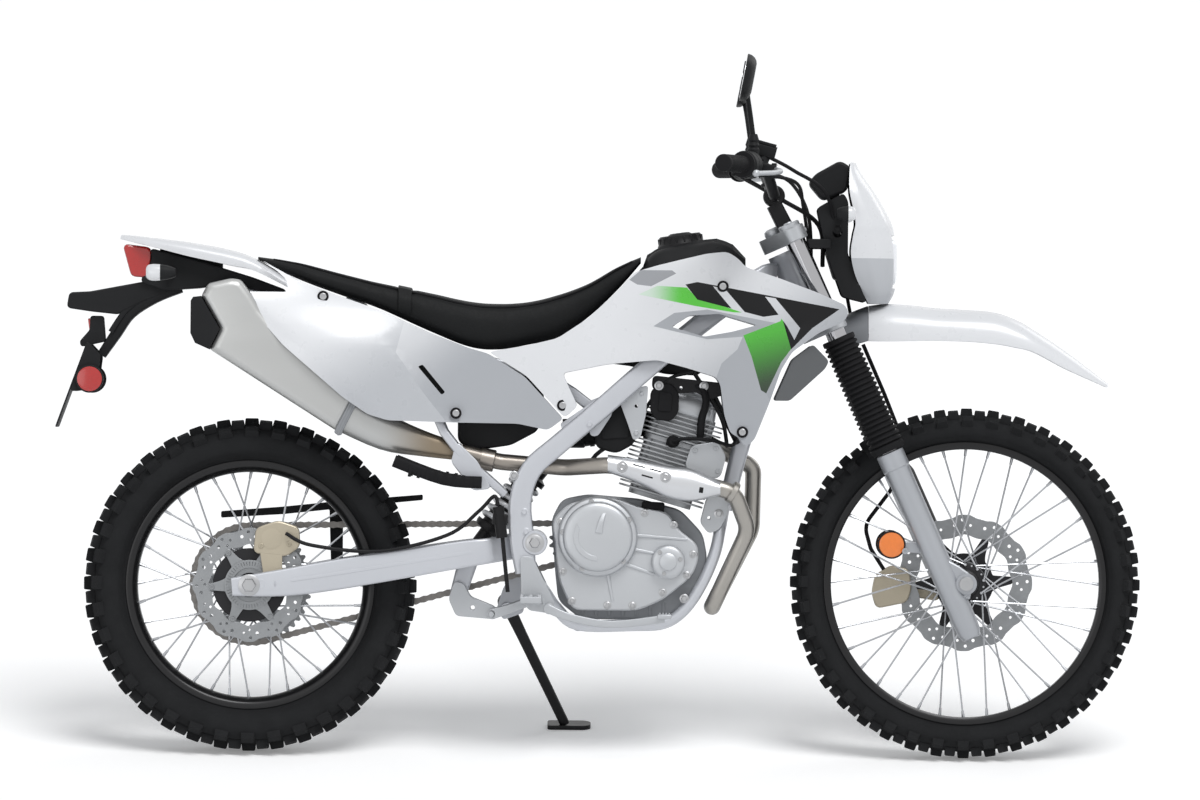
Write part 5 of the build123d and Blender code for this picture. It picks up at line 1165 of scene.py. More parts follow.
@dataclass
class Chassis:
    """Main frame, seat rails, swingarm, linkage and shock."""

    spar_y: float = 108.0
    pivot: Flat = (549.0, 411.0)

    def main_frame(self) -> MeshData:
        """Spars, head tube, down tube, cradle and their gussets."""
        y = self.spar_y
        spar = box_run([
            (1006, 22, 932, 9, 22), (975, 38, 922, 12.5, 21), (857, 76, 830, 12.5, 19.5), (762, 98, 749, 12.5, 19.5),
            (667, y, 664, 12.5, 19.5), (591, y, 599, 12.5, 19.5), (541, y, 552, 12.5, 20.5), (520, y, 490, 12.5, 21.5),
            (524, y, 416, 12.5, 23.5), (532, y, 353, 12.5, 19.5)], 0.55)
        cradle = tube(spline([
            (914, 22, 485), (906, 54, 440), (896, 62, 392), (872, 62, 335), (840, 62, 286), (800, 62, 258),
            (740, 62, 253), (634, 62, 253), (592, 72, 284), (566, 98, 320), (536, y, 354)], 5), 11.0, 20)
        ring = drum(*self.pivot, 24, y - 12, y + 14.5, bore=9.6, edge=2, segments=40)
        gusset = slab([(650, 684), (690, 700), (695, 660), (668, 618), (655, 618), (640, 668)], 6, 88.5, 93.5,
                      [circle(668, 668, 8, 20)])
        bolts = merged(*[
            bolt((x, y + 12.2, z), LEFT, 5.5, 4.5) for x, z in ((532, 432), (528, 470), (652, 640))])
        brace = slab([(596, 640), (668, 690), (700, 700), (706, 690), (668, 652), (612, 604)], 5, y - 4, y + 4)
        pair = both(merged(spar, cradle, ring, gusset, bolts, brace))
        head = turned([(590, 15), (590, 31), (600, 31), (604, 28.5), (712, 28.5), (716, 31), (726, 31), (726, 15)],
                      FORK_FOOT, FORK_AXIS, 44)
        down = box_run([(1006, 0, 898, 15.5, 19), (968, 0, 690, 15.5, 17.5), (938, 0, 574, 15.5, 16.5),
                        (915, 0, 478, 15.5, 14.5)], 0.6)
        crosses = merged(
            tube([(634, 60, 254), (634, -60, 254)], 13, 24), tube([(874, 60, 338), (874, -60, 338)], 8, 20),
            drum(572, 308, 12, -90, 90), drum(584, 592, 10, -y, y),
            tube([(667, y - 4, 668), (667, 4 - y, 668)], 14, 24))
        cheek = rounded([(1000, 868), (1012, 905), (978, 905), (960, 760), (975, 740)], 8)
        plates = merged(*[plate(cheek, side * 16 - 2, side * 16 + 2) for side in (1, -1)])
        return merged(pair, head, down, crosses, plates, self.stand_hinge())

    @staticmethod
    def stand_hinge() -> MeshData:
        """Boss, pin and bolt of the side stand on the left."""
        pivot, hinge = SideStand.PIVOT, SideStand.axis()
        parts = [tube([pivot - hinge * 30, pivot - hinge * 7.6], 15.8, 28),
                 tube([pivot - hinge * 8, pivot + hinge * 12], 6.9, 20),
                 bolt(pivot + hinge * 9.6, hinge, 11.5, 7, washer=False),
                 slab([(510, 354), (543, 354), (526, 273), (489, 260), (476, 280), (488, 320)], 5, 87.5, 97.5)]
        return merged(*parts)

    def fasteners(self) -> MeshData:
        """Pivot bolt and engine mount bolts on the right."""
        y = -self.spar_y
        parts = [turned([(0, 8.2), (0, 18), (2, 18.5), (2.6, 13), (2.6, 8.2)], (self.pivot[0], y - 13, self.pivot[1]),
                        RIGHT, 32),
                 bolt((self.pivot[0], y - 14.8, self.pivot[1]), RIGHT, 11, 7)]
        for x, z in ((785, 716), (872, 716)):
            parts.append(bolt((x, -84, z), RIGHT, 6.2, 5))
        for x, z in ((508, 540), (903, 470), (838, 306)):
            parts.append(bolt((x, -71 if x > 600 else y - 12, z), RIGHT, 6.2, 5))
        return merged(*parts)

    def mounts(self) -> MeshData:
        """Black engine mount plates at the head and the stay along the cylinder."""
        upper = slab([(774, 735), (905, 722), (912, 700), (880, 690), (858, 704), (790, 700), (772, 712)], 8, 76, 80.5,
                     [circle(828, 712, 4, 16)])
        return both(merged(upper, tube([(888, 60, 704), (938, 30, 606)], 5.5, 14)))

    def brackets(self) -> MeshData:
        """Silver front mounts and the stays from the spars to the cylinder head."""
        front = slab([(868, 452), (880, 500), (916, 512), (922, 474), (904, 440), (884, 432)], 8, 66, 70.5,
                     [circle(884, 462, 4, 16)])
        stay = slab([(704, 700), (764, 716), (760, 660), (750, 616), (737, 610), (727, 640)], 7, 85.5, 90,
                    [circle(742, 676, 4, 14)])
        screws = merged(bolt((742, 89.4, 624), LEFT, 5, 4), bolt((722, 89.4, 694), LEFT, 4.4, 3.6),
                        bolt((752, 89.4, 700), LEFT, 4.4, 3.6))
        return both(merged(front, stay, screws))

    def seat_rails(self) -> MeshData:
        """Seat rails, lower stays, pad and the muffler's hanger."""
        rail = box_run([(650, 81.7, 677, 5.8, 10.6), (560, 81.7, 732, 5.8, 9.8), (330, 66, 790, 5.8, 9.8),
                        (120, 50, 852, 5.8, 8.8), (-40, 38, 895, 5.8, 7.8)], 0.8)
        stay = box_run([(491, 104, 503, 4.8, 7.8), (372, 109.8, 622, 4.8, 8.6), (318, 72, 788, 4.8, 7.8)], 0.8)
        foot = slab([(462, 516), (436, 566), (398, 602), (388, 566), (430, 512)], 8, 100.5, 115.5, edge=2)
        pad = slab([(181, 823), (219, 813), (219, 866.5), (181, 880)], 4, -55.5, 55.5, edge=1.5)
        hanger = merged(slab([(150, 845), (190, 832), (190, 740), (150, 760)], 8, -57.5, -42.5, edge=1.2),
                        slab([(151, 768), (189, 768), (185, 653), (155, 653)], 6, -47.4, -42.0, edge=1.0))
        return merged(both(merged(rail, stay, foot)), pad, hanger)

    def arm(self) -> MeshData:
        """Swingarm with its axle plates, adjusters and link boss."""
        rows = [(549, 78, 411, 11.8, 24), (500, 79, 402, 11.8, 24.5), (456, 98, 394, 11.8, 24.5),
                (400, 99.8, 386, 11.8, 26.6), (190, 99.8, 350, 11.8, 29.6), (70, 99.8, 330, 11.8, 26.6),
                (-33, 99.8, 320.4, 11.8, 17.8)]
        beam = box_run(rows, 0.45)
        seam = box_run([(430, 111, 392, 1.0, 3.5), (190, 111.6, 352, 1.0, 3.5), (80, 111.4, 334, 1.0, 3)], 0.4)
        slot = slab([(-22, 312), (30, 318), (30, 336), (-22, 332)], 7, 110.6, 111.9,
                    [rounded([(-12, 318), (18, 320), (18, 328), (-12, 327)], 4)], edge=0.3)
        adjuster = merged(block((38, 108, 325), (15, 7, 22), 1.5, -9), bolt((50, 108.2, 327), (1, 0, 0.16), 4.5, 6))
        pair = both(merged(beam, seam, slot, adjuster))
        rest = merged(drum(424, 390, 23.8, -95, 95, edge=2, segments=44),
                      drum(549, 411, 23.8, -80, 80, bore=9.6, segments=44),
                      box_run([(424, 0, 386, 23.4, 19.8), (402, 0, 311, 23.4, 16)], 0.3, spans=2))
        return merged(pair, rest)

    def linkage(self) -> MeshData:
        """Rocker plates, tie bars and pins under the arm."""
        rocker = slab([(394, 333), (411, 331), (425, 304), (473, 285), (475.5, 263), (399, 269), (385, 300)], 7, 24.3,
                      33.7, [circle(430, 284, 6, 20)], edge=1.5)
        tie = box_run([(466, 41, 272, 3.8, 10.6), (500, 41, 282, 3.8, 9), (559, 41, 305, 3.8, 8.8)], 0.6)
        lug = tube([(466, 34, 272), (466, 44.8, 272)], 7.8, 20)
        cap = bolt((466, 44.4, 272), LEFT, 6.5, 4, washer=False)
        return merged(both(merged(rocker, tie, lug, cap)), drum(402, 318, 7.9, -30, 30), drum(466, 272, 7.9, -30, 30))

    def shock(self) -> tuple[MeshData, MeshData]:
        """Shock body and its coil spring."""
        foot, head = Vector((424, 0, 390)), Vector((584, 0, 592))
        line = head - foot
        length, axis = line.length, line.normalized()
        body = [(24.6, 0.1), (24.6, 13), (50, 14), (52, 28), (60, 31), (66, 31), (66, 22), (length * 0.7, 22),
                (length * 0.7, 31), (length * 0.74, 31), (length * 0.76, 21.5), (length * 0.9, 21.5),
                (length * 0.92, 14), (length - 10.6, 13.8), (length - 10.6, 0.1)]
        path = []
        coils, low, high = 6.5, 70.0, length * 0.7 - 4
        for i in range(int(coils * 20) + 1):
            angle = TURN * i / 20
            path.append(Vector((27.5 * math.cos(angle), 27.5 * math.sin(angle),
                                low + (high - low) * i / (coils * 20))))
        spring = moved(tube(path, 5.2, 12), Matrix.Translation(foot) @ turn_onto(UP, line))
        return turned(body, foot, axis, 36), spring

    def axle(self) -> MeshData:
        """Rear axle with nuts, washers and spacers."""
        z = REAR_AXLE_Z
        right = merged(bolt((0, -111.9, z), RIGHT, 14.5, 10), drum(0, z, 8.8, -122, -110))
        left = merged(bolt((0, 111.9, z), LEFT, 14.5, 10), drum(0, z, 8.8, 110, 122))
        return merged(right, left, drum(0, z, 8.9, -112, 112), drum(0, z, 14.8, 77.2, 87.6),
                      drum(0, z, 14.8, -87.6, -72.2))

    def build(self, shop: Workshop) -> None:
        """Make the chassis pieces."""
        shop.pieces(Body.CHASSIS,
                    ("frame_tubes", self.main_frame(), FRAME_PAINT, "frame"),
                    ("frame_mount_plates", self.mounts(), BLACK_METAL),
                    ("frame_brackets", self.brackets(), CAST_ALLOY),
                    ("frame_bolts", self.fasteners(), BOLT_STEEL),
                    ("seat_rails", self.seat_rails(), FRAME_PAINT, "subframe"),
                    ("swingarm_beams", self.arm(), FRAME_PAINT, "swingarm"),
                    ("shock_linkage", self.linkage(), CAST_ALLOY, "rear_linkage"))
        body, spring = self.shock()
        shop.pieces(Body.CHASSIS,
                    ("shock_body", body, BLACK_METAL, "rear_shock"),
                    ("shock_spring", spring, SPRING_PAINT),
                    ("rear_axle_set", self.axle(), BOLT_STEEL, "rear_axle"))


class SideStand:
    """Side stand, folded out: leg, eye and foot."""

    PIVOT = Vector((494.0, 118.0, 292.0))
    DOWN = Vector((0.39, 0.46, -0.80)).normalized()
    FOLDED = Vector((-0.955, 0.06, -0.29)).normalized()
    LENGTH = 318.0

    @classmethod
    def axis(cls) -> Vector:
        """Direction of the hinge."""
        return cls.DOWN.cross(cls.FOLDED).normalized()

    def leg(self) -> MeshData:
        """Leg with its eye and sole."""
        axis = self.axis()
        knee, sole = self.PIVOT + self.DOWN * (self.LENGTH * 0.5), self.PIVOT + self.DOWN * (self.LENGTH - 22)
        beam = box_run([(*(self.PIVOT + self.DOWN * 16), 6, 12), (*(self.PIVOT + self.DOWN * 80), 7, 10.5),
                        (*knee, 7.5, 10), (*sole, 7.5, 9.5)], 0.8, axis)
        eye = turned([(-6.8, 7.6), (-6.8, 16), (-5.5, 16.8), (7.5, 16.8), (8.8, 16), (8.8, 7.6)], self.PIVOT, axis, 32)
        normal = Vector((0, -math.sin(LEAN), math.cos(LEAN)))
        flat = self.PIVOT + self.DOWN * self.LENGTH
        ground = Vector((flat.x, flat.y + 6, (flat.y + 6) * math.tan(LEAN)))
        turn = Matrix.Rotation(LEAN, 4, "X")
        foot = moved(slab([(-41, -27), (30, -27), (41, -16), (41, 16), (30, 27), (-41, 27)], 8, -4.3, 4.3, edge=1.2),
                     Matrix.Translation(ground + normal * 4.5) @ turn @ Matrix.Rotation(math.pi / 2, 4, "X"))
        return merged(beam, eye, foot)

    def build(self, shop: Workshop) -> None:
        """Make the stand."""
        shop.piece("side_stand_leg", self.leg(), BLACK_METAL, Body.STAND, ("side_stand",))


# ---------------------------------------------------------------- engine
@dataclass
class Engine:
    """Upright single-cylinder engine: case, covers, barrel, head and what is bolted to them."""

    clutch: Flat = (670.0, 424.0)
    pump: Flat = (806.0, 377.0)
    lean: float = 16.0

    def outline(self, inset: float = 0.0) -> list[Flat]:
        """Side view of the lower case."""
        corners = [(583, 455), (611, 485), (650, 495), (703, 499), (752, 480), (803, 473), (823, 440), (862, 410),
                   (864, 382), (852, 350), (796, 304), (748, 283), (623, 283), (598, 335)]
        middle = Vector((730, 390))
        shape = [tuple(Vector(c) + (middle - Vector(c)).normalized() * inset) for c in corners]
        return rounded(shape, 16, 4)

    def right_cover(self) -> MeshData:
        """Clutch cover: raised rim, ribs, round clutch and pump covers."""
        parts = [plate(self.outline(3), -96, -84.4, edge=2.2), plate(self.outline(0.6), -90, -84.4, edge=0.6)]
        x, z = self.clutch
        step = [(0, 0.1), (0, 77), (14, 76.5), (18, 74.5), (20, 72), (21, 67.5), (25, 66.5), (28.5, 64), (30.6, 59),
                (31.6, 48), (32.3, 34), (32.8, 18), (33, 0.1)]
        parts.append(turned(step, (x, -96, z), RIGHT, 96))
        px, pz = self.pump
        parts.append(turned([(0, 0.1), (0, 33), (15, 32.5), (18.5, 30), (20.5, 26), (21, 17), (24.5, 16.5), (26, 14),
                             (26.5, 0.1)], (px, -96, pz), RIGHT, 56))
        ribs = []
        for (x0, z0), (x1, z1) in (((738, 428), (842, 420)), ((724, 372), (780, 352)), ((690, 352), (700, 300)),
                                   ((742, 400), (782, 392))):
            ribs.append(box_run([(x0, -96, z0, 5, 3.2), (x1, -93, z1, 4.4, 3)], 0.6, spans=2))
        arm = box_run([(684, -122, 474, 5, 4), (676, -129.5, 452, 5.5, 3), (672, -129.8, 432, 7, 1.6)], 0.8, AHEAD)
        crescent = [(x + 46 * math.cos(a), z + 46 * math.sin(a))
                    for a in (math.radians(150 + 15 * k) for k in range(9))]
        crescent += [(x + 38 * math.cos(a), z + 38 * math.sin(a))
                     for a in (math.radians(265 - 15 * k) for k in range(8))]
        parts += [*ribs, arm, plate(crescent, -129.2, -126.0, edge=0.8)]
        return merged(*parts)

    def case_bolts(self) -> MeshData:
        """Bolts round both covers."""
        right = [(622, 300), (690, 292), (738, 292), (796, 318), (842, 352), (854, 392), (816, 448), (760, 470),
                 (700, 487), (640, 483), (598, 452), (604, 356)]
        left = [(702, 474), (752, 468), (796, 460), (842, 402), (838, 352), (788, 314), (702, 304)]
        parts = []
        for spots, way, foot, depth, top in ((right, RIGHT, -86, 10.5, -96.2), (left, LEFT, 88, 9.5, 97.2)):
            profile = [(0, 0.1), (0, 9.4), (depth - 2.5, 9), (depth, 7.6), (depth, 0.1)]
            for x, z in spots:
                parts.append(merged(turned(profile, (x, foot, z), way, 22), bolt((x, top, z), way, 4.6, 4.4)))
        for (x, z), count, phase, reach, top, size, height in (
                (self.clutch, 5, 0.4, 68.6, -114.5, 5.2, 5), (self.pump, 3, 0.1, 24, -115.2, 4.2, 3.6)):
            for i in range(count):
                u, v = polar(reach, TURN * (i + phase) / count)
                parts.append(cap_screw((x + u, top, z + v), RIGHT, size, height))
        return merged(*parts)

    def left_cover(self) -> MeshData:
        """Alternator and sprocket covers on the left."""
        rim = rounded([(691, 486), (752, 479), (802, 472), (854, 404), (848, 351), (793, 305), (691, 293)], 14)
        guard = rounded([(588, 470), (684, 478), (684, 330), (640, 330), (596, 350)], 14)
        dome = turned([(0, 0.1), (0, 66), (22, 65.5), (25.5, 62), (26.8, 56), (27, 50.5), (30.5, 50), (32, 47),
                       (32.6, 0.1)], (776, 95, 386), LEFT, 80)
        cap = turned([(0, 0.1), (0, 13), (3, 12), (3, 0.1)], (776, 124.6, 386), LEFT, 28)
        parts = [plate(rim, 84.4, 95.6, edge=2.2), dome, cap, plate(guard, 88.2, 95.6, edge=2)]
        for x, z in ((610, 450), (664, 462), (664, 342), (612, 366)):
            parts.append(bolt((x, 95.2, z), LEFT, 4.8, 4.4))
        for z in (384, 400, 416, 432):
            parts.append(box_run([(612, 95.2, z, 1.4, 2.2), (668, 95.2, z + 4, 1.4, 2.2)], 0.6, spans=1))
        return merged(*parts)

    def place(self, u: float, y: float, height: float) -> Vector:
        """Bike point from a place in the leaning cylinder: ahead, left and up."""
        a = math.radians(self.lean)
        return Vector((785 + u * math.cos(a) + height * math.sin(a), y, 484 - u * math.sin(a) + height * math.cos(a)))

    def layer(self, length: float, width: float, low: float, high: float, corner: float,
              shift: float = 0.0) -> MeshData:
        """Rounded block across the cylinder's axis."""
        half_l, half_w = length / 2, width / 2
        rings = []
        for level, inset in ((low, 0.7), (low + 0.7, 0.0), (high - 0.7, 0.0), (high, 0.7)):
            ring = rounded([(half_l - inset, half_w - inset), (-half_l + inset, half_w - inset),
                            (-half_l + inset, -half_w + inset), (half_l - inset, -half_w + inset)], corner, 5)
            rings.append([self.place(u + shift, v, level) for u, v in ring])
        return loft(rings)

    def barrel(self) -> MeshData:
        """Barrel and head with their cooling fins."""
        parts = [self.layer(124, 110, 10, 186, 30)]
        for step in range(12):
            parts.append(self.layer(168, 144, 19 + step * 8.6, 22.4 + step * 8.6, 34))
        for step in range(6):
            parts.append(self.layer(158, 138, 132 + step * 8.8, 135.4 + step * 8.8, 30))
        parts.append(self.layer(130, 120, 121, 131, 24))
        for u, v in ((52, 46), (-52, 46), (52, -46), (-52, -46)):
            parts.append(tube([self.place(u, v, 20), self.place(u, v, 186)], 9, 18))
        return merged(*parts)

    def head(self) -> MeshData:
        """Cam cover with ridges, side cover and bolts."""
        rings = []
        for level, length, width in ((184, 118, 118), (190, 120, 122), (204, 118, 120), (216, 106, 110), (226, 88, 96),
                                     (228.5, 76, 86)):
            ring = rounded([(length / 2, width / 2), (-length / 2, width / 2), (-length / 2, -width / 2),
                            (length / 2, -width / 2)], 22, 6)
            rings.append([self.place(u - (level - 184) * 0.1, v, level) for u, v in ring])
        parts = [loft(rings)]
        axis = self.place(0, 0, 1) - self.place(0, 0, 0)
        for u, v in ((48, 50), (-48, 50), (48, -50), (-48, -50)):
            parts.append(turned([(186, 0.1), (186, 10), (208, 9), (210, 7), (210, 0.1)], self.place(u, v, 0), axis,
                                20))
            parts.append(bolt(self.place(u, v, 209.6), axis, 5.4, 5))
        for v in (-22, 0, 22):
            ends = [self.place(-30, v, 229.2), self.place(28, v, 229.2)]
            parts.append(tube(ends, 2.0, 8))
        return merged(*parts)

    def side_block(self) -> MeshData:
        """Silver cam-chain side cover low on the right of the head, with its screws."""
        shape = [(838, 562), (850, 600), (900, 608), (914, 580), (904, 542), (860, 534)]
        spots = ((856, 592), (896, 596), (900, 552), (862, 548))
        screws = [cap_screw((x, -77.6, z), RIGHT, 4.6, 4) for x, z in spots]
        return merged(slab(shape, 9, -77.5, -66, edge=2), *screws)

    def trims(self) -> MeshData:
        """Black octagonal cap, plug cap, lead, hose and starter."""
        octagon = [(780, 652), (808, 650), (821, 666), (821, 702), (808, 718), (784, 718), (771, 702), (771, 668)]
        cap = slab(octagon, 6, -84, -60, edge=2.5)
        ridge = slab([(784, 668), (809, 667), (810, 700), (788, 704)], 5, -86.5, -83, edge=1)
        plug = turned([(0, 0.1), (0, 9), (16, 9.5), (20, 12), (30, 12), (34, 8), (34, 0.1)], (808, -52, 606),
                      (0.2, -1, 0.1), 26)
        lead = tube(spline([(814, -86, 609), (836, -92, 614), (886, -90, 612), (926, -60, 602), (936, -30, 620)], 6),
                    3.6, 12)
        hose = tube(spline([(842, -68, 716), (868, -78, 712), (876, -80, 684), (868, -80, 652), (866, -74, 618)], 6),
                    7.5, 16)
        box = block((776, -70, 479), (44, 36, 26), 4, 3)
        return merged(cap, ridge, plug, lead, hose, box)

    def sump(self) -> MeshData:
        """Dark gearbox and sump between the cradle's tubes."""
        shape = [(583, 455), (602, 492), (650, 502), (752, 494), (828, 474), (870, 430), (879, 385), (868, 332),
                 (828, 286), (792, 268), (640, 267), (598, 300), (592, 350)]
        parts = [slab(shape, 14, -49, 49, edge=3)]
        for x in range(640, 800, 26):
            rib = rounded([(x, 272), (x + 4, 272), (x + 4, 300), (x, 300)], 1.5, 2)
            parts.append(plate(rib, -51.5, 51.5, edge=0.8))
        return merged(*parts)

    def boxes(self) -> MeshData:
        """Black parts between the spars: throttle cover, wiring, and the tank's underside."""
        cover = slab([(668, 598), (662, 664), (684, 690), (728, 692), (744, 670), (736, 606), (704, 588)], 10, -70,
                     -34, edge=4)
        lid = slab([(676, 612), (674, 656), (692, 676), (722, 676), (728, 616)], 7, -73, -69, edge=1.5)
        under = slab([(640, 768), (660, 796), (840, 800), (880, 772), (860, 740), (800, 742), (730, 757)], 8, -52, 52,
                     edge=4)
        cords = [tube(spline([(600, -40, 560), (640, -58, 548), (664, -62, 580), (690, -64, 600)], 6), 4.2, 12),
                 tube(spline([(742, -60, 640), (772, -74, 690), (806, -78, 730), (850, -66, 742)], 6), 3.4, 12),
                 tube(spline([(852, -60, 742), (880, -72, 700), (908, -60, 650), (918, -30, 600)], 6), 4.0, 12)]
        return merged(cover, lid, under, *cords)

    def throttle(self) -> MeshData:
        """Intake stub, throttle body, rubber boots and their clips."""
        points = [(784, 0, 645), (740, 0, 637), (640, 0, 622), (600, 0, 622)]
        path = fillet(points, 60)
        radii = []
        for p in path:
            radii.append(24.0 if p.x > 742 else 21 if p.x > 700 else 25.5 if p.x > 640 else 28)
        tubes = tube(path, radii, 32)
        clips = merged(*[turned([(0, 22), (0, 27.5), (9, 27.5), (9, 22)], (x, 0, z), (1, 0, 0.15), 32)
                         for x, z in ((752, 640), (700, 631), (650, 623.5))])
        sensor = merged(block((706, -26, 640), (40, 22, 34), 4, 8), block((692, -24, 618), (26, 20, 18), 3, 0))
        airbox = slab([(401, 651), (559, 651), (559, 720.5), (401, 760.5)], 10, -69.5, 69.5, edge=4)
        tray = slab([(402, 652), (556, 652), (548, 628), (500, 602), (424, 590), (402, 608)], 8, -62, 62, edge=4)
        ribs = [block((x, -70, 676), (5, 4, 40), 1) for x in (420, 452, 484, 516)]
        return merged(tubes, clips, sensor, airbox, tray, *ribs)

    def build(self, shop: Workshop) -> None:
        """Make the engine."""
        case = merged(plate(self.outline(0.5), -84, 55.5, edge=1.5),
                      slab([(690.5, 486.5), (752, 479.5), (802.5, 472.5), (855.5, 405), (849.5, 350.5), (793.5, 304.5),
                            (690.5, 292.5)], 10, 55, 83.8, edge=1.5),
                      drum(615, 412, 10.9, 55, 85))
        shop.pieces(Body.CHASSIS,
                    ("engine_case", case, ENGINE_SILVER, "crankcase"),
                    ("engine_right_cover", self.right_cover(), ENGINE_SILVER, "engine_covers"),
                    ("engine_left_cover", self.left_cover(), ENGINE_SILVER),
                    ("engine_case_bolts", self.case_bolts(), BOLT_STEEL),
                    ("engine_fins", self.barrel(), FIN_ALLOY, "cylinder"),
                    ("engine_cam_cover", self.head(), ENGINE_SILVER),
                    ("engine_side_block", self.side_block(), CAST_ALLOY),
                    ("engine_trims", self.trims(), BLACK_RUBBER),
                    ("engine_sump", self.sump(), DARK_ALLOY),
                    ("engine_black_boxes", self.boxes(), BLACK_PLASTIC),
                    ("throttle_and_airbox", self.throttle(), BLACK_PLASTIC, "intake"))


# ---------------------------------------------------------------- exhaust
@dataclass
class Exhaust:
    """Header pipe, slotted shield, and the muffler with its band.

    SPINE has the shield's middle line: x, z and its width there.
    """

    SPINE = ((688, 565, 34), (745, 551, 46), (806, 531, 62), (851, 525, 62), (905, 519, 26))
    SHIELD_Y = -127.5
    BULGE = 20.5

    def header(self) -> MeshData:
        """Pipe from the head's left front, under the engine's front and back along the right."""
        points = [(880, 44, 606), (970, 50, 560), (968, 50, 440), (892, 44, 290), (892, -50, 290), (960, -84, 440),
                  (932, -112, 512), (800, -122, 546), (690, -118, 562), (606, -70, 556), (480, -66, 566),
                  (404, -78, 584)]
        path = fillet(points, [24, 60, 38, 38, 50, 40, 60, 60, 60, 60], 8)
        parts = [tube(path, 15.8, 32)]
        for place, axis, width in (((934, -111.5, 509), (-0.7, -0.1, 0.4), 12), ((470, -66.6, 567), (-1, 0, 0.2), 30),
                                   ((846, 44, 600), (1, 0.1, -0.55), 14)):
            profile = [(0, 14), (0, 20), (2, 21.5), (width - 2, 21.5), (width, 20), (width, 14)]
            parts.append(turned(profile, place, axis, 36))
        return merged(*parts)

    def shield(self) -> MeshData:
        """Bent shield and the posts under its bolts."""
        arc, steps = math.radians(96), 14
        grid = []
        for p in spline(self.SPINE, 6):
            angles = [math.radians(-96 + 192 * step / steps) for step in range(steps + 1)]
            grid.append([Vector((p.x, self.SHIELD_Y - self.BULGE * math.cos(angle),
                                 p.y + p.z / 2 * math.sin(angle) / math.sin(arc))) for angle in angles])
        posts = [drum(716, 559, 6.8, -147, -136), drum(799, 540, 6.8, -147, -139)]
        return merged(shell(grid, 1.6), *posts)

    def muffler(self) -> MeshData:
        """Muffler barrel with rounded edges and its cone to the pipe."""
        outline = [(-97, 880), (-84, 904), (-41, 914), (-22, 912), (0, 884), (17, 856), (62, 804), (178, 706),
                   (210, 700), (168, 621), (-80, 777), (-60, 817)]
        cone = box_run([(184, -94, 662, 43, 43), (262, -91, 620, 35, 35), (330, -86, 600, 25, 25),
                        (390, -82, 587, 18, 18)], 0.7)
        return merged(pillow(outline, -140, -48, 15, 6), cone)

    def bands(self) -> MeshData:
        """Rolled band round the muffler's joint."""
        hoop = slab([(163, 620), (172, 615), (216, 702), (207, 707)], 3, -142, -46, edge=2)
        groove = plate(rounded([(166.5, 616), (169, 614), (213, 704), (210, 706)], 1, 2), -143.4, -44.6, edge=0.6)
        return merged(hoop, groove)

    def shield_bolts(self) -> MeshData:
        """Round bolts of the shield."""
        profile = [(0, 0.1), (0, 11), (1.6, 10.4), (2.0, 7.4), (4.4, 6.8), (5, 5.4), (3.4, 3.0), (3.4, 0.1)]
        return merged(*[turned(profile, (x, -146.8, z), RIGHT, 24) for x, z in ((716, 559), (799, 540))])

    def shield_slot_shades(self) -> MeshData:
        """Dark blocks on the shield that paint the shade seen through its slots."""
        parts = []
        levels, middles, widths = zip(*self.SPINE)
        for x, z, long, tall, turn in ((748, 561, 24, 3, 14), (780, 553, 24, 3, 15), (764, 541, 22, 3, 15),
                                       (868, 516, 8, 11, 8)):
            middle, half = eased(levels, middles, x), eased(levels, widths, x) / 2
            share = min(abs(z - middle) / half * 0.9945, 0.99)
            y = self.SHIELD_Y - 0.2 - self.BULGE * math.sqrt(1 - share * share)
            parts.append(block((x, y, z), (long, 1.2, tall), 0.5, turn))
        return merged(*parts)

    def build(self, shop: Workshop) -> None:
        """Make the exhaust."""
        shop.piece("exhaust_header", self.header(), EXHAUST_STEEL, Body.CHASSIS, ("header_pipe",))
        shop.piece("exhaust_shield", self.shield(), SHIELD_STEEL, Body.CHASSIS, ("heat_shield",), angle=40)
        # The black slot blocks paint the shade seen through the shield's slots.
        shop.pieces(Body.CHASSIS,
                    ("exhaust_shield_slots", self.shield_slot_shades(), BLACK_METAL),
                    ("exhaust_shield_bolts", self.shield_bolts(), BOLT_STEEL))
        shop.piece("muffler_barrel", self.muffler(), MUFFLER_STEEL, Body.CHASSIS, ("muffler",), angle=30)
        shop.piece("muffler_band", self.bands(), DARK_ALLOY, Body.CHASSIS)


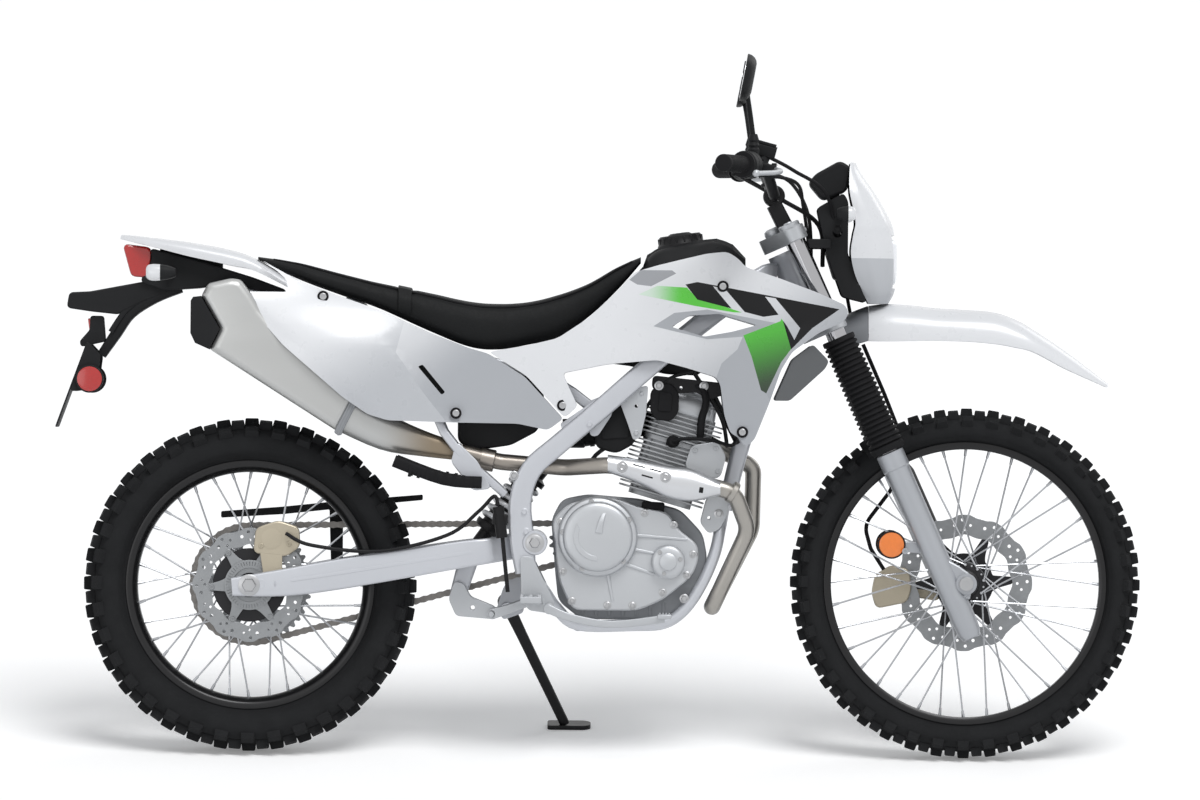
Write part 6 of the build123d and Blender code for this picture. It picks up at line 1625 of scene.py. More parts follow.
# ---------------------------------------------------------------- chain
@dataclass
class ChainDrive:
    """Roller chain, front sprocket and chain guard."""

    rear: Flat = (0.0, REAR_AXLE_Z)
    front: Flat = GEARBOX_SHAFT

    def loop(self) -> tuple[Callable[[float], tuple[float, float, float]], float]:
        """Pitch line round both sprockets.

        Returns:
            A function from distance to (x, z, angle), and the loop's length.
        """
        big, small = pitch_radius(REAR_TEETH), pitch_radius(FRONT_TEETH)
        dx, dz = self.front[0] - self.rear[0], self.front[1] - self.rear[1]
        span, tilt = math.hypot(dx, dz), math.atan2(dz, dx)
        spread = math.acos((big - small) / span)
        run = math.sqrt(span ** 2 - (big - small) ** 2)
        wrap_big, wrap_small = TURN - 2 * spread, 2 * spread
        lengths = (big * wrap_big, run, small * wrap_small, run)

        def at(distance: float) -> tuple[float, float, float]:
            """Place and direction at a distance along the loop."""
            distance %= sum(lengths)
            if distance < lengths[0]:
                a = tilt + spread + distance / big
                return (self.rear[0] + big * math.cos(a), self.rear[1] + big * math.sin(a), a + math.pi / 2)
            distance -= lengths[0]
            a = tilt - spread
            if distance < run:
                x, z = self.rear[0] + big * math.cos(a), self.rear[1] + big * math.sin(a)
                return (x - distance * math.sin(a), z + distance * math.cos(a), a + math.pi / 2)
            distance -= run
            if distance < lengths[2]:
                b = a + distance / small
                return (self.front[0] + small * math.cos(b), self.front[1] + small * math.sin(b), b + math.pi / 2)
            distance -= lengths[2]
            b = tilt + spread
            x, z = self.front[0] + small * math.cos(b), self.front[1] + small * math.sin(b)
            return (x - distance * math.sin(b), z + distance * math.cos(b), b + math.pi / 2)

        return at, sum(lengths)

    def link(self, outer: bool) -> MeshData:
        """One link: two waisted plates, with pins if it is an outer one and a roller if not."""
        half = CHAIN_PITCH / 2
        shape = []
        for centre, first, waist in ((half, -math.pi / 2, 5.0), (-half, math.pi / 2, -5.0)):
            for step in range(7):
                u, v = polar(6.6, first + math.pi * step / 6)
                shape.append((centre + u, v))
            shape.append((0, waist))
        y, reach, size, centres = (7.2, 8.4, 2.6, (half, -half)) if outer else (5.4, 5.0, 4.6, (half,))
        levels = [sorted((side * (y - 0.8), side * (y + 0.8))) for side in (1, -1)]
        layers = [(shape, low, high) for low, high in levels]
        layers += [(circle(centre, 0, size, 10), -reach, reach) for centre in centres]
        return merged(*[loft([[Vector((u, low, v)) for u, v in ring], [Vector((u, high, v)) for u, v in ring]])
                        for ring, low, high in layers])

    def links(self) -> MeshData:
        """Every link of the loop."""
        at, length = self.loop()
        count = round(length / CHAIN_PITCH / 2) * 2
        step = length / count
        parts = []
        patterns = (self.link(True), self.link(False))
        for index in range(count):
            x0, z0, _ = at(step * index)
            x1, z1, _ = at(step * (index + 1))
            angle = math.atan2(z1 - z0, x1 - x0)
            place = Matrix.Translation(((x0 + x1) / 2, CHAIN_Y, (z0 + z1) / 2)) @ Matrix.Rotation(-angle, 4, "Y")
            parts.append(moved(patterns[index % 2], place))
        return merged(*parts)

    def front_wheel(self) -> MeshData:
        """Small sprocket on the gearbox shaft."""
        form = ((0.0, -4.2), (0.2, -2.8), (0.4, 3.6), (0.6, 3.6), (0.8, -2.8))
        disc = plate(toothed(FRONT_TEETH, form), CHAIN_Y - 2.9, CHAIN_Y + 2.9, [circle(0, 0, 11.5, 24)], edge=0.4)
        nut = turned([(0, 11.4), (0, 17), (5, 17), (5, 11.4)], (0, CHAIN_Y + 2.5, 0), LEFT, 6)
        return shifted(merged(disc, nut), self.front[0], 0, self.front[1])

    def guard(self) -> MeshData:
        """Black guard over the upper run."""
        outline = [(-60, 452), (-60, 464), (60, 474), (150, 484), (330, 500), (330, 490), (176, 474), (176, 366),
                   (154, 362), (150, 470), (60, 460)]
        return plate(rounded(outline, 2.5, 2), 84.8, 87.6, edge=0.4)

    def build(self, shop: Workshop) -> None:
        """Make the drive."""
        shop.pieces(Body.CHASSIS,
                    ("chain_links", self.links(), CHAIN_STEEL, "chain"),
                    ("front_chain_sprocket", self.front_wheel(), DISC_STEEL, "front_sprocket"),
                    ("chain_guard_sheet", self.guard(), BLACK_PLASTIC, "chain_guard"))


# ---------------------------------------------------------------- handlebar and controls
@dataclass
class Cockpit:
    """Handlebar, grips, controls, mirrors, meter and cables."""

    half: float = 404.0
    bar_r: float = 11.0
    perch_at: float = 178.0

    def ends(self) -> tuple[Vector, Vector]:
        """Left tip of the bar and the direction inwards along it."""
        tip, inner = Vector((902, self.half, 1141)), Vector((984, 170, 1139))
        return tip, (inner - tip).normalized()

    def at(self, distance: float) -> Vector:
        """Point on the left end of the bar, measured inwards from its tip."""
        tip, along = self.ends()
        return tip + along * distance

    def bar(self) -> MeshData:
        """Bent bar from tip to tip."""
        left = [(902, self.half, 1141), (984, 170, 1139), (1004, 68, 1084)]
        right = [(x, -y, z) for x, y, z in reversed(left)]
        return tube(fillet(left + right, [60, 50, 50, 60], 8), self.bar_r, 28)

    def grip(self) -> MeshData:
        """Ribbed rubber grip with its flange and end cap."""
        tip, along = self.ends()
        profile: list[Flat] = [(-3.8, 0.1), (-3.8, 11), (-2.5, 15.5), (0, 16.8)]
        for i in range(22):
            base = 4 + i * 4.6
            profile += [(base, 16.9), (base + 2.6, 16.9), (base + 2.8, 15.7), (base + 4.4, 15.7)]
        profile += [(112, 17), (113.5, 24.6), (117.5, 24.6), (117.8, 20), (117.8, 11.4), (4, 11.4), (4, 0.1)]
        return turned(profile, tip, along, 32)

    def lever(self) -> MeshData:
        """Bent lever blade with a ball end."""
        px, py, pz = self.at(self.perch_at)
        blade = box_run([(px + 38, py - 4, pz - 8, 8, 5.6), (px + 50, py + 30, pz - 11, 6.8, 5),
                         (px + 44, py + 66, pz - 14, 5.6, 4.8), (px + 30, py + 100, pz - 16, 5.2, 4.8),
                         (px + 4, py + 163, pz - 18, 5.6, 4.8)], 0.9, AHEAD)
        ball = turned([(-7, 0.1), (-6, 4), (-3, 6.4), (0, 7.2), (3, 6.4), (6, 4), (7, 0.1)],
                      (px + 4, py + 163, pz - 18), UP, 20)
        return merged(blade, ball)

    def perch(self) -> MeshData:
        """Lever perch and its clamp with two screws."""
        tip, along = self.ends()
        px, py, pz = self.at(self.perch_at)
        clamp = turned([(160, 11.4), (160, 17), (162, 18), (190, 18), (192, 17), (192, 11.4)], tip, along, 30)
        arm = box_run([(px + 8, py, pz - 2, 8.8, 8.8), (px + 42, py + 8, pz - 8, 8.4, 8.4)], 0.5, LEFT, 2)
        pivot = bolt((px + 40, py + 2, pz + 0.5), UP, 5, 4)
        screws = merged(*[cap_screw((px + 16.5, py - 5, pz + v), AHEAD, 3.6, 3) for v in (12, -14)])
        return merged(clamp, arm, pivot, screws)

    def housing(self, radius: float) -> MeshData:
        """Switch housing with its seam, buttons and screws."""
        tip, along = self.ends()
        p = self.at(139)
        body = turned([(119, 11.4), (119, radius - 3), (122, radius), (138, radius), (138.6, radius - 1),
                             (140, radius - 1), (140.6, radius), (157, radius), (159.6, radius - 3), (159.6, 11.4)],
                            tip, along, 32)
        parts = [body]
        for dy, dz, size in ((-9, 8, (7, 9, 6)), (7, 10, (7, 11, 8)), (0, -10, (7, 16, 6))):
            parts.append(block((p.x - radius + 1.5, p.y + dy, p.z + dz), size, 1.4))
        return merged(*parts)

    def reservoir(self) -> MeshData:
        """Brake fluid reservoir with its lid, on the right."""
        px, py, pz = self.at(self.perch_at)
        body = box_run([(px + 7, py - 38, pz + 32, 19, 13), (px + 43, py - 38, pz + 22.5, 19, 13)], 0.35, LEFT, 2)
        lid = box_run([(px + 6.5, py - 38, pz + 47, 19.5, 3.2), (px + 44, py - 38, pz + 37, 19.5, 3.2)], 0.6, LEFT, 2)
        link = tube([(px + 14, py - 10, pz - 4), (px + 22, py - 33, pz + 16)], 10.5, 20)
        screws = merged(*[cap_screw((px + u, py - 38 + v, pz + 50 - u * 0.26), (0.26, 0, 1), 3.2, 2)
                          for u, v in ((14, 12), (36, -12))])
        return merged(body, lid, link, screws)

    def mirror(self) -> tuple[MeshData, MeshData]:
        """Left mirror: boot, bent stalk and rounded shell, and its glass."""
        x, y, z = self.at(self.perch_at)
        boot = turned([(18, 8), (18, 11.5), (30, 12), (34, 9.5), (38, 11.5), (44, 9.2), (48, 10.8), (60, 7), (60, 5)],
                      (x, y, z), UP, 28)
        stalk = tube(fillet([(x - 1, y, z + 56), (x - 8, y + 6, z + 104), (x - 16, y + 50, z + 150)], 40, 6), 4.9, 16)
        outline = [(-88, -12), (-74, -44), (-30, -52), (30, -48), (66, -34), (84, -6), (74, 24), (30, 40), (-40, 42),
                   (-80, 22)]
        normal = Vector((-1, 0, 0.18)).normalized()
        across, origin = Vector(LEFT), Vector((x - 20, y + 62, z + 172))
        up = across.cross(normal)
        rings = []
        for depth, share in ((0.3, 0.94), (0.0, 0.985), (-2, 1.0), (-8, 0.97), (-14, 0.88), (-18, 0.76),
                             (-19.8, 0.62)):
            ring = rounded([(u * share, v * share) for u, v in outline], 22 * share, 4)
            rings.append([origin + normal * depth + across * u + up * v for u, v in ring])
        glass_ring = rounded([(u * 0.91, v * 0.91) for u, v in outline], 20, 4)
        glass = loft([[origin + normal * 0.1 + across * u + up * v for u, v in glass_ring],
                      [origin + normal * 0.5 + across * u + up * v for u, v in glass_ring]])
        return merged(boot, stalk, loft(rings)), glass

    def risers(self) -> MeshData:
        """Posts and split clamps that hold the bar, with their screws."""
        parts = []
        for side in (1, -1):
            y = side * 38
            parts.append(box_run([(1035, y, 1008, 11.6, 15.6), (1004, y, 1068, 11.6, 14.6)], 0.5, LEFT, 2))
            parts.append(drum(1004, 1084, 20.8, y - 12, y + 12, bore=11.4, edge=2.5, segments=40))
            for dx in (-14.5, 14.5):
                parts.append(cap_screw((1004 + dx - 5, y, 1084 + 14 - dx * 0.35), (-0.42, 0, 0.9), 4.2, 6))
        return merged(*parts)

    def meter(self) -> MeshData:
        """Meter case with a hood."""
        outline = [(1075, 1109), (1086, 1123), (1130, 1148), (1147, 1138), (1140, 1098), (1099, 1081)]
        return slab(outline, 7, -57.5, 57.5, edge=5)

    def screen(self) -> MeshData:
        """Dark meter glass."""
        ring = rounded([(50, 22), (-50, 22), (-50, -20), (50, -20)], 10)
        normal = Vector((-0.5, 0, 0.87)).normalized()
        up, origin = Vector((0.87, 0, 0.5)), Vector((1107, 0, 1134.2))
        rings = [[origin + normal * d + Vector((0, u, 0)) + up * v for u, v in ring] for d in (-1.0, 0.6)]
        return loft(rings)

    def cables(self) -> MeshData:
        """Brake hose, throttle and clutch cables from the controls to the fork."""
        hx, hy, hz = self.at(150)
        parts = [tube(spline([(hx + 40, -hy + 60, hz + 16), (hx + 88, -hy + 120, hz - 8), (1104, -100, 1086),
                              (1128, -50, 980), (1150, 30, 880), (1166, 60, 800)], 8), 3.6, 12),
                 tube(spline([(hx + 10, -hy + 20, hz - 18), (hx + 90, -hy + 90, hz - 30), (1060, -90, 1060),
                              (1075, -44, 960)], 8), 3.4, 12),
                 tube(spline([(hx + 44, hy - 40, hz - 6), (1040, 170, 1112), (1072, 100, 1050), (1078, 44, 960)], 8),
                      3.6, 12),
                 tube(spline([(hx, hy - 30, hz - 20), (1020, 140, 1080), (1092, 84, 1030), (1100, 50, 950)], 8), 4.4,
                      12)]
        return merged(*parts)

    def build(self, shop: Workshop) -> None:
        """Make the cockpit."""
        steering = Body.STEERING
        shop.piece("bar_tube", self.bar(), BLACK_METAL, steering, ("handlebar",))
        shop.piece("bar_grips", both(self.grip()), BLACK_RUBBER, steering, ("grips",), angle=40)
        controls = merged(both(self.perch()), self.housing(21.8), mirrored(self.housing(26.5)),
                          mirrored(self.reservoir()))
        shop.pieces(steering,
                    ("bar_controls", controls, BLACK_PLASTIC, "hand_controls"),
                    ("bar_levers", both(self.lever()), CAST_ALLOY))
        case, glass = self.mirror()
        shop.pieces(steering,
                    ("mirror_cases", both(case), BLACK_PLASTIC, "mirrors"),
                    ("mirror_faces", both(glass), MIRROR_GLASS),
                    ("bar_risers", self.risers(), BLACK_METAL),
                    ("meter_case", self.meter(), BLACK_PLASTIC, "meter"),
                    ("meter_screen", self.screen(), SCREEN_GLASS),
                    ("bar_cables", self.cables(), BLACK_RUBBER))


# ---------------------------------------------------------------- nose
@dataclass
class Nose:
    """Headlamp, its cowl, the black backing and the front indicators."""

    shape: tuple[Flat, ...] = ((1.0, 0.0), (0.985, 0.25), (0.93, 0.5), (0.72, 0.84), (0.36, 0.98), (0.0, 1.0))

    def line(self, rear: float, front: float, half: float) -> list[Flat]:
        """Plan line at one height, from right to left."""
        left = [(rear + v * (front - rear), u * half) for u, v in self.shape]
        return [(x, -y) for x, y in left] + left[-2::-1]

    def cowl(self) -> tuple[MeshData, list[int]]:
        """Cowl with an opening for the lamp, and the finish of each face."""
        levels = [(878, 1187, 1226, 58), (900, 1176, 1237.5, 75), (935, 1160, 1242, 90), (975, 1152, 1242.5, 97.5),
                  (1010, 1156, 1237, 102), (1038, 1160, 1229, 103.5), (1092, 1149, 1198, 91.5), (1128, 1148, 1172, 77),
                  (1149.5, 1150, 1161, 69)]
        painted, border, back = 0, 1, 2
        border_rows, lamp_columns, lamp_low, lamp_high, thickness = 22, 9, 906, 1008, 2.6
        grid = woven([spline([Vector((x, y, z)) for x, y in self.line(rear, front, half)], 5)
                      for z, rear, front, half in levels], 8)
        rows, size = len(grid), len(grid[0])
        outer = [p for row in grid for p in row]
        inner = []
        for i in range(rows):
            for j in range(size):
                along = grid[min(i + 1, rows - 1)][j] - grid[max(i - 1, 0)][j]
                across = grid[i][min(j + 1, size - 1)] - grid[i][max(j - 1, 0)]
                inner.append(grid[i][j] + across.cross(along).normalized() * -thickness)
        solid = set()
        for i in range(rows - 1):
            for j in range(size - 1):
                height = ((grid[i][j] + grid[i + 1][j + 1]) / 2).z
                if abs(j - size // 2) >= lamp_columns or not lamp_low < height < lamp_high:
                    solid.add((i, j))
        count = len(outer)
        faces, picks = [], []
        for i, j in sorted(solid):
            a, d = i * size + j, (i + 1) * size + j
            b, c = a + 1, d + 1
            paint = border if i < border_rows else painted
            faces += [(a, b, c, d), (d + count, c + count, b + count, a + count)]
            picks += [paint, back]
            for p, q, near in ((a, b, (i - 1, j)), (b, c, (i, j + 1)), (c, d, (i + 1, j)), (d, a, (i, j - 1))):
                if near not in solid:
                    faces.append((q, p, p + count, q + count))
                    picks.append(paint)
        return (outer + inner, faces), picks

    def lamp(self) -> tuple[MeshData, MeshData]:
        """Lamp bowl and its domed lens."""
        rings = []
        for x, low, high, half in ((1172.5, 920, 998, 46), (1190, 912, 1003, 54), (1206, 909.5, 1005.5, 57.5),
                                   (1229, 909.5, 1005.5, 57.5), (1232, 912, 1003, 55)):
            middle, tall = (low + high) / 2, (high - low) / 2
            ring = rounded([(half * 0.72, -tall), (half, -tall * 0.45), (half, tall * 0.45), (half * 0.72, tall),
                            (-half * 0.72, tall), (-half, tall * 0.45), (-half, -tall * 0.45), (-half * 0.72, -tall)],
                           16, 4)
            rings.append([Vector((x, u, middle + v)) for u, v in ring])
        bowl = loft(rings)
        lens = []
        for x, share in ((1226, 0.93), (1233, 0.93), (1238.5, 0.86), (1241.5, 0.7), (1242.6, 0.45), (1242.9, 0.12)):
            ring = rounded([(41, -48), (57, -21), (57, 21), (41, 48), (-41, 48), (-57, 21), (-57, -21), (-41, -48)],
                           16, 4)
            lens.append([Vector((x, u * share, 957.5 + v * share)) for u, v in ring])
        return bowl, loft(lens)

    def backing(self) -> MeshData:
        """Black side plates, bridge and stays behind the cowl."""
        outline = rounded([(1087, 1061), (1137, 1090), (1146, 1074), (1146, 972), (1183, 880), (1137, 891),
                           (1105, 979)], 7)
        pair = both(merged(plate(outline, 78.3, 81.8, [circle(1126, 1014, 10, 20)]),
                           slab([(1069, 1000), (1112, 1000), (1112, 985), (1074, 985)], 3, 80, 99.5, edge=1.5),
                           bolt((1126, 81.6, 1020), LEFT, 6, 5)))
        bridge = merged(slab([(1105, 979), (1146, 972), (1160, 925), (1122, 925)], 6, -78, 78, edge=2),
                        slab([(1140, 940), (1171, 940), (1171, 968), (1140, 968)], 4, -19.5, 19.5, edge=2),
                        slab([(1112, 1086), (1128, 1092), (1134, 975), (1118, 975)], 3, -13.6, 13.6, edge=1.5))
        return merged(pair, bridge)

    def indicator(self) -> tuple[MeshData, MeshData, MeshData]:
        """Front indicator: stalk, case and lens."""
        stalk = turned([(82.4, 0.1), (82.4, 8), (96, 8), (98, 6.5), (112, 6.5), (118, 8), (118, 0.1)], (1130, 0, 1046),
                       LEFT, 24)
        case = box_run([(1124, 142, 1050, 22, 9.5), (1134, 142, 1050, 26, 13.2), (1145, 142, 1050, 26.6, 14.6)], 0.85,
                       spans=3)
        lens = box_run([(1145.4, 142, 1050, 26, 14), (1152, 142, 1050, 25.6, 13.8), (1157, 142, 1050, 23, 12),
                        (1159.6, 142, 1050, 18, 8)], 0.9, spans=3)
        return stalk, case, lens

    def build(self, shop: Workshop) -> None:
        """Make the nose."""
        steering = Body.STEERING
        data, picks = self.cowl()
        shop.piece("nose_cowl", data, (WHITE_PLASTIC, GREY_PLASTIC, BLACK_PLASTIC), steering, ("headlight_cowl",),
                   angle=50, picks=picks, recalculate=False)
        bowl, lens = self.lamp()
        shop.pieces(steering,
                    ("headlamp_bowl", bowl, BLACK_PLASTIC, "headlamp"),
                    ("headlamp_lens", lens, LAMP_GLASS),
                    ("nose_backing", self.backing(), BLACK_PLASTIC, "headlight_bracket"))
        stalk, case, lens = self.indicator()
        shop.pieces(steering,
                    ("front_indicator_cases", both(merged(stalk, case)), BLACK_PLASTIC, "front_indicators"),
                    ("front_indicator_lenses", both(lens), CLEAR_LENS))


# ---------------------------------------------------------------- front fender and brake
@dataclass
class FrontFender:
    """High front fender with its grey rear piece and stay."""

    shape: tuple[Flat, ...] = ((1.0, 0.0), (0.985, 0.2), (0.9, 0.52), (0.72, 0.78), (0.46, 0.94), (0.2, 0.985),
                               (0.14, 1.0))

    def arch(self, x: float, low: float, high: float, half: float) -> list[Vector]:
        """Line over the fender from right to left."""
        right = [Vector((x, -u * half, low + v * (high - low))) for u, v in self.shape]
        left = [Vector((p.x, -p.y, p.z)) for p in reversed(right)]
        return spline(right + left, 4)

    def sheet(self, rows: Sequence[tuple[float, float, float, float]]) -> MeshData:
        """Smooth shell through arches."""
        return shell(woven([self.arch(*row) for row in rows], 5), -3.0)

    def build(self, shop: Workshop) -> None:
        """Make the fender."""
        rows = [(1189, 806, 871, 60), (1222, 806, 875, 64), (1270, 807, 873, 65.4), (1318, 808, 868, 66),
                (1380, 807, 865, 65), (1433, 803, 860.5, 62), (1475, 796, 846, 59.5), (1510, 787, 826, 56),
                (1568, 757, 788, 47), (1622, 733, 748, 36), (1650, 721, 727, 26)]
        shop.piece("front_fender_shell", self.sheet(rows), WHITE_PLASTIC, Body.STEERING, ("front_fender",), angle=50)
        rear = [(1142, 815, 850, 50), (1160, 800, 860, 56), (1188, 806, 871, 60)]
        shop.piece("front_fender_mount", self.sheet(rear), MOUNT_GREY, Body.STEERING, angle=50)
        stay = box_run([(1190, 0, 815, 15.5, 5), (1158, 0, 826, 15.5, 8)], 0.4, spans=2)
        shop.piece("front_fender_stay", stay, BLACK_METAL, Body.STEERING)


@dataclass
class FrontBrake:
    """Front calliper, hose and round reflectors."""

    disc_y: float = 60.0

    def caliper(self) -> MeshData:
        """Calliper body over the disc, with its mount and pins."""
        outline = [(1212, 292), (1268, 304), (1276, 330), (1270, 364), (1238, 370), (1210, 352), (1204, 320)]
        outer = slab(outline, 9, 67.2, 83.6, edge=3)
        inner = slab(outline, 9, 38.2, 52.8, edge=3)
        bridge = slab([(1206, 322), (1212, 350), (1238, 368), (1243, 360), (1219, 344), (1214, 322)], 4, 50, 70,
                      edge=1.5)
        mount = slab([(1258, 345), (1264, 316), (1330, 306), (1340, 330)], 8, 82, 90, edge=2)
        pistons = merged(*[turned([(0, 0.1), (0, 13), (2, 14), (3, 11), (3, 0.1)], (1240, 82.6, z), LEFT, 28)
                           for z in (320, 348)])
        pins = merged(cap_screw((1262, 83, 352), LEFT, 5, 4), cap_screw((1258, 83, 310), LEFT, 5, 4),
                      bolt((1312, 89.4, 320), LEFT, 6, 5))
        return merged(outer, inner, bridge, mount, pistons, pins)

    def hose(self) -> MeshData:
        """Hose from the lower clamp round to the calliper, with its banjo."""
        path = fillet([(1180, 58, 800), (1222, 60, 705), (1262, 60, 606), (1238, 58, 520), (1186, 62, 450),
                       (1198.8, 62, 404.6), (1225.84, 62, 362.55)], [90, 60, 60, 40, 24], 8)
        return tube(path, 3.9, 14)

    def reflector(self, x: float, z: float, low: float, high: float) -> tuple[MeshData, MeshData]:
        """Round reflector: lens and black rim."""
        deep = high - low
        lens = [(0, 0.1), (0, 24), (deep - 1.6, 24), (deep - 0.4, 20), (deep, 0.1)]
        rim = [(0, 22), (0, 27), (deep - 1.4, 27), (deep - 0.6, 26), (deep - 0.6, 24.2), (2, 24.2)]
        return turned(lens, (x, low, z), LEFT, 40), turned(rim, (x, low, z), LEFT, 40)

    def build(self, shop: Workshop) -> None:
        """Make the front brake and reflectors."""
        shop.pieces(Body.STEERING,
                    ("front_caliper_body", self.caliper(), GOLD_ALLOY, "front_caliper"),
                    ("front_brake_hose", self.hose(), BLACK_RUBBER, "brake_hose"))
        lens, rim = self.reflector(1236, 414, 92.4, 101.8)
        shop.pieces(Body.STEERING,
                    ("front_reflector_lenses", both(lens), ORANGE_LENS, "front_reflectors"),
                    ("front_reflector_rims", both(rim), BLACK_PLASTIC))


# ---------------------------------------------------------------- small parts on the chassis
@dataclass
class Footwork:
    """Pegs, pedal, gear lever, rear calliper and rear brake cylinder."""

    def peg(self) -> MeshData:
        """Toothed peg and its bracket."""
        parts = [slab([(522, 384), (544, 384), (588, 296), (584, 276), (540, 282), (526, 300)], 6, 121.6, 127.9,
                      edge=1)]
        for x in (528, 545, 562):
            parts.append(box_run([(x, 127, 302, 3, 8), (x - 2, 224, 306, 3, 6.5)], 0.3, AHEAD, 2))
        for y in (128, 160, 192, 222):
            parts.append(box_run([(526 - (y - 128) * 0.03, y, 302, 3, 6), (566 - (y - 128) * 0.04, y, 302, 3, 6)], 0.3,
                                 LEFT, 2))
        for i in range(9):
            parts.append(block((527.5 - i * 0.3, 134 + i * 10.4, 311), (4, 4.4, 4), 0.8))
            parts.append(block((561 - i * 0.4, 134 + i * 10.4, 311), (4, 4.4, 4), 0.8))
        parts.append(bolt((560, 127.4, 300), LEFT, 6, 5))
        return merged(*parts)

    def pillion(self) -> MeshData:
        """Folded pillion peg with its rubber block."""
        bar = box_run([(446, 128.3, 526, 11.6, 11.6), (372, 128.3, 532, 11.6, 11.6), (277, 126, 566, 13.6, 11.6)], 0.6,
                      spans=4)
        ribs = merged(*[box_run([(430 - i * 17, 139.6, 527 + i * 2.6, 0.9, 10),
                                 (424 - i * 17, 139.6, 528 + i * 2.6, 0.9, 10)], 0.6, spans=1) for i in range(8)])
        return merged(bar, ribs)

    def pedal(self) -> MeshData:
        """Brake pedal on the right with its toothed pad."""
        run = box_run([(574, -134, 286, 3.8, 8.8), (620, -138, 268, 3.8, 7.8), (700, -144, 256, 3.8, 7.4),
                       (800, -150, 268, 3.8, 7.6)], 0.6)
        pad = block((800, -150, 272), (27, 43, 9), 2)
        teeth = merged(*[block((791 + i * 6, -150, 277.5), (2.4, 38, 3.5), 0.6) for i in range(4)])
        pin = drum(578, 285, 6.9, -136.6, -128.4)
        boss = drum(578, 285, 11, -137.6, -130)
        return merged(run, pad, teeth, pin, boss)

    def gear_lever(self) -> MeshData:
        """Gear lever on the left with its rubber tip."""
        run = box_run([(630, 128, 338, 3.8, 7.6), (690, 134, 316, 3.8, 6.8), (747, 138, 308, 3.8, 6.8)], 0.6)
        shaft = merged(drum(640, 336, 7.9, 96.4, 130), drum(640, 336, 11, 124, 131))
        tip = turned([(0, 0.1), (0, 6), (2, 7.6), (40, 7.6), (42, 6), (42, 0.1)], (748, 134, 309), LEFT, 24)
        return merged(run, shaft, tip)

    def caliper(self) -> MeshData:
        """Rear calliper with its bracket and piston cover."""
        outline = rounded([(10, 388), (70, 382), (94, 400), (92, 434), (54, 446), (14, 432)], 9)
        parts = [plate(outline, -87.8, -75.2, edge=3), plate(outline, -60.8, -46.5, edge=3),
                 slab([(14, 432), (54, 446), (92, 434), (88, 424), (54, 437), (18, 425)], 4, -77, -59, edge=1.5),
                 turned([(0, 0.1), (0, 19), (1.6, 20), (2.2, 14), (2.2, 0.1)], (42, -87, 414), RIGHT, 36),
                 slab([(20, 394), (62, 390), (62, 347), (28, 342)], 7, -87.6, -80, edge=1),
                 cap_screw((76, -87.2, 404), RIGHT, 5, 3), cap_screw((22, -87.2, 400), RIGHT, 5, 3)]
        return merged(*parts)

    def cylinder(self) -> MeshData:
        """Rear master cylinder with its rod and hose to the calliper."""
        y = -126
        parts = [tube([(478, y, 480), (486, y, 420)], 11, 24), tube([(487, y, 420), (498, y, 316)], 4, 14),
                 block((482, y, 456), (30, 13, 22), 3, 6), cap_screw((476, y - 6, 464), RIGHT, 5, 4),
                 tube(spline([(478, y, 482), (470, y + 2, 500), (440, -118, 470), (380, -116, 424), (250, -115, 392),
                              (120, -112, 402), (70, -96, 424)], 8), 3.6, 12)]
        return merged(*parts)

    def build(self, shop: Workshop) -> None:
        """Make the small parts."""
        chassis = Body.CHASSIS
        shop.pieces(chassis,
                    ("peg_frames", both(self.peg()), CAST_ALLOY, "footpegs"),
                    ("pillion_pegs", both(self.pillion()), BLACK_RUBBER),
                    ("pedal_and_lever", merged(self.pedal(), self.gear_lever()), CAST_ALLOY, "foot_controls"),
                    ("rear_caliper_body", self.caliper(), GOLD_ALLOY, "rear_caliper"),
                    ("rear_brake_cylinder", self.cylinder(), BLACK_METAL))
# ---------------------------------------------------------------- painted side panels
def eased(levels: Sequence[float], values: Sequence[float], at: float) -> float:
    """Smooth value between levels, with tangents from the neighbours."""
    at = min(max(at, levels[0]), levels[-1])
    i = max(k for k in range(len(levels) - 1) if levels[k] <= at)
    slopes = []
    for k in (i, i + 1):
        before, after = max(k - 1, 0), min(k + 1, len(levels) - 1)
        slopes.append((values[after] - values[before]) / (levels[after] - levels[before]))
    span = levels[i + 1] - levels[i]
    t = (at - levels[i]) / span
    return ((2 * t ** 3 - 3 * t ** 2 + 1) * values[i] + (t ** 3 - 2 * t ** 2 + t) * span * slopes[0]
            + (3 * t ** 2 - 2 * t ** 3) * values[i + 1] + (t ** 3 - t ** 2) * span * slopes[1])


def inside(x: float, z: float, outline: Sequence[Flat]) -> bool:
    """Whether a flat place lies in a closed outline."""
    hit = False
    for (x0, z0), (x1, z1) in zip(outline, [*outline[1:], outline[0]]):
        if (z0 > z) != (z1 > z) and x < (x1 - x0) * (z - z0) / (z1 - z0) + x0:
            hit = not hit
    return hit


def apart(x: float, z: float, start: Flat, end: Flat) -> float:
    """Signed distance of a flat place from a line, positive on its left."""
    dx, dz = end[0] - start[0], end[1] - start[1]
    return (dx * (z - start[1]) - dz * (x - start[0])) / math.hypot(dx, dz)


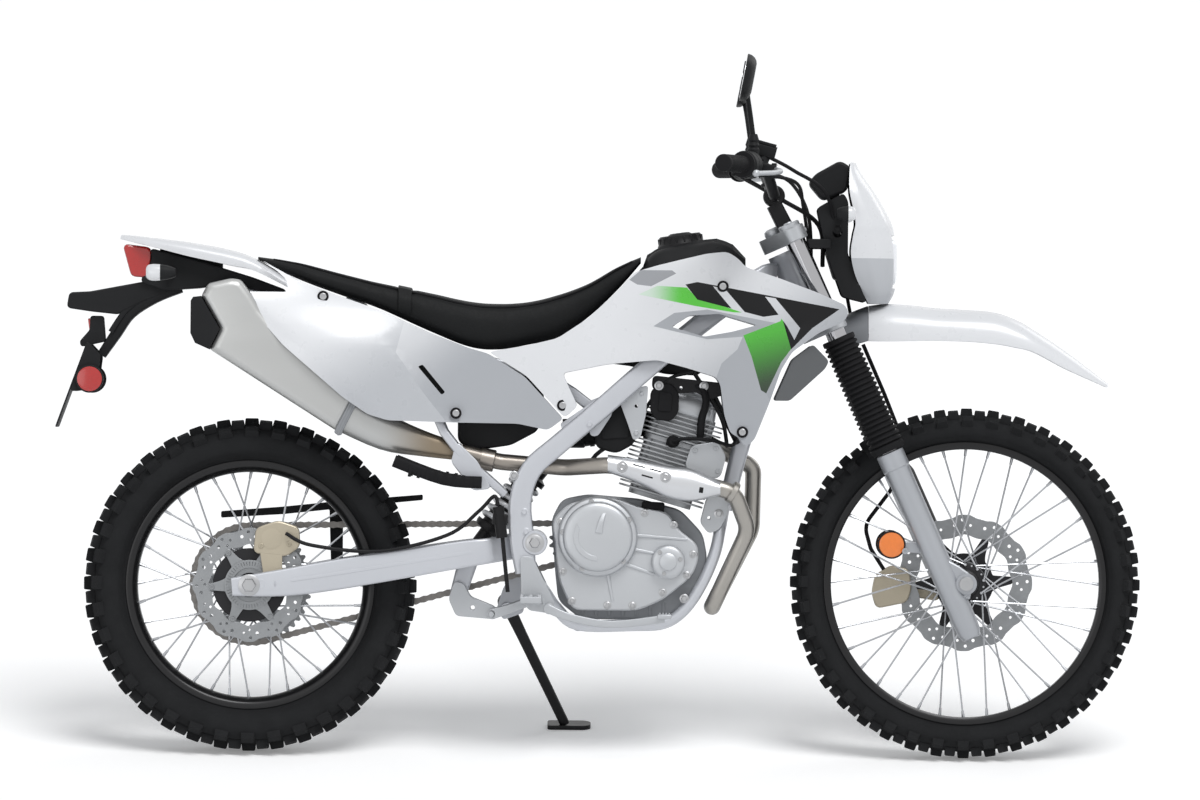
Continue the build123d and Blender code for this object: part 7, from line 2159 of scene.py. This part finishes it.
@dataclass(frozen=True)
class Fold:
    """Line along which a panel steps in on its left side.

    Args:
        start: One end of the line, as (x, z).
        end: Its other end.
        depth: Size of the step.
        width: Distance over which it happens.
        fade: Distance beyond the ends over which it dies away.
    """

    start: Flat
    end: Flat
    depth: float
    width: float
    fade: float = 40.0

    def push(self, x: float, z: float) -> float:
        """Depth of the step at a place."""
        share = min(max(apart(x, z, self.start, self.end) / self.width + 0.5, 0.0), 1.0)
        dx, dz = self.end[0] - self.start[0], self.end[1] - self.start[1]
        length = math.hypot(dx, dz)
        along = ((x - self.start[0]) * dx + (z - self.start[1]) * dz) / length
        beyond = max(-along, along - length, 0.0)
        return self.depth * share * share * (3 - 2 * share) * max(1 - beyond / self.fade, 0.0)


@dataclass
class Panel:
    """Thin painted panel on the left: a bent sheet cut to an outline, with graphics in other finishes.

    Args:
        xs: Levels in x of the sheet's table.
        table: Height and the values of y at xs.
        outline: Edge of the panel.
        holes: Openings in it.
        graphics: Outline and number of the finish, in painting order.
        folds: Steps in the sheet.
        step: Size of its facets.
    """

    xs: Sequence[float]
    table: Sequence[tuple[float, Sequence[float]]]
    outline: Sequence[Flat]
    holes: Sequence[Sequence[Flat]] = ()
    graphics: Sequence[tuple[Sequence[Flat], int]] = ()
    folds: Sequence[Fold] = ()
    step: float = 12.0
    thickness: float = 2.6

    def depth(self, x: float, z: float) -> float:
        """Place of the outer face across the machine."""
        levels = [level for level, _ in self.table]
        line = [eased(self.xs, values, x) for _, values in self.table]
        return eased(levels, line, z) - sum(fold.push(x, z) for fold in self.folds)

    def cut(self, mesh: bmesh.types.BMesh, start: Flat, end: Flat, reach: float | None = None) -> None:
        """Cut the flat mesh along a line, everywhere or only near the part between its ends."""
        a, b = Vector((start[0], 0, start[1])), Vector((end[0], 0, end[1]))
        normal = Vector((b.z - a.z, 0, a.x - b.x)).normalized()
        faces = list(mesh.faces)
        if reach is not None:
            box = [(min(start[k], end[k]) - reach, max(start[k], end[k]) + reach) for k in (0, 1)]
            faces = [f for f in faces if all(
                min(v.co[c] for v in f.verts) <= high and max(v.co[c] for v in f.verts) >= low
                for c, (low, high) in zip((0, 2), box))]
        edges = {e for f in faces for e in f.edges}
        points = {v for f in faces for v in f.verts}
        bmesh.ops.bisect_plane(mesh, geom=[*faces, *edges, *points], dist=1e-4, plane_co=a, plane_no=normal)

    def build(self) -> tuple[MeshData, list[int]]:
        """Make the panel.

        Returns:
            Its mesh data and the number of the finish for each face.
        """
        flat = plate(self.outline, -0.5, 0.5, self.holes, edge=0.0)
        mesh = bmesh.new()
        points = [mesh.verts.new(p) for p in flat[0]]
        for face in flat[1]:
            if all(flat[0][i].y > 0 for i in face):
                mesh.faces.new([points[i] for i in face])
        loose = [v for v in mesh.verts if not v.link_faces]
        bmesh.ops.delete(mesh, geom=loose, context="VERTS")
        bmesh.ops.remove_doubles(mesh, verts=mesh.verts, dist=0.01)
        for axis in (0, 1):
            low, high = min(p[axis] for p in self.outline), max(p[axis] for p in self.outline)
            for k in range(int(low // self.step) + 1, int(high // self.step) + 1):
                level = k * self.step
                ends = ((level, 0.0), (level, 1.0)) if axis == 0 else ((0.0, level), (1.0, level))
                self.cut(mesh, *ends)
        for shape, _ in self.graphics:
            for start, end in zip(shape, [*shape[1:], shape[0]]):
                self.cut(mesh, start, end, 0.5)
        bmesh.ops.triangulate(mesh, faces=[f for f in mesh.faces if len(f.verts) > 4])
        mesh.verts.index_update()
        count = len(mesh.verts)
        outer = [Vector((v.co.x, self.depth(v.co.x, v.co.z), v.co.z)) for v in mesh.verts]
        inner = [p - Vector((0, self.thickness, 0)) for p in outer]
        faces, picks = [], []
        for face in mesh.faces:
            ring = [v.index for v in face.verts]
            if face.normal.y < 0:
                ring.reverse()
            middle = face.calc_center_median()
            number = 0
            for shape, finish in self.graphics:
                if inside(middle.x, middle.z, shape):
                    number = finish
            faces.append(tuple(ring))
            picks.append(number)
            faces.append(tuple(i + count for i in reversed(ring)))
            picks.append(0)
        mesh.verts.ensure_lookup_table()
        for edge in mesh.edges:
            if len(edge.link_faces) == 1:
                face = edge.link_faces[0]
                ring = [v.index for v in face.verts]
                if face.normal.y < 0:
                    ring.reverse()
                a, b = edge.verts[0].index, edge.verts[1].index
                if ring[(ring.index(a) + 1) % len(ring)] != b:
                    a, b = b, a
                faces.append((b, a, a + count, b + count))
                picks.append(0)
        mesh.free()
        return (outer + inner, faces), picks


@dataclass
class SidePanels:
    """Shrouds beside the tank and covers under the seat."""

    shroud_outline: tuple[Flat, ...] = (
        (457, 777), (475, 781), (532, 791), (589, 805), (647, 844), (704, 898), (736, 934), (779, 947),
        (818, 957), (875, 971), (914, 975), (935, 962), (950, 945), (1010, 926), (1087, 898), (1141, 874),
        (1148, 858), (1137, 841), (1092, 821), (1040, 783), (1019, 748), (997, 684), (969, 613), (952, 599),
        (938, 618), (923, 626), (911, 660), (903, 718), (895, 733), (839, 750), (781, 765), (685, 756),
        (599, 738), (629, 675), (604, 652), (530, 732))
    cover_outline: tuple[Flat, ...] = (
        (18, 950), (89, 911), (166, 883), (243, 857), (339, 815), (417, 785), (454, 775), (527, 730),
        (601, 650), (572, 628), (514, 640), (390, 641), (264, 644), (226, 655), (178, 687), (62, 786),
        (17, 837), (-26, 889), (70, 889), (66, 914), (43, 933))

    def shroud(self) -> Panel:
        """Left shroud with its graphics and vent."""
        grey_wedge = [(726, 919), (748, 938), (808, 938), (816, 932), (768, 907), (741, 910)]
        green_band = [(744, 891), (780, 908), (837, 905), (853, 888), (943, 858), (928, 858), (857, 869)]
        black = [(834, 911), (857, 916), (972, 895), (1130, 866), (1078, 829), (1038, 788), (1018, 855), (984, 850),
                 (857, 882)]
        green_low = [(946, 814), (1017, 842), (1020, 851), (1038, 789), (1019, 763), (991, 703), (981, 709),
                     (962, 774)]
        slashes = [[(887, 908), (910, 903), (949, 858), (924, 864)],
                   [(987, 889), (1007, 886), (1055, 829), (1044, 806), (1030, 832)]]
        bezel = [(773, 830), (813, 856), (876, 863), (1020, 836), (954, 812), (877, 806)]
        vent = rounded([(808, 829), (842, 851), (899, 855), (972, 834), (925, 821), (871, 811)], 4, 3)
        lower = [(935, 787), (946, 814), (962, 774), (981, 709), (991, 703), (1000, 684), (969, 590), (930, 590),
                 (905, 660), (895, 733), (905, 760)]
        return Panel(
            (440, 620, 770, 905, 1000, 1160),
            ((560, (116, 128, 138, 146, 152, 170)), (770, (110, 124, 134, 146, 156, 172)),
             (880, (100, 108, 118, 136, 150, 168)), (990, (78, 80, 86, 92, 136, 160))),
            rounded(self.shroud_outline, 9, 3), [vent],
            [(lower, 5), (bezel, 5), (grey_wedge, 4), (green_band, 2), (green_low, 3), (black, 1),
             *[(slash, 0) for slash in slashes]],
            [Fold((1040, 838), (876, 808), 3.0, 14.0), Fold((877, 806), (760, 832), 3.0, 14.0, 30),
             Fold((640, 690), (700, 760), -2.0, 20)])

    def cover(self) -> Panel:
        """Left side cover with its slot and creases."""
        slot = rounded([(321, 748), (330, 752), (374, 699), (367, 694)], 3, 3)
        return Panel(
            (-60, 150, 280, 430, 620),
            ((600, (152, 158, 150, 126, 128)), (770, (150, 154, 140, 116, 124)), (870, (134, 120, 110, 104, 112)),
             (960, (84, 92, 96, 90, 84))),
            rounded(self.cover_outline, 8, 3), [slot],
            [([(278, 775), (331, 699), (374, 645), (640, 620), (640, 800), (300, 860)], 1)],
            [Fold((278, 775), (374, 645), 4.0, 8.0), Fold((240, 650), (20, 838), 4.0, 20.0)])

    def inner_panel(self) -> MeshData:
        """Dark sheet below the shroud's nose, painted shade that stands for a shroud's inner side in shadow."""
        outline = [(1008, 690), (1042, 768), (1080, 797), (1110, 766), (1103, 752), (1036, 690)]
        return slab(outline, 6, 141.5, 145.5, edge=1)

    def screws(self) -> tuple[MeshData, MeshData]:
        """Panel bolts and their black washers."""
        heads, washers = [], []
        for x, z, y in ((906, 908, 131), (946, 628, 149.2), (600, 676, 125.5), (137, 881, 119), (395, 659, 132)):
            heads.append(cap_screw((x, y, z), LEFT, 6.6, 3.4))
            washers.append(turned([(0, 0.1), (0, 11), (1.2, 10.7), (1.6, 0.1)], (x, y - 0.6, z), LEFT, 28))
        return merged(*heads), merged(*washers)

    def build(self, shop: Workshop) -> None:
        """Make the panels of both sides."""
        finishes = (PANEL_FADE, GRAPHIC_BLACK, GREEN_BAND, GREEN_FADE, GRAPHIC_GREY, SILVER_PLASTIC)
        for name, panel, paints, node in (
                ("side_shroud_skins", self.shroud(), finishes, "side_shrouds"),
                ("side_cover_skins", self.cover(), (COVER_FADE, COVER_SILVER), "side_covers")):
            data, picks = panel.build()
            shop.piece(name, both(data), paints, Body.CHASSIS, (node,), angle=40, picks=picks * 2, recalculate=False)
        heads, washers = self.screws()
        shop.pieces(Body.CHASSIS,
                    ("panel_screws", both(heads), BOLT_STEEL),
                    ("panel_washers", both(washers), BLACK_RUBBER),
                    # Dark sheets below the shrouds' noses paint the shade on a shroud's inner side.
                    ("shroud_inner_panels", both(self.inner_panel()), FAR_SIDE_SHADE))
        backing = slab([(306, 762), (340, 770), (392, 704), (386, 672), (350, 682)], 6, 110.5, 113.5)
        shop.piece("cover_slot_backings", both(backing), BLACK_PLASTIC, Body.CHASSIS)


# ---------------------------------------------------------------- seat
@dataclass
class Seat:
    """Stitched seat: a crowned cushion with a welt along each side, and a strap."""

    rows: tuple[tuple[float, float, float, float], ...] = (
        (10, 951, 957, 62), (89, 914, 946, 88), (166, 886, 927, 98), (243, 860, 909, 102), (339, 818, 891, 104),
        (417, 788, 875, 102), (474, 783, 871, 98), (532, 793, 875, 90), (588, 807, 889, 80), (646, 846, 911, 70),
        (703, 900, 944, 61), (748, 952, 964, 54))
    shape: tuple[Flat, ...] = ((0.86, 0.0), (0.955, 0.16), (0.985, 0.35), (0.965, 0.62), (0.88, 0.86), (0.82, 0.93),
                               (0.6, 0.985), (0.3, 0.998), (0.0, 1.0))
    welt: int = 5
    cols: int = 6
    spans: int = 9

    def knots(self) -> list[tuple[float, float, float, float]]:
        """Rows along the seat, smoothed between those of the table."""
        line = spline([Vector((x, low, high)) for x, low, high, _ in self.rows], self.spans)
        half = spline([Vector((x, w, 0)) for x, _, _, w in self.rows], self.spans)
        return [(p.x, p.y, p.z, h.y) for p, h in zip(line, half)]

    def relief(self, x: float, u: float, v: float) -> float:
        """Small rise and fall of the cover: seams pull in, foam stands up and the vinyl wrinkles."""
        seam = -2.2 * math.exp(-(((v - 0.9) / 0.05) ** 2)) if u > 0.7 else 0.0
        cross = sum(-2.0 * math.exp(-(((x - at) / 5.0) ** 2)) for at in (283, 306)) * (1 if v > 0.2 else 0.3)
        folds = 0.55 * math.sin(x * 0.085 + 4 * v) * math.sin(x * 0.031 + 1.3) * (0.4 + v * (1 - v) * 3)
        return seam + cross + folds

    def cushion(self) -> MeshData:
        """The cushion itself."""
        rings = []
        for x, low, high, half in self.knots():
            right = spline([Vector((u * half, low + v * (high - low), 0)) for u, v in self.shape], self.cols)
            ring = []
            for p in right:
                u, v = p.x / half, (p.y - low) / max(high - low, 1)
                push = self.relief(x, u, v) * min((high - low) / 40, 1)
                aim = Vector((u * 0.9, v - 0.35)).normalized()
                ring.append(Vector((x, p.x + aim.x * push - 0.4, p.y + min(aim.y * push, 0) - 0.2)))
            left = [Vector((p.x, -p.y, p.z)) for p in reversed(ring[:-1])]
            rings.append([*[Vector((p.x, max(p.y, 0), p.z)) for p in ring], *left])
        return loft(rings)

    def piping(self) -> MeshData:
        """Welt along the seam on the left."""
        u, v = self.shape[self.welt]
        path = [Vector((x, u * half + 0.2, low + v * (high - low) - 0.9)) for x, low, high, half in self.knots()[4:-4]]
        return tube(path, 2.3, 8)

    def strap(self) -> MeshData:
        """Strap across the cushion."""
        rings = []
        low, high, half = 841.0, 899.5, 103.4
        right = spline([Vector((u * (half + 1.6), low + v * (high - low) + 1.4, 0)) for u, v in self.shape[1:]], 5)
        line = right + [Vector((-p.x, p.y, 0)) for p in reversed(right[:-1])]
        for i, p in enumerate(line):
            ahead = (line[min(i + 1, len(line) - 1)] - line[max(i - 1, 0)]).normalized()
            out = Vector((ahead.y, -ahead.x, 0))
            out = out if out.dot(Vector((p.x, p.y - 860, 0))) > 0 else -out
            ring = []
            for dx, rise in ((-13, 0.0), (-12, 1.6), (12, 1.6), (13, 0.0), (12, -2.4), (-12, -2.4)):
                ring.append(Vector((294 + dx, p.x + out.x * rise, p.y + out.y * rise - dx * 0.2)))
            rings.append(ring)
        return loft(rings)

    def build(self, shop: Workshop) -> None:
        """Make the seat."""
        seat = shop.piece("seat_cushion", self.cushion(), SEAT_VINYL, Body.CHASSIS, ("seat",), angle=60)
        shop.piece("seat_welts", both(self.piping()), BLACK_RUBBER, Body.CHASSIS, angle=60)
        shop.piece("seat_strap", self.strap(), SEAT_VINYL, Body.CHASSIS, angle=40)


# ---------------------------------------------------------------- tank top
@dataclass
class TankTop:
    """Black tank cover with ridges, and the filler cap."""

    rows: tuple[tuple[float, float, float, float], ...] = ((690, 806, 884, 57.6), (752, 804, 942, 73.6),
                                                           (762, 805, 966, 75.6), (789, 812, 984, 77.6),
                                                           (856, 866, 996, 77.6), (894, 886, 1000, 71.6),
                                                           (925, 911, 989, 57.6), (950, 936, 963, 43.6))
    shape: tuple[Flat, ...] = ((0.8, 0.0), (1.0, 0.3), (1.0, 0.6), (0.9, 0.8), (0.76, 0.92), (0.5, 0.985), (0.25, 1.0),
                               (0.0, 1.0))

    def shellwork(self) -> MeshData:
        """Upper part of the tank."""
        rings = []
        line = spline([Vector((x, low, high)) for x, low, high, _ in self.rows], 5)
        half = spline([Vector((x, w, 0)) for x, _, _, w in self.rows], 5)
        for p, w in zip(line, half):
            low = max(p.y, 870.0 if p.x > 760 else p.y)
            right = spline([Vector((u * w.y, low + v * (p.z - low), 0)) for u, v in self.shape], 4)
            ridge = []
            for q in right:
                drop = 2.6 if abs(abs(q.x) - 40) < 6 and q.y > p.z - 12 else 0.0
                ridge.append(Vector((p.x, q.x, q.y - drop)))
            rings.append([*ridge, *[Vector((r.x, -r.y, r.z)) for r in reversed(ridge[:-1])]])
        return loft(rings)

    def cap(self) -> tuple[MeshData, MeshData]:
        """Filler cap with its bright rim and key flap."""
        start, axis = (826, 0, 984), (-0.14, 0, 1)
        body = turned([(0, 0.1), (0, 45.5), (6, 45.2), (8, 43.5), (16, 41.6), (22, 40.6), (24, 38), (24, 36),
                       (22.5, 34), (22.5, 24), (25, 22), (27.4, 18), (27.8, 0.1)], start, axis, 64)
        grips = [block((*polar(41.6, TURN * i / 18), 14), (4, 4, 13), 1.2) for i in range(18)]
        flap = block((0, 0, 26.4), (30, 13, 2.6), 1.1)
        key = turned([(0, 0.1), (0, 7), (1.0, 6.6), (1.0, 0.1)], (0, 0, 27.0), UP, 24)
        place = Matrix.Translation(start) @ turn_onto(UP, axis)
        return merged(body, moved(merged(*grips, flap), place)), moved(key, place)

    def build(self, shop: Workshop) -> None:
        """Make the tank's top and cap."""
        shop.piece("tank_top_cover", self.shellwork(), BLACK_PLASTIC, Body.CHASSIS, angle=30)
        cap, key = self.cap()
        shop.pieces(Body.CHASSIS,
                    ("filler_cap", cap, BLACK_METAL, "fuel_cap"),
                    ("filler_lock", key, BOLT_STEEL))


# ---------------------------------------------------------------- tail
@dataclass
class Tail:
    """Rear fender, inner fender, plate holder, lamp, indicators and reflectors."""

    shape: tuple[Flat, ...] = ((1.0, 0.0), (0.995, 0.25), (0.97, 0.55), (0.9, 0.78), (0.75, 0.92), (0.5, 0.98),
                               (0.2, 1.0))

    def fender(self) -> MeshData:
        """White tail as a thin shell."""
        rows = [(-255, 988, 994, 36), (-226, 981, 992, 52), (-199, 975, 989, 62), (-160, 965, 985, 69),
                (-119, 955, 980, 74), (-46, 940, 967, 80), (4, 929, 950, 82), (80, 892, 906, 80)]
        lines = []
        for x, low, high, half in rows:
            right = [Vector((x, -u * half, low + v * (high - low))) for u, v in self.shape]
            lines.append(spline(right + [Vector((p.x, -p.y, p.z)) for p in reversed(right)], 4))
        return shell(woven(lines, 5), -3.2)

    def holder(self) -> MeshData:
        """Inner fender, plate arm with ribs, board and cheeks."""
        parts = [slab([(-196, 968), (-193, 950), (-214, 908), (-170, 893), (-103, 898), (-52, 907), (60, 877.6),
                       (60, 892), (0, 914), (-100, 944)], 6, -43.5, 43.5, edge=3),
                 plate([(-180, 940), (-180, 982), (-119, 975), (-60, 964.5), (-60, 920)], -17.5, 17.5),
                 slab([(-205, 905), (-314, 884), (-352, 882), (-356, 857), (-313, 851), (-262, 846), (-220, 868),
                       (-165, 888)], 6, -33.6, 33.6, edge=3),
                 box_run([(-140, 0, 897, 33, 11), (-190, 0, 877, 33, 11.5), (-237, 0, 846, 30, 11.5),
                          (-264, 0, 806, 26, 10.5), (-292, 0, 764, 22, 9)], 0.5),
                 *[box_run([(-160, y, 897, 2.4, 5), (-204, y, 880, 2.4, 5), (-245, y, 851, 2.4, 5),
                            (-274, y, 809, 2.4, 5)], 0.4) for y in (-30, 30)],
                 slab([(-312, 838), (-290, 838), (-286, 792), (-330, 782), (-332, 790), (-313, 812)], 4, -21.6, 21.6,
                      edge=2)]
        for side in (1, -1):
            low, high = sorted((side * 72.2, side * 74.8))
            parts.append(slab([(-317, 790), (-292, 764), (-300, 700), (-349, 694)], 7, low, high, edge=0.8))
        normal = Vector((-0.94, 0, 0.34)).normalized()
        up = Vector((0.34, 0, 0.94)).normalized()
        corner = Vector((-316, 0, 788))
        board = []
        for low, inset in ((0.1, 0.8), (0.7, 0.0), (2.3, 0.0), (2.9, 0.8)):
            ring = rounded([(75 - inset, -2 + inset), (-75 + inset, -2 + inset), (-75 + inset, -174 + inset),
                            (75 - inset, -174 + inset)], 9, 4)
            board.append([corner + normal * low + Vector((0, u, 0)) + up * v for u, v in ring])
        return merged(*parts, loft(board))

    def build(self, shop: Workshop) -> None:
        """Make the tail."""
        chassis = Body.CHASSIS
        shop.piece("tail_fender", self.fender(), WHITE_PLASTIC, chassis, ("rear_fender",), angle=50)
        shop.piece("tail_holder", self.holder(), BLACK_PLASTIC, chassis, ("plate_holder",))
        lens = rounded([(-247.5, 975), (-201.5, 969.5), (-201.5, 950), (-207.5, 919), (-232, 920)], 7, 4)
        light = block((-314, 0, 822), (6, 38, 26), 2, -8)
        shop.piece("tail_lamp_lens", merged(plate(lens, -45.6, 45.6, edge=4), light), RED_LENS, chassis,
                   ("rear_lamps",))
        reflectors = turned([(1.6, 0.1), (1.6, 24), (7.6, 24), (8.6, 20), (8.7, 0.1)], (-312, 75.3, 718), LEFT, 40)
        rims = turned([(0, 0.1), (0, 27), (7.4, 27), (8.2, 26), (8.2, 24.3), (2, 24.3), (2, 0.1)], (-312, 75.3, 718),
                      LEFT, 40)
        shop.pieces(chassis,
                    ("tail_reflectors", both(reflectors), RED_LENS),
                    ("tail_reflector_rims", both(rims), BLACK_PLASTIC))
        stalk = turned([(44.4, 0.1), (44.4, 8), (62, 8), (64, 6.6), (86, 6.6), (92, 8), (92, 0.1)], (-158, 0, 924),
                       LEFT, 24)
        case = box_run([(-147, 118, 924, 22, 8), (-160, 118, 924, 26.6, 12.8), (-176, 118, 924, 27.6, 15.6)], 0.85,
                       spans=3)
        glass = box_run([(-176.4, 118, 924, 27, 15.6), (-190, 118, 924, 26.6, 16.2), (-200, 118, 924, 24, 14),
                         (-203.6, 118, 924, 18, 9)], 0.9, spans=3)
        shop.pieces(chassis,
                    ("rear_indicator_cases", both(merged(stalk, case)), BLACK_PLASTIC, "rear_indicators"),
                    ("rear_indicator_lenses", both(glass), CLEAR_LENS))


# ---------------------------------------------------------------- stage
@dataclass
class Stage:
    """Floor, lights, world and camera.

    Args:
        target: Place that the camera looks at.
        distance: Distance from it to the camera, in metres.
        rise: Height of the camera's line, in degrees.
        roll: Turn of the picture, in degrees.
        lens: Focal length in millimetres.
    """

    target: Point = (0.002, 0.0, 0.663)
    distance: float = 27.0
    rise: float = 10.0
    roll: float = 0.58
    lens: float = 418.0

    def floor(self) -> None:
        """Plain pale floor that keeps the shadow."""
        bpy.ops.mesh.primitive_plane_add(size=300, location=(0, 0, 0))
        floor = bpy.context.object
        floor.name = "floor"
        made = bpy.data.materials.new("floor")
        made.use_nodes = True
        shader = made.node_tree.nodes["Principled BSDF"]
        shader.inputs["Base Color"].default_value = (0.93, 0.93, 0.93, 1.0)
        shader.inputs["Roughness"].default_value = 0.9
        shader.inputs["Specular IOR Level"].default_value = 0.0
        shader.inputs["Emission Color"].default_value = (1.0, 1.0, 1.0, 1.0)
        shader.inputs["Emission Strength"].default_value = 0.22
        floor.data.materials.append(made)

    @staticmethod
    def add(light: bpy.types.Light, facing: Quaternion, place: Point = (0.0, 0.0, 0.0)) -> None:
        """Put a light on the stage."""
        obj = bpy.data.objects.new(light.name, light)
        obj.location = place
        obj.rotation_euler = facing.to_euler()
        bpy.context.scene.collection.objects.link(obj)

    def lamp(self, name: str, place: Point, power: float, size: float, aim: Point = (0, 0, 0.6)) -> None:
        """Large square lamp aimed at the machine."""
        light = bpy.data.lights.new(name, "AREA")
        light.energy, light.size = power, size
        self.add(light, (Vector(aim) - Vector(place)).to_track_quat("-Z", "Y"), place)

    def sun(self, name: str, towards: Point, power: float, spread: float) -> None:
        """Wide sun that lights the machine and the floor alike."""
        light = bpy.data.lights.new(name, "SUN")
        light.energy, light.angle = power, math.radians(spread)
        self.add(light, Vector(towards).to_track_quat("Z", "Y"))

    def world(self) -> None:
        """White background, seen by the camera and in reflections, and dimmer as a light."""
        world = bpy.data.worlds.new("studio")
        bpy.context.scene.world = world
        world.use_nodes = True
        nodes, links = world.node_tree.nodes, world.node_tree.links
        nodes.clear()
        rays = nodes.new("ShaderNodeLightPath").outputs
        seen = rays["Is Camera Ray"]
        for name in ("Is Glossy Ray", "Is Transmission Ray"):
            highest = nodes.new("ShaderNodeMath")
            highest.operation = "MAXIMUM"
            links.new(seen, highest.inputs[0])
            links.new(rays[name], highest.inputs[1])
            seen = highest.outputs["Value"]
        soft, white = nodes.new("ShaderNodeBackground"), nodes.new("ShaderNodeBackground")
        soft.inputs["Color"].default_value = (0.9, 0.93, 0.97, 1.0)
        soft.inputs["Strength"].default_value = 0.35
        white.inputs["Color"].default_value = (1.0, 1.0, 1.0, 1.0)
        white.inputs["Strength"].default_value = 1.0
        mix = nodes.new("ShaderNodeMixShader")
        links.new(seen, mix.inputs["Fac"])
        links.new(soft.outputs["Background"], mix.inputs[1])
        links.new(white.outputs["Background"], mix.inputs[2])
        links.new(mix.outputs["Shader"], nodes.new("ShaderNodeOutputWorld").inputs["Surface"])

    def camera(self) -> None:
        """Camera at the machine's right, square to it."""
        data = bpy.data.cameras.new("camera")
        data.lens = self.lens
        data.sensor_width = 36.0
        data.clip_end = 60.0
        obj = bpy.data.objects.new("camera", data)
        rise = math.radians(self.rise)
        back = Vector((0.0, -math.cos(rise), math.sin(rise)))
        obj.location = Vector(self.target) + back * self.distance
        look = (-back).to_track_quat("-Z", "Y")
        obj.rotation_mode = "QUATERNION"
        obj.rotation_quaternion = look @ Matrix.Rotation(math.radians(self.roll), 3, "Z").to_quaternion()
        bpy.context.scene.collection.objects.link(obj)
        bpy.context.scene.camera = obj

    def build(self) -> None:
        """Set the stage."""
        self.floor()
        self.world()
        self.sun("key", (0.25, -0.5, 1.0), 1.9, 30.0)
        self.lamp("fill", (-3.0, -5.0, 1.8), 22.0, 2.5)
        self.lamp("rim", (3.5, 3.5, 3.0), 30.0, 2.5)
        self.camera()
        view = bpy.context.scene.view_settings
        view.view_transform = "Standard"


def main() -> None:
    """Dress the frame and set the stage."""
    logging.basicConfig(level=logging.INFO, format="%(message)s")
    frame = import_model()
    shop = Workshop.on()
    front_rows = (LugRow(0, 0, 23, 21, 0.0), LugRow(21, 12, 15, 19, 0.5), LugRow(36.5, 40, 11, 20, 0.02))
    rear_rows = (LugRow(0, 0, 29, 25, 0.0), LugRow(27.5, 12, 20, 23, 0.5), LugRow(47, 42, 14, 24, 0.03))
    front, rear = (WHEELBASE, FRONT_AXLE_Z), (0.0, REAR_AXLE_Z)
    parts = (
        Tyre("front", Body.FRONT_WHEEL, front, tip_r=337.8, half=43, rim_r=273, rim_half=24, pitches=40, height=12,
             rows=front_rows),
        Tyre("rear", Body.REAR_WHEEL, rear, tip_r=321.2, half=55, rim_r=240, rim_half=31, pitches=36, height=12,
             rows=rear_rows),
        FrontWheel("front", Body.FRONT_WHEEL, front, rim_r=273, rim_inner=258.5, rim_half=24, flange_r=40,
                   flange_y=26, disc_y=60, disc_r=132, band_r=92, lobes=12),
        RearWheel("rear", Body.REAR_WHEEL, rear, rim_r=240, rim_inner=217, rim_half=31, flange_r=48,
                  flange_y=30, disc_y=-68, disc_r=110, band_r=77, lobes=12),
        Fork(), Chassis(), SideStand(), Engine(), Exhaust(), ChainDrive(), Cockpit(), Nose(), FrontFender(),
        FrontBrake(), Footwork(), SidePanels(), Seat(), TankTop(), Tail())
    for part in parts:
        part.build(shop)
    for node, finish, edge in (("muffler_end_cap", BLACK_PLASTIC, 3.0), ("fuel_tank", BLACK_PLASTIC, 3.0)):
        shop.dress(frame, node, finish, edge)
    Stage().build()
    LOG.info("%d pieces", shop.count)
    bpy.context.view_layer.update()


if __name__ == "__main__":
    main()
